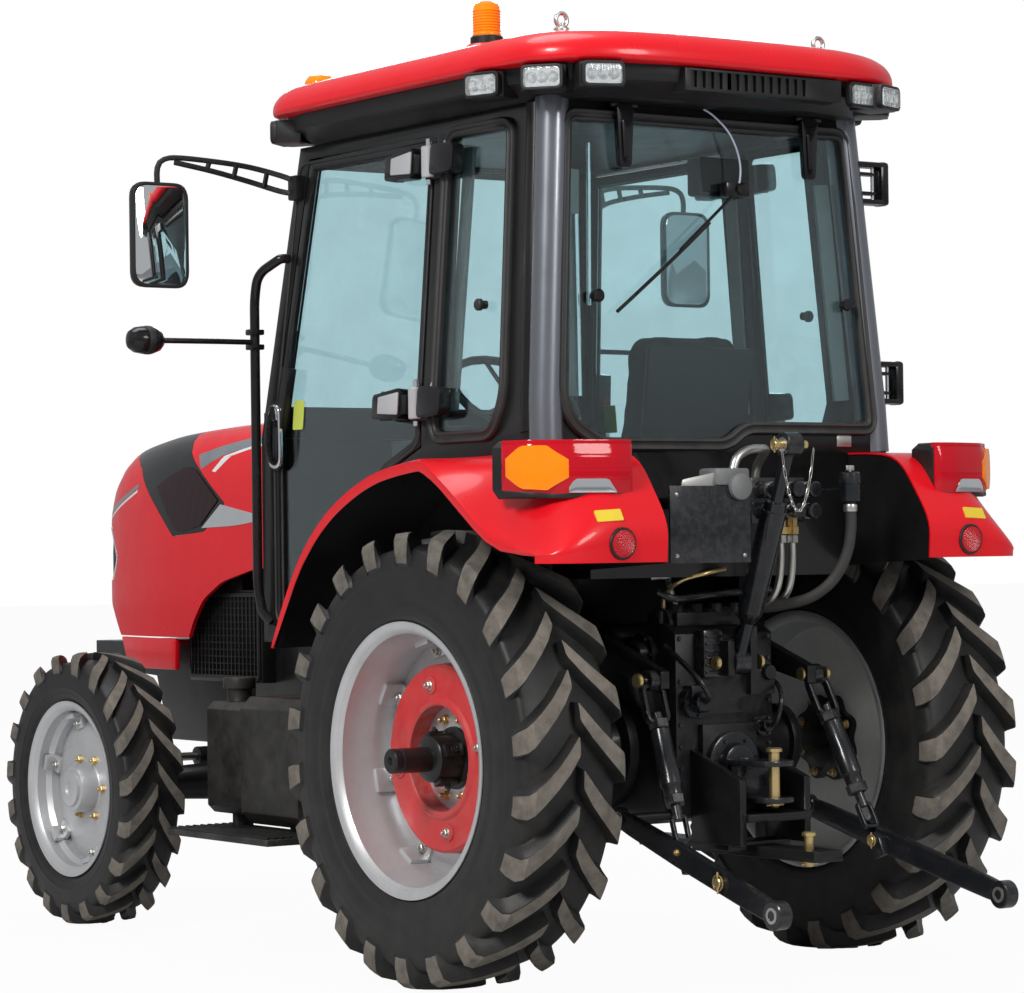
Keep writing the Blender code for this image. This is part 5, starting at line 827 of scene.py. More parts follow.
def rearRim(hand, side):
    mesh = bmesh.new()
    w, size = rearWheel, tyreSizes["rear"]
    addLathe(mesh, rimRing(size, 0.014), 112)
    disc = w["disc"]
    dish = [(disc - 0.004, 0.332), (disc, 0.325), (disc, 0.29), (disc + 0.004, 0.275), (disc + 0.004, 0.05),
            (disc + 0.004 + w["thick"], 0.05), (disc + 0.004 + w["thick"], 0.272),
            (disc + w["thick"], 0.288), (disc + w["thick"] - 0.002, 0.325),
            (disc + w["thick"] - 0.004, 0.332)]
    addLathe(mesh, dish, 96)
    face = disc + 0.004 + w["thick"]
    # Welded brackets that carry the disc, with their bolts
    for i in range(w["brackets"]):
        turn = Matrix.Rotation(2 * math.pi * (i + 0.3) / w["brackets"], 4, "Y")
        addBlock(mesh, (-0.034, disc + 0.006, 0.285), (0.034, disc + 0.02, 0.345), 0.004, 0, turn)
        addBlock(mesh, (-0.034, disc + 0.006, 0.318), (0.034, disc + 0.075, 0.338), 0.004, 0, turn)
        addBolt(mesh, turn @ Vector((0, face + 0.006, 0.302)), (0, 1, 0), 0.013, 2)
    # Wheel weight, its bolts and lifting notches
    ring = [(face, w["weightIn"]), (face, w["weightOut"] - 0.004), (face + 0.006, w["weightOut"]),
            (face + w["weightDeep"] * 0.72, w["weightOut"] - 0.003),
            (face + w["weightDeep"] * 0.84, w["weightOut"] - 0.012),
            (face + w["weightDeep"] * 0.84, w["weightIn"] + 0.025),
            (face + w["weightDeep"] * 0.95, w["weightIn"] + 0.016),
            (face + w["weightDeep"] * 0.95, w["weightIn"] + 0.004),
            (face + w["weightDeep"] * 0.9, w["weightIn"])]
    addLathe(mesh, ring, 96, slot=1)
    for i in range(4):
        turn = Matrix.Rotation(2 * math.pi * (i + 0.12) / 4, 4, "Y")
        addTurned(mesh, [(face, 0.024), (face + w["weightDeep"] * 0.9, 0.024),
                         (face + w["weightDeep"] * 0.93, 0.021)], 20, turn @ Vector((0, 0, 0.205)),
                  (0, 1, 0), 1)
        addBolt(mesh, turn @ Vector((0, face + w["weightDeep"] * 0.93, 0.205)), (0, 1, 0), 0.012, 2)
    for i in range(w["nuts"]):
        turn = Matrix.Rotation(2 * math.pi * (i + 0.5) / w["nuts"], 4, "Y")
        addBolt(mesh, turn @ Vector((0, face, w["nutRing"])), (0, 1, 0), 0.014, 3, 0.9)
        addBolt(mesh, turn @ Vector((0, disc - 0.02, w["nutRing"])), (0, -1, 0), 0.012, 3, 0.9)
    # Lobed flange on the inside, over the disc's back, which is a pale non-metal copy of the silver as
    # painted light where the back lies in shade
    turns = [2 * math.pi * i / 96 for i in range(96)]
    reaches = [w["lobe"] - w["dip"] * (1 + math.cos(w["nuts"] * t)) / 2 for t in turns]
    lobes = [(r * math.sin(t), r * math.cos(t)) for r, t in zip(reaches, turns)]
    addSolid(mesh, lobes, "xz", disc - 0.02, disc + 0.003, 0.003, 4)
    back = [(disc + 0.0028, 0.05), (disc + 0.0028, 0.274), (disc - 0.0012, 0.29), (disc - 0.0012, 0.325),
            (disc - 0.0052, 0.332), (disc - 0.002, 0.332), (disc + 0.002, 0.325), (disc + 0.002, 0.29),
            (disc + 0.006, 0.275), (disc + 0.006, 0.05)]
    addLathe(mesh, back, 96, slot=5)
    # Clamp and axle end
    hub = [(face - 0.002, 0.088), (face + 0.008, 0.086), (face + 0.012, 0.066), (face + 0.05, 0.064),
           (w["hubEnd"] - 0.006, 0.064), (w["hubEnd"], 0.058), (w["hubEnd"] + 0.004, 0.04),
           (w["hubEnd"] + 0.004, 0.02)]
    addTurned(mesh, hub, 40, slot=4)
    for i in range(4):
        turn = Matrix.Rotation(2 * math.pi * (i + 0.25) / 4, 4, "Y")
        addBlock(mesh, (-0.018, face + 0.016, 0.056), (0.018, w["hubEnd"] - 0.012, 0.076), 0.004, 4, turn)
        addBolt(mesh, turn @ Vector((0, (face + w["hubEnd"]) / 2, 0.075)), turn @ Vector((0, 0, 1)),
                0.011, 4)
    shaft = [(-0.23, w["shaft"]), (w["shaftEnd"] - 0.03, w["shaft"]),
             (w["shaftEnd"] - 0.028, w["shaft"] - 0.003), (w["shaftEnd"] - 0.022, w["shaft"] - 0.003),
             (w["shaftEnd"] - 0.02, w["shaft"]), (w["shaftEnd"] - 0.004, w["shaft"]),
             (w["shaftEnd"], w["shaft"] - 0.005), (w["shaftEnd"], 0.012), (w["shaftEnd"] - 0.008, 0.008)]
    addTurned(mesh, shaft, 40, slot=4)
    makePiece("rearRim." + hand, handed(mesh, side),
              ["wheelSilver", "castRed", "zincPlate", "yellowZinc", "blackPaint", "paintedLightDiscBack"],
              "rear_wheel_" + hand, "rear_rim_" + hand, 34, wheelPlace(size, side))


frontWheel = {"disc": 0.0095, "thick": 0.01, "nuts": 6, "nutRing": 0.104, "brackets": 6, "hubEnd": 0.0912}


def frontRim(hand, side):
    mesh = bmesh.new()
    w, size = frontWheel, tyreSizes["front"]
    addLathe(mesh, rimRing(size, 0.012), 96)
    disc = w["disc"]
    dish = [(disc - 0.03, 0.242), (disc - 0.016, 0.236), (disc - 0.004, 0.205), (disc, 0.19), (disc, 0.05),
            (disc + w["thick"], 0.05), (disc + w["thick"], 0.192), (disc + w["thick"] - 0.004, 0.208),
            (disc - 0.008, 0.24), (disc - 0.022, 0.246)]
    addLathe(mesh, dish, 80)
    face = disc + w["thick"]
    for i in range(w["brackets"]):
        turn = Matrix.Rotation(2 * math.pi * (i + 0.2) / w["brackets"], 4, "Y")
        addBlock(mesh, (-0.026, face - 0.008, 0.196), (0.026, face + 0.01, 0.252), 0.004, 0, turn)
        addBlock(mesh, (-0.026, face, 0.228), (0.026, face + 0.042, 0.246), 0.004, 0, turn)
        addBolt(mesh, turn @ Vector((0, face + 0.01, 0.212)), (0, 1, 0), 0.011, 1)
    for i in range(w["nuts"]):
        turn = Matrix.Rotation(2 * math.pi * (i + 0.5) / w["nuts"], 4, "Y")
        addBolt(mesh, turn @ Vector((0, face, w["nutRing"])), (0, 1, 0), 0.0125, 2, 0.8)
    hub = [(-0.064, 0.082), (-0.01, 0.082), (face, 0.086), (face + 0.004, 0.082), (0.07, 0.074),
           (0.078, 0.07), (0.08, 0.058), (w["hubEnd"] - 0.002, 0.056), (w["hubEnd"], 0.05),
           (w["hubEnd"], 0.024), (w["hubEnd"] - 0.006, 0.018)]
    addTurned(mesh, hub, 48)
    makePiece("frontRim." + hand, handed(mesh, side), ["wheelSilver", "zincPlate", "yellowZinc"],
              "front_wheel_" + hand, "front_rim_" + hand, 34, wheelPlace(size, side))


twoSided(rearRim)
twoSided(frontRim)
print("rims are on")


def smoothValue(rows, x, column):
    at = max(0, min(len(rows) - 2, sum(1 for row in rows[1:] if row[0] < x)))
    a, b = rows[at], rows[at + 1]

    def slope(j):
        low, high = rows[max(j - 1, 0)], rows[min(j + 1, len(rows) - 1)]
        return (high[column] - low[column]) / (high[0] - low[0])

    span = b[0] - a[0]
    t = min(1, max(0, (x - a[0]) / span))
    return ((2 * t ** 3 - 3 * t ** 2 + 1) * a[column] + (t ** 3 - 2 * t ** 2 + t) * span * slope(at)
            + (3 * t ** 2 - 2 * t ** 3) * b[column] + (t ** 3 - t ** 2) * span * slope(at + 1))


# Fenders

def fenderOutline():
    shares = [(1, 0), (0.94, 0.28), (0.865, 0.54), (0.76, 0.757), (0.62, 0.915), (0.48, 0.98), (0.34, 1),
              (0.17, 1), (0.09, 0.953), (0.035, 0.785), (0.0, 0.62), (0.0, 0.44)]
    return [(-0.69 + 1.435 * u, 0.93 + 0.535 * v) for u, v in shares]


def insetLine(points, distance):
    # Moves an open line towards its left-hand side
    result = []
    for i, p in enumerate(points):
        before, after = points[max(i - 1, 0)], points[min(i + 1, len(points) - 1)]
        along = Vector((after[0] - before[0], after[1] - before[1])).normalized()
        result.append((p[0] - along.y * distance, p[1] + along.x * distance))
    return result


fenderShape = {"inner": 0.46, "outer": 0.83, "start": -0.2, "tongue": 0.49, "wall": 0.005}
# Columns: place across, length of the tongue, drop of the edge
fenderAcross = [(0, 1.0, 0), (0.25, 1.0, 0), (0.45, 1.0, 0), (0.62, 1.0, 0), (0.8, 0.985, 0.0006),
                (0.93, 0.94, 0.003), (1, 0.85, 0.01)]
# The outer edge behind the crown: place along, height
fenderEdge = [(-0.7, 1.17), (-0.496, 1.214), (-0.353, 1.265), (-0.216, 1.361), (-0.095, 1.434),
              (0.0, 1.462), (0.12, 1.475)]


def fenderSkin(drop):
    f = fenderShape
    across = smoothLine([(a, t, d * 10) for a, t, d in fenderAcross], 26)
    line = [(p.x, p.y) for p in smoothLine([(x, z, 0) for x, z in fenderOutline()], 90)]
    rows = []
    for share, tongue, edge in across:
        row = []
        slope = max(0, (share - 0.4) / 0.6) ** 1.7
        for x, z in insetLine(line, drop + max(edge, 0) / 10):
            if x < f["start"]:
                x = f["start"] + (x - f["start"]) * tongue
            if x < 0.12:
                z += (min(z, smoothValue(fenderEdge, x, 1) - drop) - z) * slope
            row.append(Vector((x, f["inner"] + (f["outer"] - f["inner"]) * min(share, 1), z)))
        rows.append(row)
    # The edge turns down and in
    last = rows[-1]
    lip = [0.024 * min(1, max(0, (p.z - 0.93) / 0.1), max(0, (p.x + 0.6) / 0.15)) for p in last]
    rows.append([Vector((p.x, f["outer"] - 0.002, p.z - deep)) for p, deep in zip(last, lip)])
    return rows


def fender(hand, side):
    outer, inner = fenderSkin(0), fenderSkin(fenderShape["wall"])
    for row in inner:
        for p in row:
            p.y = min(p.y, fenderShape["outer"] - fenderShape["wall"])
    loops = [list(outer[j]) + list(reversed(inner[j])) for j in range(len(outer))]
    mesh = bmesh.new()
    addRings(mesh, loops)
    makePiece("fender." + hand, handed(mesh, side), "redPaint", "chassis", "fender_" + hand, 40)
    # Black liner below it, and the wall between the fender and the cab
    mesh = bmesh.new()
    loops = []
    for over, under in list(zip(fenderSkin(0.0075), fenderSkin(0.0105)))[:-1]:
        for row in (over, under):
            for p in row:
                p.y = min(p.y, fenderShape["outer"] - 0.01)
        loops.append(list(over) + list(reversed(under)))
    addRings(mesh, loops)
    line = [(p.x, p.z - 0.004) for p in fenderSkin(0.006)[0]]
    addSolid(mesh, line + [(0.24, 1.1154), (0.24, 0.93)], "xz", 0.4602, 0.4652)
    makePiece("fenderLiner." + hand, handed(mesh, side), "blackPaint", angle=40)


twoSided(fender)
print("fenders are on")


# Roof

roofShares = [(0.0, 0.0), (0.006, 0.455), (0.03, 0.727), (0.084, 0.924), (0.186, 0.992), (0.53, 1.0),
              (0.859, 0.992), (0.931, 0.955), (0.973, 0.833), (0.997, 0.545), (1.0, 0.0)]
roofBox = {"rear": -0.53, "front": 1.135, "half": 0.66, "low": 2.515, "high": 2.63}


def roofLoop(height, edge, count=120):
    rear, front, half = roofBox["rear"], roofBox["front"], roofBox["half"] - edge
    middle, reach = (rear + front) / 2, (front - rear) / 2 - edge
    left = [(middle + reach * (2 * a - 1), half * b, height) for a, b in roofShares]
    return smoothLine(left + [(x, -y, z) for x, y, z in reversed(left[1:-1])], count, True)


def roof():
    rise = roofBox["high"] - roofBox["low"]
    profile = smoothLine([(0, 0.012, 0), (0.05, 0.003, 0), (0.14, 0.0, 0), (0.36, 0.0045, 0),
                          (0.6, 0.024, 0), (0.78, 0.06, 0), (0.92, 0.15, 0), (1, 0.3, 0),
                          (1.0, 0.5, 0)], 26)
    loops = [roofLoop(roofBox["low"] + rise * min(p.x, 1), p.y) for p in profile]
    mesh = bmesh.new()
    addRings(mesh, loops)
    makePiece("roofShell", mesh, "redPaint", "chassis", "roof_shell", 40)
    # Beacon on its pedestal
    mesh = bmesh.new()
    x, y = 0.134, 0.45
    addTurned(mesh, [(-0.06, 0.075), (-0.012, 0.072), (0.0, 0.064), (0.006, 0.056), (0.006, 0.02)], 48,
              (x, y, roofBox["high"]), (0, 0, 1))
    addTurned(mesh, [(0.002, 0.047), (0.026, 0.047), (0.03, 0.044), (0.03, 0.02)], 48,
              (x, y, roofBox["high"]), (0, 0, 1), 1)
    rows = [(0.03, 0.04), (0.034, 0.041)]
    for i in range(9):
        rows += [(0.038 + i * 0.008, 0.0405), (0.042 + i * 0.008, 0.0385)]
    rows += [(0.113, 0.038), (0.122, 0.033), (0.1285, 0.022), (0.13, 0.008)]
    addTurned(mesh, rows, 48, (x, y, roofBox["high"]), (0, 0, 1), 2)
    makePiece("beaconLamp", mesh, ["redPaint", "blackPlastic", "amberLens"], "chassis", "beacon", 30)
    # Eye bolts and front markers
    mesh = bmesh.new()
    for side in (1, -1):
        middle = Vector((-0.241, side * 0.458, roofBox["high"]))
        addTurned(mesh, [(-0.01, 0.022), (0.002, 0.022), (0.006, 0.018), (0.006, 0.009), (0.018, 0.009)],
                  24, middle, (0, 0, 1))
        turns = [middle + Vector((0, y, z + 0.0265)) for y, z in circle(0.0185, 28)]
        addSweep(mesh, turns, circle(0.0062, 12), (1, 0, 0), True)
    makePiece("eyeBolts", mesh, "zincPlate")
    mesh = bmesh.new()
    for side in (1, -1):
        addTurned(mesh, [(-0.05, 0.046), (-0.03, 0.046), (-0.024, 0.043), (-0.012, 0.034), (-0.006, 0.016)],
                  32, (0.935, side * 0.515, 2.652), (0, 0, 1))
    makePiece("roofMarkers", mesh, "amberLens")


roof()
print("roof is on")


# Hood: a fine loft cut by the same side outlines as the part's

hoodShape = {"rear": 1.19, "front": 2.945, "low": 0.81, "high": 1.635, "half": 0.31, "wall": 0.014}
hoodSections = [(0, 1.0, 1.0), (0.4, 1.0, 0.99), (0.62, 0.99, 0.972), (0.74, 0.95, 0.952),
                (0.86, 0.86, 0.908), (0.93, 0.76, 0.83), (0.965, 0.67, 0.745), (1.0, 0.55, 0.7)]
hoodSide = [(0, 0.44), (0.3, 0.41), (0.42, 0.36), (0.49, 0.29), (0.53, 0.2), (0.555, 0.11), (0.58, 0.01),
            (0.69, 0.0), (0.86, 0.12), (0.925, 0.24), (0.955, 0.28), (0.965, 0.34), (0.957, 0.385),
            (0.962, 0.59), (0.978, 0.61), (0.975, 0.65), (0.962, 0.67), (0.965, 0.69),
            (0.985, 0.715), (0.98, 0.745), (0.93, 0.85), (0.86, 0.93), (0.74, 0.975), (0.58, 1), (0, 1.02)]
maskSide = [(0.644, 1.08), (0.553, 0.873), (0.405, 0.673), (0.484, 0.564), (0.61, 0.548), (0.735, 0.764),
            (0.77, 0.836), (0.85, 0.909), (0.872, 1.08)]
grilleSide = [(0.89, 0.466), (0.897, 0.43), (0.926, 0.37), (1.06, 0.345), (1.06, 0.594), (0.94, 0.594)]


def hoodFlank(along, inset, base, count=26):
    # Half of the hood's section at one place, from its foot to the middle line
    h = hoodShape
    half = h["half"] * smoothValue(hoodSections, along, 1) - inset
    top = h["low"] + (h["high"] - h["low"]) * smoothValue(hoodSections, along, 2) - inset
    points = [(half, base), (half, top - half * 1.05), (half * 0.975, top - half * 0.5),
              (half * 0.86, top - half * 0.18), (half * 0.6, top), (0, top + 0.002)]
    return [(p.x, p.y) for p in smoothLine([(y, z, 0) for y, z in points], count)]


def hoodLoft(inset, extra, base):
    loops = []
    stops = [i / 30 * 0.74 for i in range(31)] + [0.74 + (i + 1) / 26 * 0.26 for i in range(26)]
    for along in stops:
        x = hoodShape["rear"] + (hoodShape["front"] - hoodShape["rear"]) * along
        x += -extra if along == 0 else (-inset if along == 1 else 0)
        flank = hoodFlank(along, inset, base)
        left = [Vector((x, y, z)) for y, z in flank[-2::-1]]
        loops.append([Vector((x, -y, z)) for y, z in flank] + left)
    mesh = bmesh.new()
    addRings(mesh, loops)
    return mesh


def hoodHalf(x, z):
    along = (x - hoodShape["rear"]) / (hoodShape["front"] - hoodShape["rear"])
    flank = hoodFlank(min(1, max(0, along)), 0, 0.76)
    for (y0, z0), (y1, z1) in zip(flank, flank[1:]):
        if z0 <= z <= z1:
            return y0 + (y1 - y0) * (z - z0) / max(z1 - z0, 1e-6)
    return flank[-3][0]


def sidePrism(shares, radius, wide=0.4):
    mesh = bmesh.new()
    h = hoodShape
    reach, rise = h["front"] - h["rear"], h["high"] - h["low"]
    points = [(h["rear"] + reach * u, h["low"] + rise * v, 0) for u, v in shares]
    outline = [(p.x, p.y) for p in rounded(points, radius, 4)] if radius else [(x, z) for x, z, _ in points]
    addSolid(mesh, outline, "xz", -wide, wide)
    return mesh


def combineMesh(mesh, other, operation):
    items = []
    for work in (mesh, other):
        bmesh.ops.recalc_face_normals(work, faces=work.faces)
        data = bpy.data.meshes.new("operand")
        work.to_mesh(data)
        work.free()
        items.append(bpy.data.objects.new("operand", data))
        scene.collection.objects.link(items[-1])
    change = items[0].modifiers.new("combine", "BOOLEAN")
    change.operation = operation
    change.solver = "EXACT"
    change.object = items[1]
    bpy.context.view_layer.update()
    made = bpy.data.meshes.new_from_object(items[0].evaluated_get(bpy.context.evaluated_depsgraph_get()))
    result = bmesh.new()
    result.from_mesh(made)
    for item in items:
        data = item.data
        bpy.data.objects.remove(item, do_unlink=True)
        bpy.data.meshes.remove(data)
    bpy.data.meshes.remove(made)
    return result


def hoodPanel(outline, inset=0.0, wall=None):
    mesh = combineMesh(hoodLoft(inset, 0, 0.76), outline, "INTERSECT")
    return combineMesh(mesh, hoodLoft(inset + (wall or hoodShape["wall"]), 0.05, 0.7), "DIFFERENCE")


def widened(shares, by):
    middle = (sum(u for u, _ in shares) / len(shares), sum(v for _, v in shares) / len(shares))
    result = []
    for u, v in shares:
        away = Vector(((u - middle[0]) * 1.755, (v - middle[1]) * 0.825)).normalized() * by
        result.append((u + away.x / 1.755, v + away.y / 0.825))
    return result


def addPatch(mesh, upper, lower, lift, slot=0, steps=8, across=3, thick=0.002):
    # A thin plate that follows the hood's side between two lines of (x, z)
    top = smoothLine([(x, z, 0) for x, z in upper], steps)
    low = smoothLine([(x, z, 0) for x, z in lower], steps)
    loops = []
    for a, b in zip(top, low):
        row = [a.lerp(b, k / across) for k in range(across + 1)]
        outside = [Vector((p.x, hoodHalf(p.x, p.y) + lift, p.y)) for p in row]
        inside = [Vector((p.x, hoodHalf(p.x, p.y) + lift - thick, p.y)) for p in row]
        loops.append(outside + inside[::-1])
    addRings(mesh, loops, False, slot)


def hood():
    mesh = hoodPanel(sidePrism(hoodSide, 0.03))
    mesh = combineMesh(mesh, sidePrism(widened(maskSide, 0.002), 0.012, 0.5), "DIFFERENCE")
    mesh = combineMesh(mesh, sidePrism(widened(grilleSide, 0.002), 0.012, 0.5), "DIFFERENCE")
    below = bmesh.new()
    addBlock(below, (1.1, -0.5, 0.7), (3.1, 0.5, 0.92), 0)
    mesh = combineMesh(mesh, below, "DIFFERENCE")
    for side in (1, -1):
        addBlock(mesh, (1.21, min(side * 0.161, side * 0.183), 1.56),
                 (1.275, max(side * 0.161, side * 0.183), 1.622), 0.004)
    makePiece("hoodShell", mesh, "redPaint", "engine_hood", "hood", 32)
    mesh = hoodPanel(sidePrism(maskSide, 0.012))
    makePiece("hoodMask", mesh, "glossBlack", "engine_hood", "hood_mask", 32)
    trims = {"chrome": [([(1.927, 1.363), (1.8, 1.343), (1.66, 1.322)],
                         [(2.054, 1.286), (1.83, 1.292), (1.66, 1.307)])],
             "grey": [([(2.11, 1.532), (1.9, 1.566), (1.5, 1.605), (1.21, 1.612)],
                       [(2.072, 1.482), (1.9, 1.532), (1.5, 1.575), (1.21, 1.584)]),
                      ([(2.86, 1.349), (2.7, 1.396), (2.53, 1.446)],
                       [(2.865, 1.331), (2.71, 1.378), (2.54, 1.428)])],
             "white": [([(1.93, 1.523), (1.749, 1.552), (1.5, 1.571), (1.21, 1.579)],
                        [(1.95, 1.51), (1.749, 1.543), (1.5, 1.565), (1.21, 1.574)]),
                       ([(1.996, 1.474), (1.93, 1.523)], [(1.974, 1.47), (1.87, 1.53)]),
                       ([(2.862, 1.327), (2.71, 1.374), (2.54, 1.424)],
                        [(2.864, 1.318), (2.715, 1.364), (2.545, 1.414)])]}
    mesh = bmesh.new()
    for slot, key in enumerate(("chrome", "grey", "white")):
        for upper, lower in trims[key]:
            addPatch(mesh, upper, lower, 0.0022 if key == "chrome" else 0.0009, slot, 14, 4)
    makePiece("hoodTrim", bothSides(mesh), ["chrome", "stripeGrey", "stripeWhite"], "engine_hood", angle=40)
    mesh = bmesh.new()
    addPatch(mesh, [(2.375, 1.432), (2.26, 1.47), (2.14, 1.492), (2.03, 1.434), (1.945, 1.376)],
             [(2.345, 1.4), (2.285, 1.33), (2.225, 1.278), (2.14, 1.282), (2.06, 1.296)], 0.0035, 0, 16, 8,
             0.004)
    makePiece("headLamps", bothSides(mesh), "smokedLens", "engine_hood", angle=40)
    # Bright edge behind the grille
    mesh = bmesh.new()
    line = rounded([(2.835, 1.296, 0), (2.75, 1.196, 0), (2.762, 1.166, 0), (2.812, 1.116, 0)], 0.02, 4,
                   False)
    path = [Vector((p.x, hoodHalf(p.x, p.y) - 0.001, p.y)) for p in line]
    addTube(mesh, path, 0.0045, 10)
    makePiece("grilleEdge", bothSides(mesh), "chrome", "engine_hood")


hood()
print("hood is on")


# Cab: seals, posts, hinge plates, handles and the rear window's fittings

def insetLoop(outline, distance):
    area = sum(a[0] * b[1] - b[0] * a[1] for a, b in zip(outline, outline[1:] + outline[:1]))
    turn = 1 if area > 0 else -1
    result = []
    for i, point in enumerate(outline):
        p = Vector(point)
        e0 = (p - Vector(outline[i - 1])).normalized()
        e1 = (Vector(outline[(i + 1) % len(outline)]) - p).normalized()
        n0 = Vector((-e0.y, e0.x)) * turn
        n1 = Vector((-e1.y, e1.x)) * turn
        result.append(tuple(p + (n0 + n1) * distance / (1 + n0.dot(n1))))
    return result


sealSection = [(-0.019, -0.004), (-0.019, 0.008), (-0.014, 0.013), (-0.007, 0.012), (-0.003, 0.007),
               (0.003, 0.007), (0.008, 0.012), (0.014, 0.011), (0.017, 0.006), (0.017, -0.004)]
beadSection = circle(0.006, 10, 0.005)
doorLine = [(0.27, 1.5002), (0.4493, 1.4302), (0.6, 1.3294), (0.7199, 1.1796), (0.7998, 1.0298),
            (0.8601, 0.985), (1.085, 0.985), (1.085, 1.55), (1.0219, 2.385), (0.27, 2.385)]
quarterLine = [(-0.095, 1.52), (0.2, 1.52), (0.2, 2.385), (-0.115, 2.385), (-0.145, 1.62)]


def densePath(outline, radius, place, spacing=0.05):
    # A rounded outline of (u, v) set on a surface of the cab, closely enough to follow its bends
    points = rounded([(u, v, 0) for u, v in outline], radius, 6)
    result = []
    for a, b in zip(points, points[1:] + points[:1]):
        parts = max(1, int((b - a).length / spacing))
        result += [place(*a.lerp(b, k / parts).xy) for k in range(parts)]
    return result


def cabSeals(hand, side):
    def onSide(out):
        return lambda x, z: Vector((x, sideHalf(z) + out, z))
    mesh = bmesh.new()
    addSweep(mesh, densePath(quarterLine, 0.045, onSide(-0.001)), sealSection, (0, 1, 0), True)
    addTurned(mesh, [(-0.012, 0.012), (0.006, 0.012), (0.01, 0.017), (0.02, 0.017), (0.024, 0.013)], 24,
              (-0.019, sideHalf(1.884), 1.884))
    makePiece("quarterSeal." + hand, handed(mesh, side), "sealRubber", angle=50)
    mesh = bmesh.new()
    addSweep(mesh, densePath(insetLoop(doorLine, 0.028), 0.05, onSide(-0.012)), beadSection, (0, 1, 0),
             True)
    addSweep(mesh, densePath(insetLoop(doorLine, 0.006), 0.04, onSide(0.0)),
             [(u * 0.8, v * 0.8) for u, v in beadSection], (0, 1, 0), True)
    makePiece("doorSeal." + hand, handed(mesh, side), "sealRubber", "cab_door_" + hand, angle=50)
    mesh = bmesh.new()
    heights = (1.47, 1.6, 1.8, 2.1, 2.3, 2.435)
    post = [Vector((rearPlane(z) + 0.034, sideHalf(z) - 0.025, z)) for z in heights]
    addTube(mesh, post, 0.047, 48)
    makePiece("rearPost." + hand, handed(mesh, side), "postPaint", angle=50)
    # Hinge covers: a long leaf with a silver plate on the door, a rounded block and the pin on the post
    tilt = math.atan(0.07 / 0.88)
    leaf, block = bmesh.new(), bmesh.new()
    for height in (1.62, 2.31):
        place = Matrix.Translation((0, sideHalf(height), height)) @ Matrix.Rotation(tilt, 4, "X")
        line = softLine([(0.325, -0.044), (0.468, -0.04), (0.468, 0.03), (0.325, 0.046)], 0.014)
        addSolid(leaf, line, "xz", 0.002, 0.042, 0.007, 0, place)
        line = softLine([(0.327, -0.032), (0.432, -0.026), (0.432, 0.022), (0.327, 0.033)], 0.005, 3)
        addSolid(leaf, line, "xz", 0.04, 0.0455, 0.0015, 1, place)
        line = softLine([(0.115, -0.04), (0.232, -0.046), (0.232, 0.046), (0.115, 0.04)], 0.02)
        addSolid(block, line, "xz", 0.002, 0.043, 0.01, 0, place)
        spot = place @ Vector((0.27, 0.018, 0))
        addTurned(block, [(-0.045, 0.02), (-0.042, 0.0225), (0.042, 0.0225), (0.045, 0.02)], 32, spot,
                  (0, 0, 1), 2)
        addTurned(block, [(-0.066, 0.006), (-0.064, 0.0085), (0.066, 0.0085), (0.068, 0.006)], 20, spot,
                  (0, 0, 1), 1)
        addBolt(block, place @ Vector((0.205, 0.01, 0.046)), (0, 0, 1), 0.007, 1, 0.6)
    makePiece("doorHinges." + hand, handed(leaf, side), ["glossBlack", "hingeSilver"], "cab_door_" + hand)
    makePiece("postHinges." + hand, handed(block, side), ["glossBlack", "chrome", "hingeSilver"])
    if side < 0:
        # Bow brackets on the right rear post
        mesh = bmesh.new()
        for height in (2.25, 1.67):
            y = -sideHalf(height)
            for step in (-0.058, 0.05):
                addBlock(mesh, (-0.315, y - 0.095, height + step),
                         (-0.265, y + 0.02, height + step + 0.016), 0.006)
            addBlock(mesh, (-0.315, y - 0.112, height - 0.06), (-0.265, y - 0.08, height + 0.068), 0.01)
            addTube(mesh, [(-0.29, y - 0.066, height - 0.056), (-0.29, y - 0.066, height + 0.062)],
                    0.006, 14, 1)
            for step in (-0.03, 0.026):
                addBlock(mesh, (-0.305, y - 0.066, height + step), (-0.275, y + 0.01, height + step + 0.01),
                         0.003)
        makePiece("bowBrackets", mesh, ["glossBlack", "chrome"])
    # Door handle with its bright cap
    mesh = bmesh.new()
    grip = [(1.062, sideHalf(z) + out, z) for z, out in ((1.475, 0.004), (1.485, 0.024), (1.53, 0.033),
                                                         (1.59, 0.033), (1.635, 0.026), (1.645, 0.004))]
    addSweep(mesh, smoothLine(grip, 18), softBox(0.02, 0.013), (1, 0, 0))
    outline = softLine([(1.035, 1.455), (1.083, 1.445), (1.08, 1.66), (1.04, 1.665)], 0.018, 4)
    addSolid(mesh, outline, "xz", 0.601, 0.612, 0.003)
    ring = softLine([(1.027, 1.462), (1.087, 1.462), (1.084, 1.645), (1.031, 1.645)], 0.028, 6)
    addSweep(mesh, [Vector((x, 0.615, z)) for x, z in ring], softBox(0.012, 0.014), (0, 1, 0), True, 1)
    addBlock(mesh, (1.034, 0.606, 1.6), (1.082, 0.622, 1.645), 0.008, 1)
    outline = softLine([(0.938, 1.572), (0.996, 1.572), (0.996, 1.66), (0.938, 1.66)], 0.006, 3)
    place = Matrix.Translation((0, sideHalf(1.616) - 0.0145, 1.616)) @ Matrix.Rotation(tilt, 4, "X")
    place = place @ Matrix.Translation((0, 0, -1.616))
    addSolid(mesh, outline, "xz", -0.0003, 0.0012, 0, 2, place)
    makePiece("doorHandle." + hand, handed(mesh, side), ["glossBlack", "chrome", "paleGreen"],
              "cab_door_" + hand)


def addHose(name, path, radius, sides, finish):
    mesh = bmesh.new()
    addTube(mesh, path, radius, sides)
    hose = makePiece(name, mesh, finish)


def rearPoint(out):
    return lambda y, z: Vector((rearPlane(z) - out, y, z))


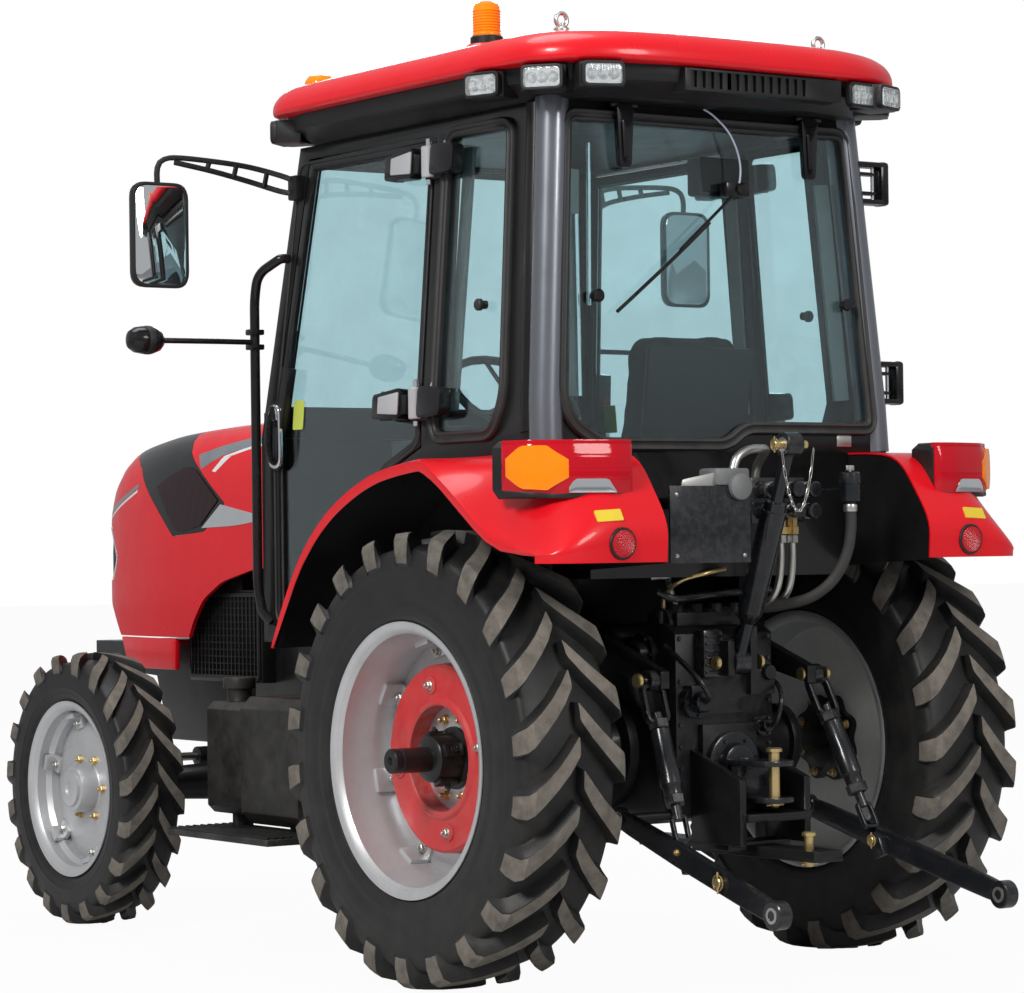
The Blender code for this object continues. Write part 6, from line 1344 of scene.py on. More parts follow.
def rearWindowFittings():
    mesh = bmesh.new()
    line = [(0.492, 2.39), (-0.492, 2.39), (-0.552, 1.537), (-0.085, 1.537), (-0.015, 1.489),
            (0.425, 1.489), (0.515, 1.545), (0.55, 1.62)]
    addSweep(mesh, densePath(line, 0.035, rearPoint(-0.001)), sealSection, (-1, 0, 0), True)
    makePiece("rearSeal", mesh, "sealRubber", angle=50)
    mesh = bmesh.new()
    outline = [(-0.015, 1.48), (-0.085, 1.537), (-0.545, 1.537), (-0.56, 1.48)]
    addSolid(mesh, outline, "yz", -0.3455, -0.3395, 0.001)
    makePiece("rearSillPanel", mesh, "blackPaint")
    # Front pane's seal
    mesh = bmesh.new()
    line = [(-0.548, 1.63), (0.548, 1.63), (0.488, 2.39), (-0.488, 2.39)]
    addSweep(mesh, densePath(line, 0.04, lambda y, z: Vector((frontPlane(z) - 0.001, y, z))), sealSection,
             (1, 0, 0), True)
    makePiece("frontSeal", mesh, "sealRubber", angle=50)
    # Two top hinges, knobs and the wiper
    mesh = bmesh.new()
    for y in (0.308, -0.35):
        outline = softLine([(y - 0.03, 2.425), (y + 0.03, 2.425), (y + 0.02, 2.25), (y - 0.02, 2.25)],
                           0.017, 5)
        place = Matrix.Translation((rearPlane(2.33), 0, 0))
        addSolid(mesh, outline, "yz", -0.024, -0.004, 0.005, 0, place)
        addSolid(mesh, [(y + (u - y) * 0.55, 2.31 + (v - 2.31) * 0.62) for u, v in outline], "yz", -0.03,
                 -0.02, 0.003, 0, place)
        addTube(mesh, [(rearPlane(2.43) - 0.016, y - 0.045, 2.425),
                       (rearPlane(2.43) - 0.016, y + 0.045, 2.425)], 0.01, 20)
        addBolt(mesh, (rearPlane(2.28) - 0.024, y, 2.272), (-1, 0, 0), 0.008, 0, 0.2)
    for y in (0.419, -0.47):
        addTurned(mesh, [(-0.012, 0.012), (0.006, 0.012), (0.01, 0.018), (0.02, 0.018), (0.025, 0.013)], 28,
                  (rearPlane(1.893), y, 1.893), (-1, 0, 0))
    makePiece("rearHinges", mesh, "glossBlack")
    mesh = bmesh.new()
    out = rearPoint(0.03)
    addBlock(mesh, (rearPlane(2.21) - 0.034, -0.115, 2.185), (rearPlane(2.21) + 0.002, -0.03, 2.228), 0.006)
    addTurned(mesh, [(-0.03, 0.016), (0.012, 0.016), (0.018, 0.01)], 24, out(-0.079, 2.209), (-1, 0, 0))
    arm = [out(-0.079, 2.209), out(0.02, 2.127), out(0.14, 2.029)]
    addSweep(mesh, arm, softBox(0.006, 0.012), (-1, 0, 0))
    blade = [rearPoint(0.012)(y, z) for y, z in ((0.02, 2.11), (0.13, 2.022), (0.25, 1.93), (0.355, 1.851))]
    addSweep(mesh, smoothLine(blade, 16), softBox(0.009, 0.01), (-1, 0, 0))
    back = [rearPoint(0.021)(y, z) for y, z in ((0.08, 2.066), (0.16, 2.006), (0.29, 1.902))]
    addSweep(mesh, smoothLine(back, 12), softBox(0.005, 0.008), (-1, 0, 0))
    makePiece("rearWiper", mesh, "glossBlack")
    mesh = bmesh.new()
    addBlock(mesh, (-0.3, -0.15, 2.19), (-0.235, 0.03, 2.3), 0.01)
    makePiece("wiperMotorCover", mesh, "blackPlastic")
    # Washer hose from the roof to the wiper
    route = [rearPoint(out)(y, z) for out, y, z in (
        (0.01, 0.021, 2.431), (0.016, -0.01, 2.412), (0.024, -0.05, 2.372), (0.03, -0.074, 2.322),
        (0.034, -0.082, 2.272), (0.034, -0.078, 2.232), (0.032, -0.072, 2.214))]
    addHose("washerHose", smoothLine(route, 30), 0.0028, 10, "paleHose")


twoSided(cabSeals)
rearWindowFittings()
print("cab fittings are on")


# Lamps: work lamps under the roof, tail lamps and reflectors on the fenders

# Columns: place along the roof, place across its half width, heading as a share of a half turn
workLamps = [(0.235, 0.955, 0.6), (0.115, 0.885, 0.72), (0.04, 0.745, 0.88), (0.935, 0.86, 0.2)]


def roofLamps(hand, side):
    bezel, lens = bmesh.new(), bmesh.new()
    for along, across, heading in workLamps + ([] if side > 0 else [(0.04, 0.605, 0.95)]):
        length = roofBox["front"] - roofBox["rear"]
        middle = Vector((roofBox["rear"] + length * along, roofBox["half"] * across, 0))
        out = Vector((math.cos(heading * math.pi), math.sin(heading * math.pi), 0))
        aside = Vector((0, 0, 1)).cross(out)
        turn = Matrix((aside, out, Vector((0, 0, 1)))).transposed().to_4x4()
        place = Matrix.Translation(middle + out * 0.03 + Vector((0, 0, 2.4747))) @ turn
        line = softRect((-0.055, -0.03), (0.055, 0.03), 0.014, 4)
        path = [place @ Vector((x, 0.0, z)) for x, z in line]
        addSweep(bezel, path, softBox(0.01, 0.022), out, True)
        addBlock(bezel, (-0.05, -0.004, -0.026), (0.05, 0.002, 0.026), 0.001, 1, place)
        for k in (-1, 0, 1):
            spot = place @ Vector((k * 0.03, 0.001, 0))
            addTurned(bezel, [(0, 0.013), (0.006, 0.0145), (0.0075, 0.0135), (0.003, 0.009),
                              (0.002, 0.004)], 20, spot, out, 1)
            addTurned(bezel, [(0.001, 0.006), (0.006, 0.006), (0.009, 0.003)], 14, spot, out, 2)
        dome = [(x * 0.93, z * 0.9) for x, z in line]
        addSolid(lens, dome, "xz", 0.0105, 0.0135, 0.0012, 0, place)
    for mesh, name, look in ((bezel, "workLampHousing.", ["blackPlastic", "chrome", "bulbGlow"]),
                             (lens, "workLampLens.", ["clearLens"])):
        makePiece(name + hand, handed(mesh, side), look)


def tailLamp(hand, side):
    line = smoothLine([(-0.626, 0.534, 0), (-0.631, 0.56, 0), (-0.63, 0.608, 0), (-0.603, 0.715, 0),
                       (-0.57, 0.762, 0), (-0.536, 0.8, 0), (-0.45, 0.834, 0)], 40)
    mesh = bmesh.new()

    def band(first, last, low, high, out, thick, slot, bulge=0.004):
        # Part of the lamp's outer wall, between two shares of its length
        start, end = int(first * 39), int(last * 39)
        loops = []
        for i in range(start, end + 1):
            along = (line[min(i + 1, 39)] - line[max(i - 1, 0)]).normalized()
            away = Vector((-along.y, along.x, 0))
            if away.x > 0:
                away = -away
            ends = 1 if start < i < end else 0
            lo, hi = low(i / 39), high(i / 39)
            outer, inner = [], []
            for k in range(7):
                t = k / 6
                z = lo + (hi - lo) * t
                swell = bulge * ends * math.sin(math.pi * t) ** 0.6
                outer.append(line[i] + away * (out + swell) + Vector((0, 0, z)))
                inner.append(line[i] + away * (out - thick) + Vector((0, 0, z)))
            loops.append(outer + inner[::-1])
        addRings(mesh, loops, False, slot)

    def rise(u):
        return 1.34 + 0.012 * max(0, u - 0.6) / 0.4

    band(0.0, 0.96, lambda u: rise(u) + 0.008, lambda u: 1.478, 0.01, 0.02, 0, 0.01)
    band(0.0, 0.96, lambda u: rise(u) - 0.004, lambda u: rise(u) + 0.008, 0.01, 0.02, 2, 0.001)
    band(0.0, 0.96, lambda u: 1.478, lambda u: 1.489, 0.008, 0.02, 0, 0.001)
    band(0.5, 0.9, lambda u: rise(u) + 0.016 + 0.03 * max(0, abs(u - 0.7) - 0.08) / 0.12,
         lambda u: 1.474 - 0.034 * max(0, abs(u - 0.7) - 0.08) / 0.12, 0.0205, 0.01, 1, 0.003)
    band(0.16, 0.5, lambda u: rise(u) + 0.01,
         lambda u: rise(u) + 0.046 - 0.03 * max(0, abs(u - 0.33) - 0.12) / 0.05, 0.0205, 0.01, 3, 0.001)
    makePiece("tailLampLenses." + hand, handed(mesh, side),
              ["redLens", "amberLens", "blackPlastic", "chrome"], angle=40)


def onFender(item, side, y, z):
    # The place and the outward direction of the fender's skin, seen from behind
    hit, spot, normal, _ = item.ray_cast(Vector((-3, side * y, z)), Vector((1, 0, 0)))
    return spot, normal


def reflectors(hand, side):
    item = bpy.data.objects["fender." + hand]
    mesh = bmesh.new()
    spot, normal = onFender(item, side, 0.609, 1.215)
    addTurned(mesh, [(-0.012, 0.043), (0.003, 0.043), (0.0055, 0.041), (0.0055, 0.03)], 40, spot, normal, 1)
    addTurned(mesh, [(0.0045, 0.0365), (0.0075, 0.036), (0.009, 0.03), (0.0095, 0.012)], 40, spot, normal)
    spot, normal = onFender(item, side, 0.64, 1.289)
    across = Vector((0, 1, 0))
    up = normal.cross(across).normalized()
    up = up if up.z > 0 else -up
    across = up.cross(normal)
    place = Matrix.Translation(spot) @ Matrix((across, up, normal)).transposed().to_4x4()
    outline = softLine([(-0.04, -0.017), (0.04, -0.017), (0.04, 0.017), (-0.04, 0.017)], 0.004, 3)
    addSolid(mesh, outline, "xy", -0.004, 0.0012, 0, 2, place)
    makePiece("reflector." + hand, mesh, ["reflector", "blackPlastic", "plainYellow"], "chassis", (), 34,
              None, False)


twoSided(roofLamps)
twoSided(tailLamp)
twoSided(reflectors)
print("lamps are on")


# Mirrors, rails and side lamps

mirrorBox = {"inner": 0.895, "outer": 1.085, "low": 1.995, "high": 2.31, "corner": 0.045}


def mirror(hand, side):
    mesh = bmesh.new()
    m = mirrorBox

    def sized(grow):
        return softRect((m["inner"] - grow, m["low"] - grow), (m["outer"] + grow, m["high"] + grow),
                        m["corner"], 6)

    rows = [(1.08, 0.0), (1.084, 0.0), (1.1, -0.002), (1.112, -0.01), (1.122, -0.028)]
    loops = [[Vector((x, y, z)) for y, z in sized(grow)] for x, grow in rows]
    addRings(mesh, loops)
    addSolid(mesh, sized(-0.01), "yz", 1.0775, 1.083, 0.001, 1)
    addSweep(mesh, [Vector((1.079, y, z)) for y, z in sized(-0.005)], softBox(0.01, 0.006), (1, 0, 0), True)
    # Ladder arm from the front post, and the hook that carries the mirror
    top = [(1.01, 0.555, 2.325), (1.04, 0.59, 2.345), (1.085, 0.68, 2.372), (1.095, 0.8, 2.384),
           (1.095, 0.93, 2.388), (1.095, 0.975, 2.376), (1.095, 0.99, 2.35), (1.095, 0.99, 2.3)]
    low = [(1.01, 0.555, 2.29), (1.04, 0.595, 2.298), (1.085, 0.68, 2.328), (1.095, 0.8, 2.354),
           (1.095, 0.93, 2.374)]
    addSweep(mesh, smoothLine(top, 30), softBox(0.016, 0.012), (1, 0, 0))
    addSweep(mesh, smoothLine(low, 24), softBox(0.016, 0.012), (1, 0, 0))
    for (x0, ya, za), (x1, yb, zb) in (((1.062, 0.63, 2.355), (1.062, 0.64, 2.31)),
                                       ((1.09, 0.72, 2.376), (1.09, 0.73, 2.338)),
                                       ((1.095, 0.81, 2.385), (1.095, 0.82, 2.356))):
        addSweep(mesh, [Vector((x0, ya, za)), Vector((x1, yb, zb))], softBox(0.014, 0.01), (1, 0, 0))
    addBlock(mesh, (0.985, 0.541, 2.27), (1.035, 0.575, 2.345), 0.006)
    makePiece("sideMirror." + hand, handed(mesh, side), ["blackPlastic", "mirrorGlass"], "chassis",
              "mirror_" + hand)


rail = {"along": 1.137, "across": 0.635, "top": 2.0956, "thick": 0.0148, "lampHeight": 1.8445}


def grabRail(hand, side):
    mesh = bmesh.new()
    x, y, top, level = rail["along"], rail["across"], rail["top"], rail["lampHeight"]
    route = [(1.045, 0.566, top), (1.05, 0.592, top), (x - 0.021, y, top - 0.045), (x, y, top - 0.12),
             (x, y, 1.7), (x, y, 1.1), (x - 0.01, 0.626, 1.02), (x - 0.03, 0.606, 0.992)]
    addTube(mesh, rounded(route, 0.05, 6, False), rail["thick"], 20)
    for z in (1.83, 1.875):
        addBlock(mesh, (x - 0.022, y - 0.022, z - 0.009), (x + 0.022, y + 0.022, z + 0.009), 0.004)
    stalk = [(x, y, level), (x + 0.004, y + 0.12, level), (x + 0.03, y + 0.31, level)]
    addTube(mesh, smoothLine(stalk, 10), 0.0085, 14)
    lamp = [(0.302, 0.01), (0.306, 0.02), (0.318, 0.033), (0.34, 0.041), (0.372, 0.042), (0.398, 0.038),
            (0.414, 0.028), (0.42, 0.01)]
    addTurned(mesh, lamp, 36, (x + 0.03, y, level))
    addTurned(mesh, [(0.345, 0.0425), (0.352, 0.0435), (0.36, 0.0435), (0.367, 0.0425)], 36,
              (x + 0.03, y, level), (0, 1, 0), 1)
    makePiece("grabRail." + hand, handed(mesh, side), ["glossBlack", "sealRubber"], "chassis",
              "grab_rail_" + hand)


twoSided(mirror)
twoSided(grabRail)
print("mirrors and rails are on")


# Hitch: rods with their forks, pins, hoses and the drawbar's pins

hitch = {"rodTop": (-0.38, 0.2903, 0.84), "rodLow": (-0.589, 0.3355, 0.38),
         "linkFront": (-0.3, 0.335, 0.46), "linkEnd": (-1.0425, 0.391, 0.26), "topPin": (-0.403, 0, 0.882),
         "topEnd": (-0.643, 0, 1.479), "chainLinks": 17}


def addLoop(mesh, centre, forward, up, width, height, bar, slot=0):
    # A flat closed loop of bar, such as a fork's yoke
    forward, up = Vector(forward).normalized(), Vector(up).normalized()
    line = softRect((-width / 2, -height / 2), (width / 2, height / 2), width * 0.3)
    addSweep(mesh, [Vector(centre) + forward * u + up * v for u, v in line], softBox(bar, bar * 1.6),
             forward.cross(up), True, slot)


def linchPin(mesh, place, axis, slot, size=1.0):
    axis, a, b = axes(axis)
    place = Vector(place)
    addTurned(mesh, [(-0.004, 0.011 * size), (0.01 * size, 0.011 * size), (0.012 * size, 0.009 * size)], 20,
              place, axis, slot)
    ring = [place + axis * 0.008 * size + a * u + b * v for u, v in circle(0.016 * size, 20)]
    addSweep(mesh, ring, circle(0.0018, 6), axis, True, slot)
    middle, reach = place + axis * 0.008 * size, b * 0.022 * size
    addTube(mesh, [middle - reach, middle + reach], 0.0022 * size, 8, slot)


def liftRod(hand, side):
    mesh = bmesh.new()
    top, low = Vector(hitch["rodTop"]), Vector(hitch["rodLow"])
    along = (low - top).normalized()
    span = (low - top).length
    across = Vector((0, 1, 0))
    addTurned(mesh, [(-0.0147, 0.026), (-0.0135, 0.0285), (0.0135, 0.0285), (0.0147, 0.026)], 32, top,
              across)
    addLoop(mesh, top + along * 0.07, across, along, 0.066, 0.105, 0.014)
    for turn in (-1, 1):
        addTurned(mesh, [(0, 0.02), (0.01, 0.02), (0.013, 0.016)], 24, top + across * turn * 0.036,
                  across * turn, 1)
    addTube(mesh, [top + along * 0.098, top + along * 0.15], 0.0135, 20)
    for at in (0.118, span - 0.17):
        nut = [(at, 0.027), (at + 0.003, 0.03), (at + 0.025, 0.03), (at + 0.028, 0.027)]
        addTurned(mesh, nut, 6, top, along)
    stops = (0.145, 0.15, 0.235, 0.24, span - 0.2, span - 0.195, span - 0.17)
    addTube(mesh, [top + along * s for s in stops], [0.02, 0.027, 0.028, 0.03, 0.03, 0.026, 0.024], 28)
    addTube(mesh, [top + along * (span - 0.142), top + along * (span - 0.1)], 0.0135, 20)
    addLoop(mesh, top + along * (span - 0.075), across, along, 0.044, 0.07, 0.01)
    addSolid(mesh, [(-0.02, -0.05), (0.02, -0.05), (0.024, 0.0), (0.012, 0.022), (-0.012, 0.022),
                    (-0.024, 0.0)], "xz", -0.011, 0.011, 0.003, 0,
             Matrix.Translation(low) @ Vector((0, 0, -1)).rotation_difference(along).to_matrix().to_4x4())
    linchPin(mesh, low - across * 0.011, (0, -1, 0), 1)
    linchPin(mesh, top, (0, 1, 0), 1, 1.2)
    makePiece("liftRod." + hand, handed(mesh, side), ["hitchBlack", "yellowZinc"], "hitch_lift_rod_" + hand,
              "lift_rod_" + hand)


def lowerLink(hand, side):
    mesh = bmesh.new()
    start, end = Vector(hitch["linkFront"]), Vector(hitch["linkEnd"])
    along = (end - start).normalized()
    route = [start + along * s for s in (0.0, 0.06, 0.3, 0.6, 0.72)] + [end]
    loops = []
    for p, width, height in zip(route, (0.02, 0.02, 0.024, 0.024, 0.022, 0.022),
                                (0.05, 0.058, 0.066, 0.064, 0.06, 0.052)):
        side0 = along.cross(Vector((0, 0, 1))).normalized()
        up = side0.cross(along)
        loops.append([p + side0 * u + up * v for u, v in softBox(width, height, 0.28)])
    addRings(mesh, loops)
    for p, half, radius in ((start, 0.0125, 0.032), (end, 0.021, 0.0375)):
        addTurned(mesh, [(-half, radius - 0.003), (-half + 0.003, radius), (half - 0.003, radius),
                         (half, radius - 0.003)], 40, p)
        addLathe(mesh, [(-half - 0.002, 0.021), (-half * 0.4, 0.0235), (half * 0.4, 0.0235),
                        (half + 0.002, 0.021), (half + 0.002, 0.0135), (-half - 0.002, 0.0135)],
                 28, p, (0, 1, 0), 2)
    spot = start + along * 0.52
    linchPin(mesh, spot + Vector((0, 0.012, 0)), (0, 1, 0), 1, 1.3)
    addBolt(mesh, start + along * 0.305 + Vector((0, 0.011, 0.008)), (0, 1, 0), 0.009, 1, 0.3)
    makePiece("lowerLink." + hand, handed(mesh, side), ["hitchBlack", "yellowZinc", "zincPlate"],
              "hitch_lower_link_" + hand, "lower_link_" + hand)


def topLink():
    mesh = bmesh.new()
    pin, end = Vector(hitch["topPin"]), Vector(hitch["topEnd"])
    along = (end - pin).normalized()
    span = (end - pin).length
    across = Vector((0, 1, 0))
    for p in (pin, end):
        addTurned(mesh, [(-0.027, 0.03), (-0.024, 0.033), (0.024, 0.033), (0.027, 0.03)], 36, p, across)
        addLathe(mesh, [(-0.0285, 0.02), (-0.01, 0.024), (0.01, 0.024), (0.0285, 0.02), (0.0285, 0.0125),
                        (-0.0285, 0.0125)], 28, p, across, 2)
    stops = (0.025, 0.12, 0.125, 0.15, 0.155, span * 0.7, span * 0.705, span * 0.74, span * 0.745,
             span - 0.026)
    addTube(mesh, [pin + along * s for s in stops],
            [0.018, 0.02, 0.026, 0.034, 0.0355, 0.0355, 0.031, 0.03, 0.018, 0.018], 32)
    addTube(mesh, [end + across * s for s in (-0.058, -0.055, 0.052, 0.056)],
            [0.009, 0.0118, 0.0118, 0.009], 20, 1)
    linchPin(mesh, end + across * 0.046, (0, 1, 0), 1, 1.0)
    # Chain between the pin's ends
    count = hitch["chainLinks"]
    hang = [Vector((-0.672, 0.052 - 0.11 * k / count,
                    1.462 - 0.165 * math.sin(math.pi * k / count) ** 0.75))
            for k in range(count + 1)]
    for k in range(count):
        middle, run = (hang[k] + hang[k + 1]) / 2, hang[k + 1] - hang[k]
        turn = Vector((1, 0, 0)) if k % 2 else Vector((1, 0, 0)).cross(run).normalized()
        other = turn.cross(run).normalized()
        ring = [middle + run * u + other * v for u, v in circle(0.66, 12, 0.0038)]
        addSweep(mesh, ring, circle(0.0011, 5), turn, True, 2)
    makePiece("topLink", mesh, ["hitchBlack", "yellowZinc", "zincPlate"], "hitch_top_link", "top_link")


def drawbarPins():
    mesh = bmesh.new()
    for x, low, high, radius in ((-0.556, 0.486, 0.651, 0.015), (-0.7, 0.335, 0.43, 0.013)):
        addTurned(mesh, [(low, radius * 0.7), (low + 0.006, radius), (high - 0.012, radius),
                         (high - 0.011, radius * 1.5), (high - 0.003, radius * 1.5), (high, radius * 1.2)],
                  28, (x, 0, 0), (0, 0, 1))
        addTurned(mesh, [(low + 0.012, radius * 1.9), (low + 0.016, radius * 2.0),
                         (low + 0.02, radius * 1.9)], 28, (x, 0, 0), (0, 0, 1))
        addTube(mesh, [(x, -0.03, low + 0.008), (x, 0.03, low + 0.008)], 0.003, 10)
    makePiece("drawbarPins", mesh, "yellowZinc")
    # Jaw that the upper pin passes through
    mesh = bmesh.new()
    for z in (0.5, 0.6):
        outline = softLine([(-0.4, -0.07), (-0.6, -0.055), (-0.6, 0.055), (-0.4, 0.07)], 0.05, 5)
        addSolid(mesh, outline, "xy", z, z + 0.016, 0.004)
    addBlock(mesh, (-0.47, -0.06, 0.505), (-0.44, 0.06, 0.612), 0.004)
    makePiece("drawbarJaw", mesh, "hitchBlack")


def rearPipes():
    mesh = bmesh.new()
    # Coupler block on the cab's rear wall
    addBlock(mesh, (-0.435, -0.222, 1.265), (-0.345, -0.03, 1.395), 0.005)
    for y in (-0.062, -0.132, -0.19):
        for z in (1.3, 1.36):
            addTurned(mesh, [(0, 0.024), (0.03, 0.024), (0.034, 0.02), (0.07, 0.02), (0.074, 0.022),
                             (0.088, 0.022), (0.092, 0.018)], 28, (-0.435, y, z), (-1, 0, 0))
            addTurned(mesh, [(0.04, 0.0215), (0.052, 0.0215)], 28, (-0.435, y, z), (-1, 0, 0), 1)
    for y in (-0.104, -0.146):
        addTurned(mesh, [(-0.02, 0.015), (0.012, 0.015), (0.014, 0.019), (0.034, 0.019), (0.036, 0.012)], 6,
                  (-0.47, y, 1.27), (0, 0, -1), 2)
        addTurned(mesh, [(0.036, 0.014), (0.038, 0.017), (0.058, 0.017), (0.06, 0.012)], 6,
                  (-0.47, y, 1.27), (0, 0, -1), 1)
        route = [(-0.47, y, 1.24), (-0.47, y, 1.16), (-0.462, y + 0.006, 1.09), (-0.43, y + 0.012, 1.05),
                 (-0.36, y + 0.012, 1.035), (-0.3, y + 0.012, 1.01)]
        addTube(mesh, smoothLine(route, 26), 0.0105, 16, 1)
    # Grey isolator and its pipe
    addBlock(mesh, (-0.6, 0.105, 1.368), (-0.52, 0.222, 1.416), 0.008, 3)
    addTurned(mesh, [(0, 0.036), (0.014, 0.036), (0.018, 0.03)], 36, (-0.6, 0.146, 1.366), (-1, 0, 0), 3)
    outline = softLine([(0.215, 1.345), (0.335, 1.352), (0.33, 1.385), (0.215, 1.405)], 0.01, 3)
    addSolid(mesh, outline, "yz", -0.59, -0.584, 0.001, 1)
    addBlock(mesh, (-0.585, 0.1, 1.34), (-0.345, 0.14, 1.374), 0.004)
    addTube(mesh, smoothLine([(-0.56, 0.135, 1.405), (-0.56, 0.118, 1.445), (-0.555, 0.075, 1.466),
                              (-0.54, 0.02, 1.47), (-0.5, -0.03, 1.466), (-0.44, -0.05, 1.43),
                              (-0.42, -0.055, 1.39)], 26), 0.0125, 18, 1)
    # Filter canister on its bracket
    addBlock(mesh, (-0.6, -0.262, 1.355), (-0.345, -0.236, 1.361), 0.001)
    addTurned(mesh, [(1.322, 0.02), (1.325, 0.029), (1.372, 0.029), (1.374, 0.031), (1.386, 0.031),
                     (1.402, 0.029), (1.406, 0.024)], 36, (-0.6, -0.249, 0), (0, 0, 1))
    addTurned(mesh, [(1.404, 0.004), (1.42, 0.004)], 12, (-0.6, -0.249, 0), (0, 0, 1), 1)
    for y in (-0.263, -0.249):
        addBlock(mesh, (-0.602, y, 1.41), (-0.598, y + 0.014, 1.424), 0.0005, 1)
    addTurned(mesh, [(1.296, 0.0185), (1.3, 0.02), (1.312, 0.02), (1.316, 0.0185)], 28, (-0.6, -0.249, 0),
              (0, 0, 1), 1)
    # Smooth dark plate over the cab's rear plate, and a blank rating plate
    addBlock(mesh, (-0.602, 0.108, 1.16), (-0.5995, 0.382, 1.368), 0.001, 0)
    for y, z in ((0.36, 1.345), (0.36, 1.18), (0.13, 1.18)):
        addBolt(mesh, (-0.602, y, z), (-1, 0, 0), 0.005, 1, 0)
    addBlock(mesh, (-0.3475, -0.472, 1.485), (-0.3455, -0.418, 1.52), 0.0008, 1)
    # Valve bodies, unions and lines on the housing's rear
    for y, z, radius, reach, slot in ((0.06, 0.985, 0.026, 0.05, 0), (0.14, 0.985, 0.018, 0.06, 1),
                                      (-0.06, 0.985, 0.02, 0.05, 0), (0.1, 0.985, 0.012, 0.085, 1),
                                      (-0.1, 0.985, 0.012, 0.07, 2)):
        addTurned(mesh, [(0, radius), (reach * 0.4, radius), (reach * 0.45, radius * 0.7),
                         (reach, radius * 0.7)], 24, (-0.25, y, z - 0.02), (0, 0, 1), slot)
    for route, radius, slot in (
            ([(-0.25, 0.14, 1.02), (-0.27, 0.15, 1.07), (-0.32, 0.13, 1.11), (-0.36, 0.07, 1.13),
              (-0.35, 0.0, 1.14)], 0.006, 2),
            ([(-0.25, 0.1, 1.04), (-0.25, 0.12, 1.1), (-0.28, 0.15, 1.12), (-0.26, 0.19, 1.12)], 0.008, 1),
            ([(-0.3, 0.2, 1.08), (-0.32, 0.15, 1.06), (-0.32, 0.02, 1.07), (-0.3, -0.2, 1.08)], 0.011, 0)):
        addTube(mesh, smoothLine(route, 22), radius, 14, slot)
    makePiece("rearPipes", mesh, ["hitchBlack", "zincPlate", "yellowZinc", "greyPlastic"])
    path = smoothLine([(-0.6, -0.249, 1.322), (-0.601, -0.249, 1.25), (-0.592, -0.24, 1.18),
                       (-0.565, -0.215, 1.11), (-0.52, -0.175, 1.062), (-0.465, -0.125, 1.04),
                       (-0.4, -0.08, 1.03), (-0.33, -0.06, 1.02)], 40)
    addHose("breatherHose", path, 0.0155, 20, "hoseRubber")


def housingCovers():
    # Covers, flanges, ribs and bolts that round off the gearbox's rear
    mesh = bmesh.new()

    def cover(place, axis, radius, deep, bolts, slot=0):
        rows = [(-0.01, radius), (deep * 0.3, radius), (deep * 0.36, radius * 0.95),
                (deep * 0.36, radius * 0.66), (deep * 0.92, radius * 0.6), (deep, radius * 0.52),
                (deep, radius * 0.2)]
        addTurned(mesh, rows, 40, place, axis, slot)
        heading, a, b = axes(axis)
        for u, v in circle(radius * 0.81, bolts):
            addBolt(mesh, Vector(place) + heading * deep * 0.36 + a * u + b * v, axis, 0.006, 0, 0)

    cover((-0.372, 0.0, 0.6), (-1, 0, 0), 0.088, 0.04, 6)
    cover((-0.35, 0.115, 0.775), (-1, 0, 0), 0.048, 0.055, 4)
    cover((-0.35, -0.12, 0.85), (-1, 0, 0), 0.036, 0.05, 4)
    cover((-0.352, -0.125, 0.7), (-1, 0, 0), 0.03, 0.032, 3)
    cover((-0.2, 0.17, 0.905), (0, 1, 0), 0.06, 0.045, 6)
    cover((-0.2, -0.17, 0.905), (0, -1, 0), 0.06, 0.045, 6)
    addTube(mesh, [(-0.24, -0.15, 0.985), (-0.24, 0.15, 0.985)], 0.052, 36)
    addTube(mesh, [(-0.38, 0.0, 0.6), (-0.435, 0.0, 0.6)], 0.0175, 24, 1)
    addBlock(mesh, (-0.385, 0.035, 0.84), (-0.338, 0.105, 0.975), 0.01)
    for k in range(6):
        addBlock(mesh, (-0.39, 0.041, 0.852 + k * 0.02), (-0.36, 0.099, 0.859 + k * 0.02), 0.002)
    addBlock(mesh, (-0.372, -0.1, 0.915), (-0.338, -0.04, 0.985), 0.01)
    for k in range(9):
        for side in (1, -1):
            addBolt(mesh, (-0.34, side * 0.157, 0.47 + k * 0.06), (-1, 0, 0), 0.007, 0, 0)
    for side in (1, -1):
        addTurned(mesh, [(0, 0.019), (0.009, 0.019), (0.012, 0.015)], 24, (-0.403, side * 0.072, 0.882),
                  (0, side, 0), 2)
    for route, radius in (([(-0.4, 0.115, 0.775), (-0.43, 0.125, 0.79), (-0.43, 0.15, 0.83),
                            (-0.38, 0.17, 0.88), (-0.3, 0.175, 0.93)], 0.008),
                          ([(-0.39, -0.125, 0.7), (-0.42, -0.125, 0.72), (-0.42, -0.14, 0.78),
                            (-0.37, -0.16, 0.82), (-0.3, -0.172, 0.83)], 0.007)):
        addTube(mesh, smoothLine(route, 20), radius, 12)
    makePiece("housingCovers", mesh, ["hitchBlack", "zincPlate", "yellowZinc"])


twoSided(liftRod)
twoSided(lowerLink)
topLink()
drawbarPins()
rearPipes()
housingCovers()
print("hitch is on")


# Radiator screens and steps

screen = {"rear": 1.785, "front": 2.235, "low": 0.79, "high": 1.065, "uprights": 18, "bars": 12,
          "treads": 9}


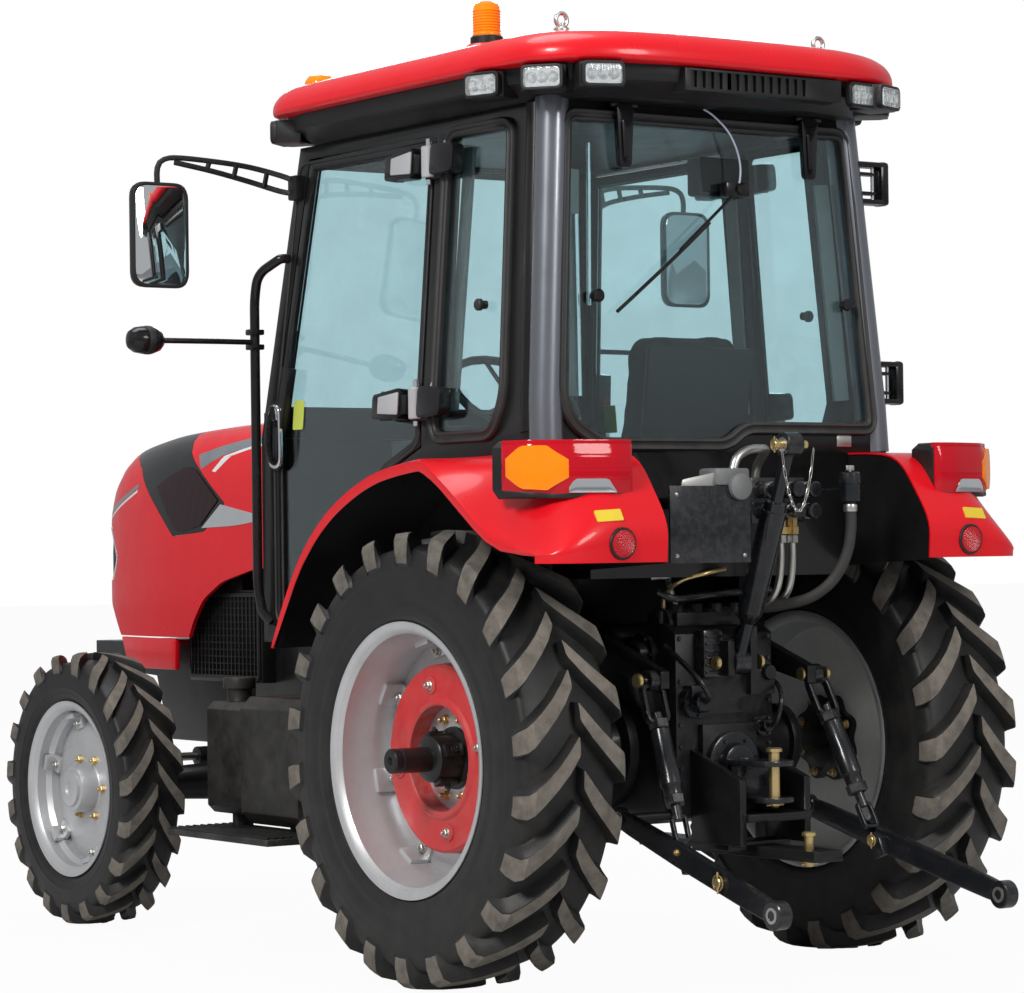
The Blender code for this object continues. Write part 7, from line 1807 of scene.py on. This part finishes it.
def screens(hand, side):
    mesh = bmesh.new()
    x0, x1, z0, z1 = screen["rear"], screen["front"], screen["low"], screen["high"]
    for k in range(screen["uprights"] + 1):
        x = x0 + (x1 - x0) * k / screen["uprights"]
        addBlock(mesh, (x - 0.0022, 0.2495, z0), (x + 0.0022, 0.256, z1), 0.0006)
    for k in range(screen["bars"] + 1):
        z = z0 + (z1 - z0) * k / screen["bars"]
        addBlock(mesh, (x0, 0.2495, z - 0.0016), (x1, 0.2545, z + 0.0016), 0.0005)
    line = softRect((x0, z0), (x1, z1), 0.01, 3)
    addSweep(mesh, [Vector((x, 0.252, z)) for x, z in line], softBox(0.016, 0.012), (0, 1, 0), True)
    makePiece("radiatorScreen." + hand, handed(mesh, side), "blackPaint")
    mesh = bmesh.new()
    for k in range(screen["treads"]):
        y = 0.535 + k * 0.026
        addBlock(mesh, (0.9, y, 0.3495), (1.49, y + 0.01, 0.356), 0.002)
    makePiece("stepTread." + hand, handed(mesh, side), "blackPaint")


twoSided(screens)
print("screens and steps are on")


# Seat: two cushions blown up by a cloth simulation, on a pan, with sewn seams

seatPads = {
    "seatCushion": {"low": (-0.15, -0.212, 1.312), "high": (0.3, 0.212, 1.425), "lean": 0.0, "round": 0.045,
                    "cap": 0.024, "fill": 0.6},
    "seatBack": {"low": (-0.176, -0.2, 1.43), "high": (-0.082, 0.2, 1.815), "lean": -0.055, "round": 0.085,
                 "cap": 0.022, "fill": 0.7},
}
clothRun = {"voxel": 0.011, "pressure": 4.0, "frames": 20}


def padMesh(pad):
    # The slack start shape: a rounded slab, a little smaller than the finished pad
    mesh = bmesh.new()
    low, high = Vector(pad["low"]), Vector(pad["high"])
    if pad["lean"]:
        corners = [(low.y, low.z), (high.y, low.z), (high.y * 0.93, high.z), (low.y * 0.93, high.z)]
        outline = softLine(corners, pad["round"], 6)
        addSolid(mesh, outline, "yz", low.x, high.x, 0.02)
        for vertex in mesh.verts:
            vertex.co.x += pad["lean"] * (vertex.co.z - low.z) / (high.z - low.z)
    else:
        addSolid(mesh, softRect(low.xy, high.xy, pad["round"], 6), "xy", low.z, high.z, 0.02)
    return mesh


def inflate(item, pad):
    remesh = item.modifiers.new("even", "REMESH")
    remesh.mode = "VOXEL"
    remesh.voxel_size = clothRun["voxel"]
    bakeModifiers(item)
    start = [v.co.copy() for v in item.data.vertices]
    cloth = item.modifiers.new("blown", "CLOTH")
    cloth.settings.use_pressure = True
    cloth.settings.uniform_pressure_force = clothRun["pressure"]
    cloth.settings.effector_weights.gravity = 0
    cloth.point_cache.frame_start = 1
    cloth.point_cache.frame_end = clothRun["frames"]
    for frame in range(1, clothRun["frames"] + 1):
        scene.frame_set(frame)
    bakeModifiers(item)
    scene.frame_set(1)
    for vertex, old in zip(item.data.vertices, start):
        move = vertex.co - old
        if move.length > pad["cap"]:
            vertex.co = old + move * (pad["cap"] / move.length)
    # The sewn channels: shallow hollows down the pad's face
    across = [v.co.y for v in item.data.vertices]
    middle = (max(across) + min(across)) / 2
    for vertex in item.data.vertices:
        for line in (-0.115, 0.115):
            near = math.exp(-((vertex.co.y - middle - line) / 0.01) ** 2)
            vertex.co -= vertex.normal * 0.006 * near
    smooth = item.modifiers.new("fine", "SUBSURF")
    smooth.levels = 1
    bakeModifiers(item, 80)


def seat():
    items = []
    for name, pad in seatPads.items():
        item = makePiece(name, padMesh(pad), "seatCloth")
        inflate(item, pad)
        items.append(item)
    mesh = bmesh.new()
    addBlock(mesh, (-0.175, -0.215, 1.29), (0.285, 0.215, 1.312), 0.01)
    addBlock(mesh, (-0.15, -0.15, 1.15), (0.155, 0.15, 1.292), 0.012)
    place = Matrix.Translation((-0.19, 0, 1.31)) @ Matrix.Rotation(-math.atan(0.055 / 0.385), 4, "Y")
    addBlock(mesh, (-0.006, -0.185, 0.0), (0.014, 0.185, 0.46), 0.008, 0, place)
    base = makePiece("seatBase", mesh, "blackPlastic")
    # Piping along the cushion's seam
    mesh = bmesh.new()
    c = seatPads["seatCushion"]
    line = softRect([v - 0.004 for v in c["low"][:2]], [v + 0.004 for v in c["high"][:2]], c["round"], 6)
    addSweep(mesh, [Vector((x, y, 1.33)) for x, y in line], circle(0.004, 8), (0, 0, 1), True)
    makePiece("seatPiping", mesh, "blackPlastic")
    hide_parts("seat")
    for item in items:
        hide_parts("seat")


seat()
print("seat is in")


# Inside the cab: the lever consoles, the levers and the pale trim beside the windows

def interior():
    mesh = bmesh.new()
    for side in (1, -1):
        outline = softLine([(-0.22, 1.16), (0.34, 1.16), (0.36, 1.34), (0.2, 1.44), (-0.24, 1.48)], 0.04, 4)
        addSolid(mesh, outline, "xz", min(side * 0.25, side * 0.45), max(side * 0.25, side * 0.45), 0.015)
    makePiece("leverConsoles", mesh, "greyPlastic")
    mesh = bmesh.new()
    for x, y, lean, height in ((0.05, -0.33, 0.05, 0.17), (0.14, -0.36, 0.03, 0.15),
                               (0.1, 0.34, 0.04, 0.15), (0.2, -0.3, -0.02, 0.14)):
        top = Vector((x + lean, y, 1.43 + height))
        addTube(mesh, [(x, y, 1.4), (x + lean * 0.5, y, 1.43 + height * 0.5), top], 0.005, 10, 1)
        addTurned(mesh, [(-0.02, 0.008), (-0.012, 0.013), (0.01, 0.016), (0.02, 0.012), (0.024, 0.005)], 20,
                  top, (0, 0, 1))
    makePiece("levers", mesh, ["glossBlack", "chrome"])
    mesh = bmesh.new()
    for side in (1, -1):
        path = [Vector((0.215 - 0.02 * k / 6, side * (sideHalf(1.6 + k * 0.125) - 0.075),
                        1.6 + k * 0.125)) for k in range(7)]
        addSweep(mesh, path, softBox(0.05, 0.012), (0, side, 0))
    for y in (0.47, -0.49):
        path = [Vector((rearPlane(1.62 + k * 0.125) + 0.06, y * (sideHalf(1.62 + k * 0.125) / 0.6),
                        1.62 + k * 0.125)) for k in range(6)]
        addSweep(mesh, path, softBox(0.012, 0.03 if y > 0 else 0.055), (0, 1, 0))
    addTube(mesh, [(rearPlane(1.9) + 0.05, 0.405, 1.87), (rearPlane(2.3) + 0.05, 0.385, 2.32)],
            0.0065, 12, 1)
    addTube(mesh, [(rearPlane(1.7) + 0.05, 0.45, 1.62), (rearPlane(1.9) + 0.05, 0.445, 1.9),
                   (rearPlane(2.1) + 0.05, 0.44, 2.12)], 0.0085, 12, 1)
    makePiece("cabTrim", mesh, ["headLining", "chrome"])


interior()
print("inside of the cab is in")
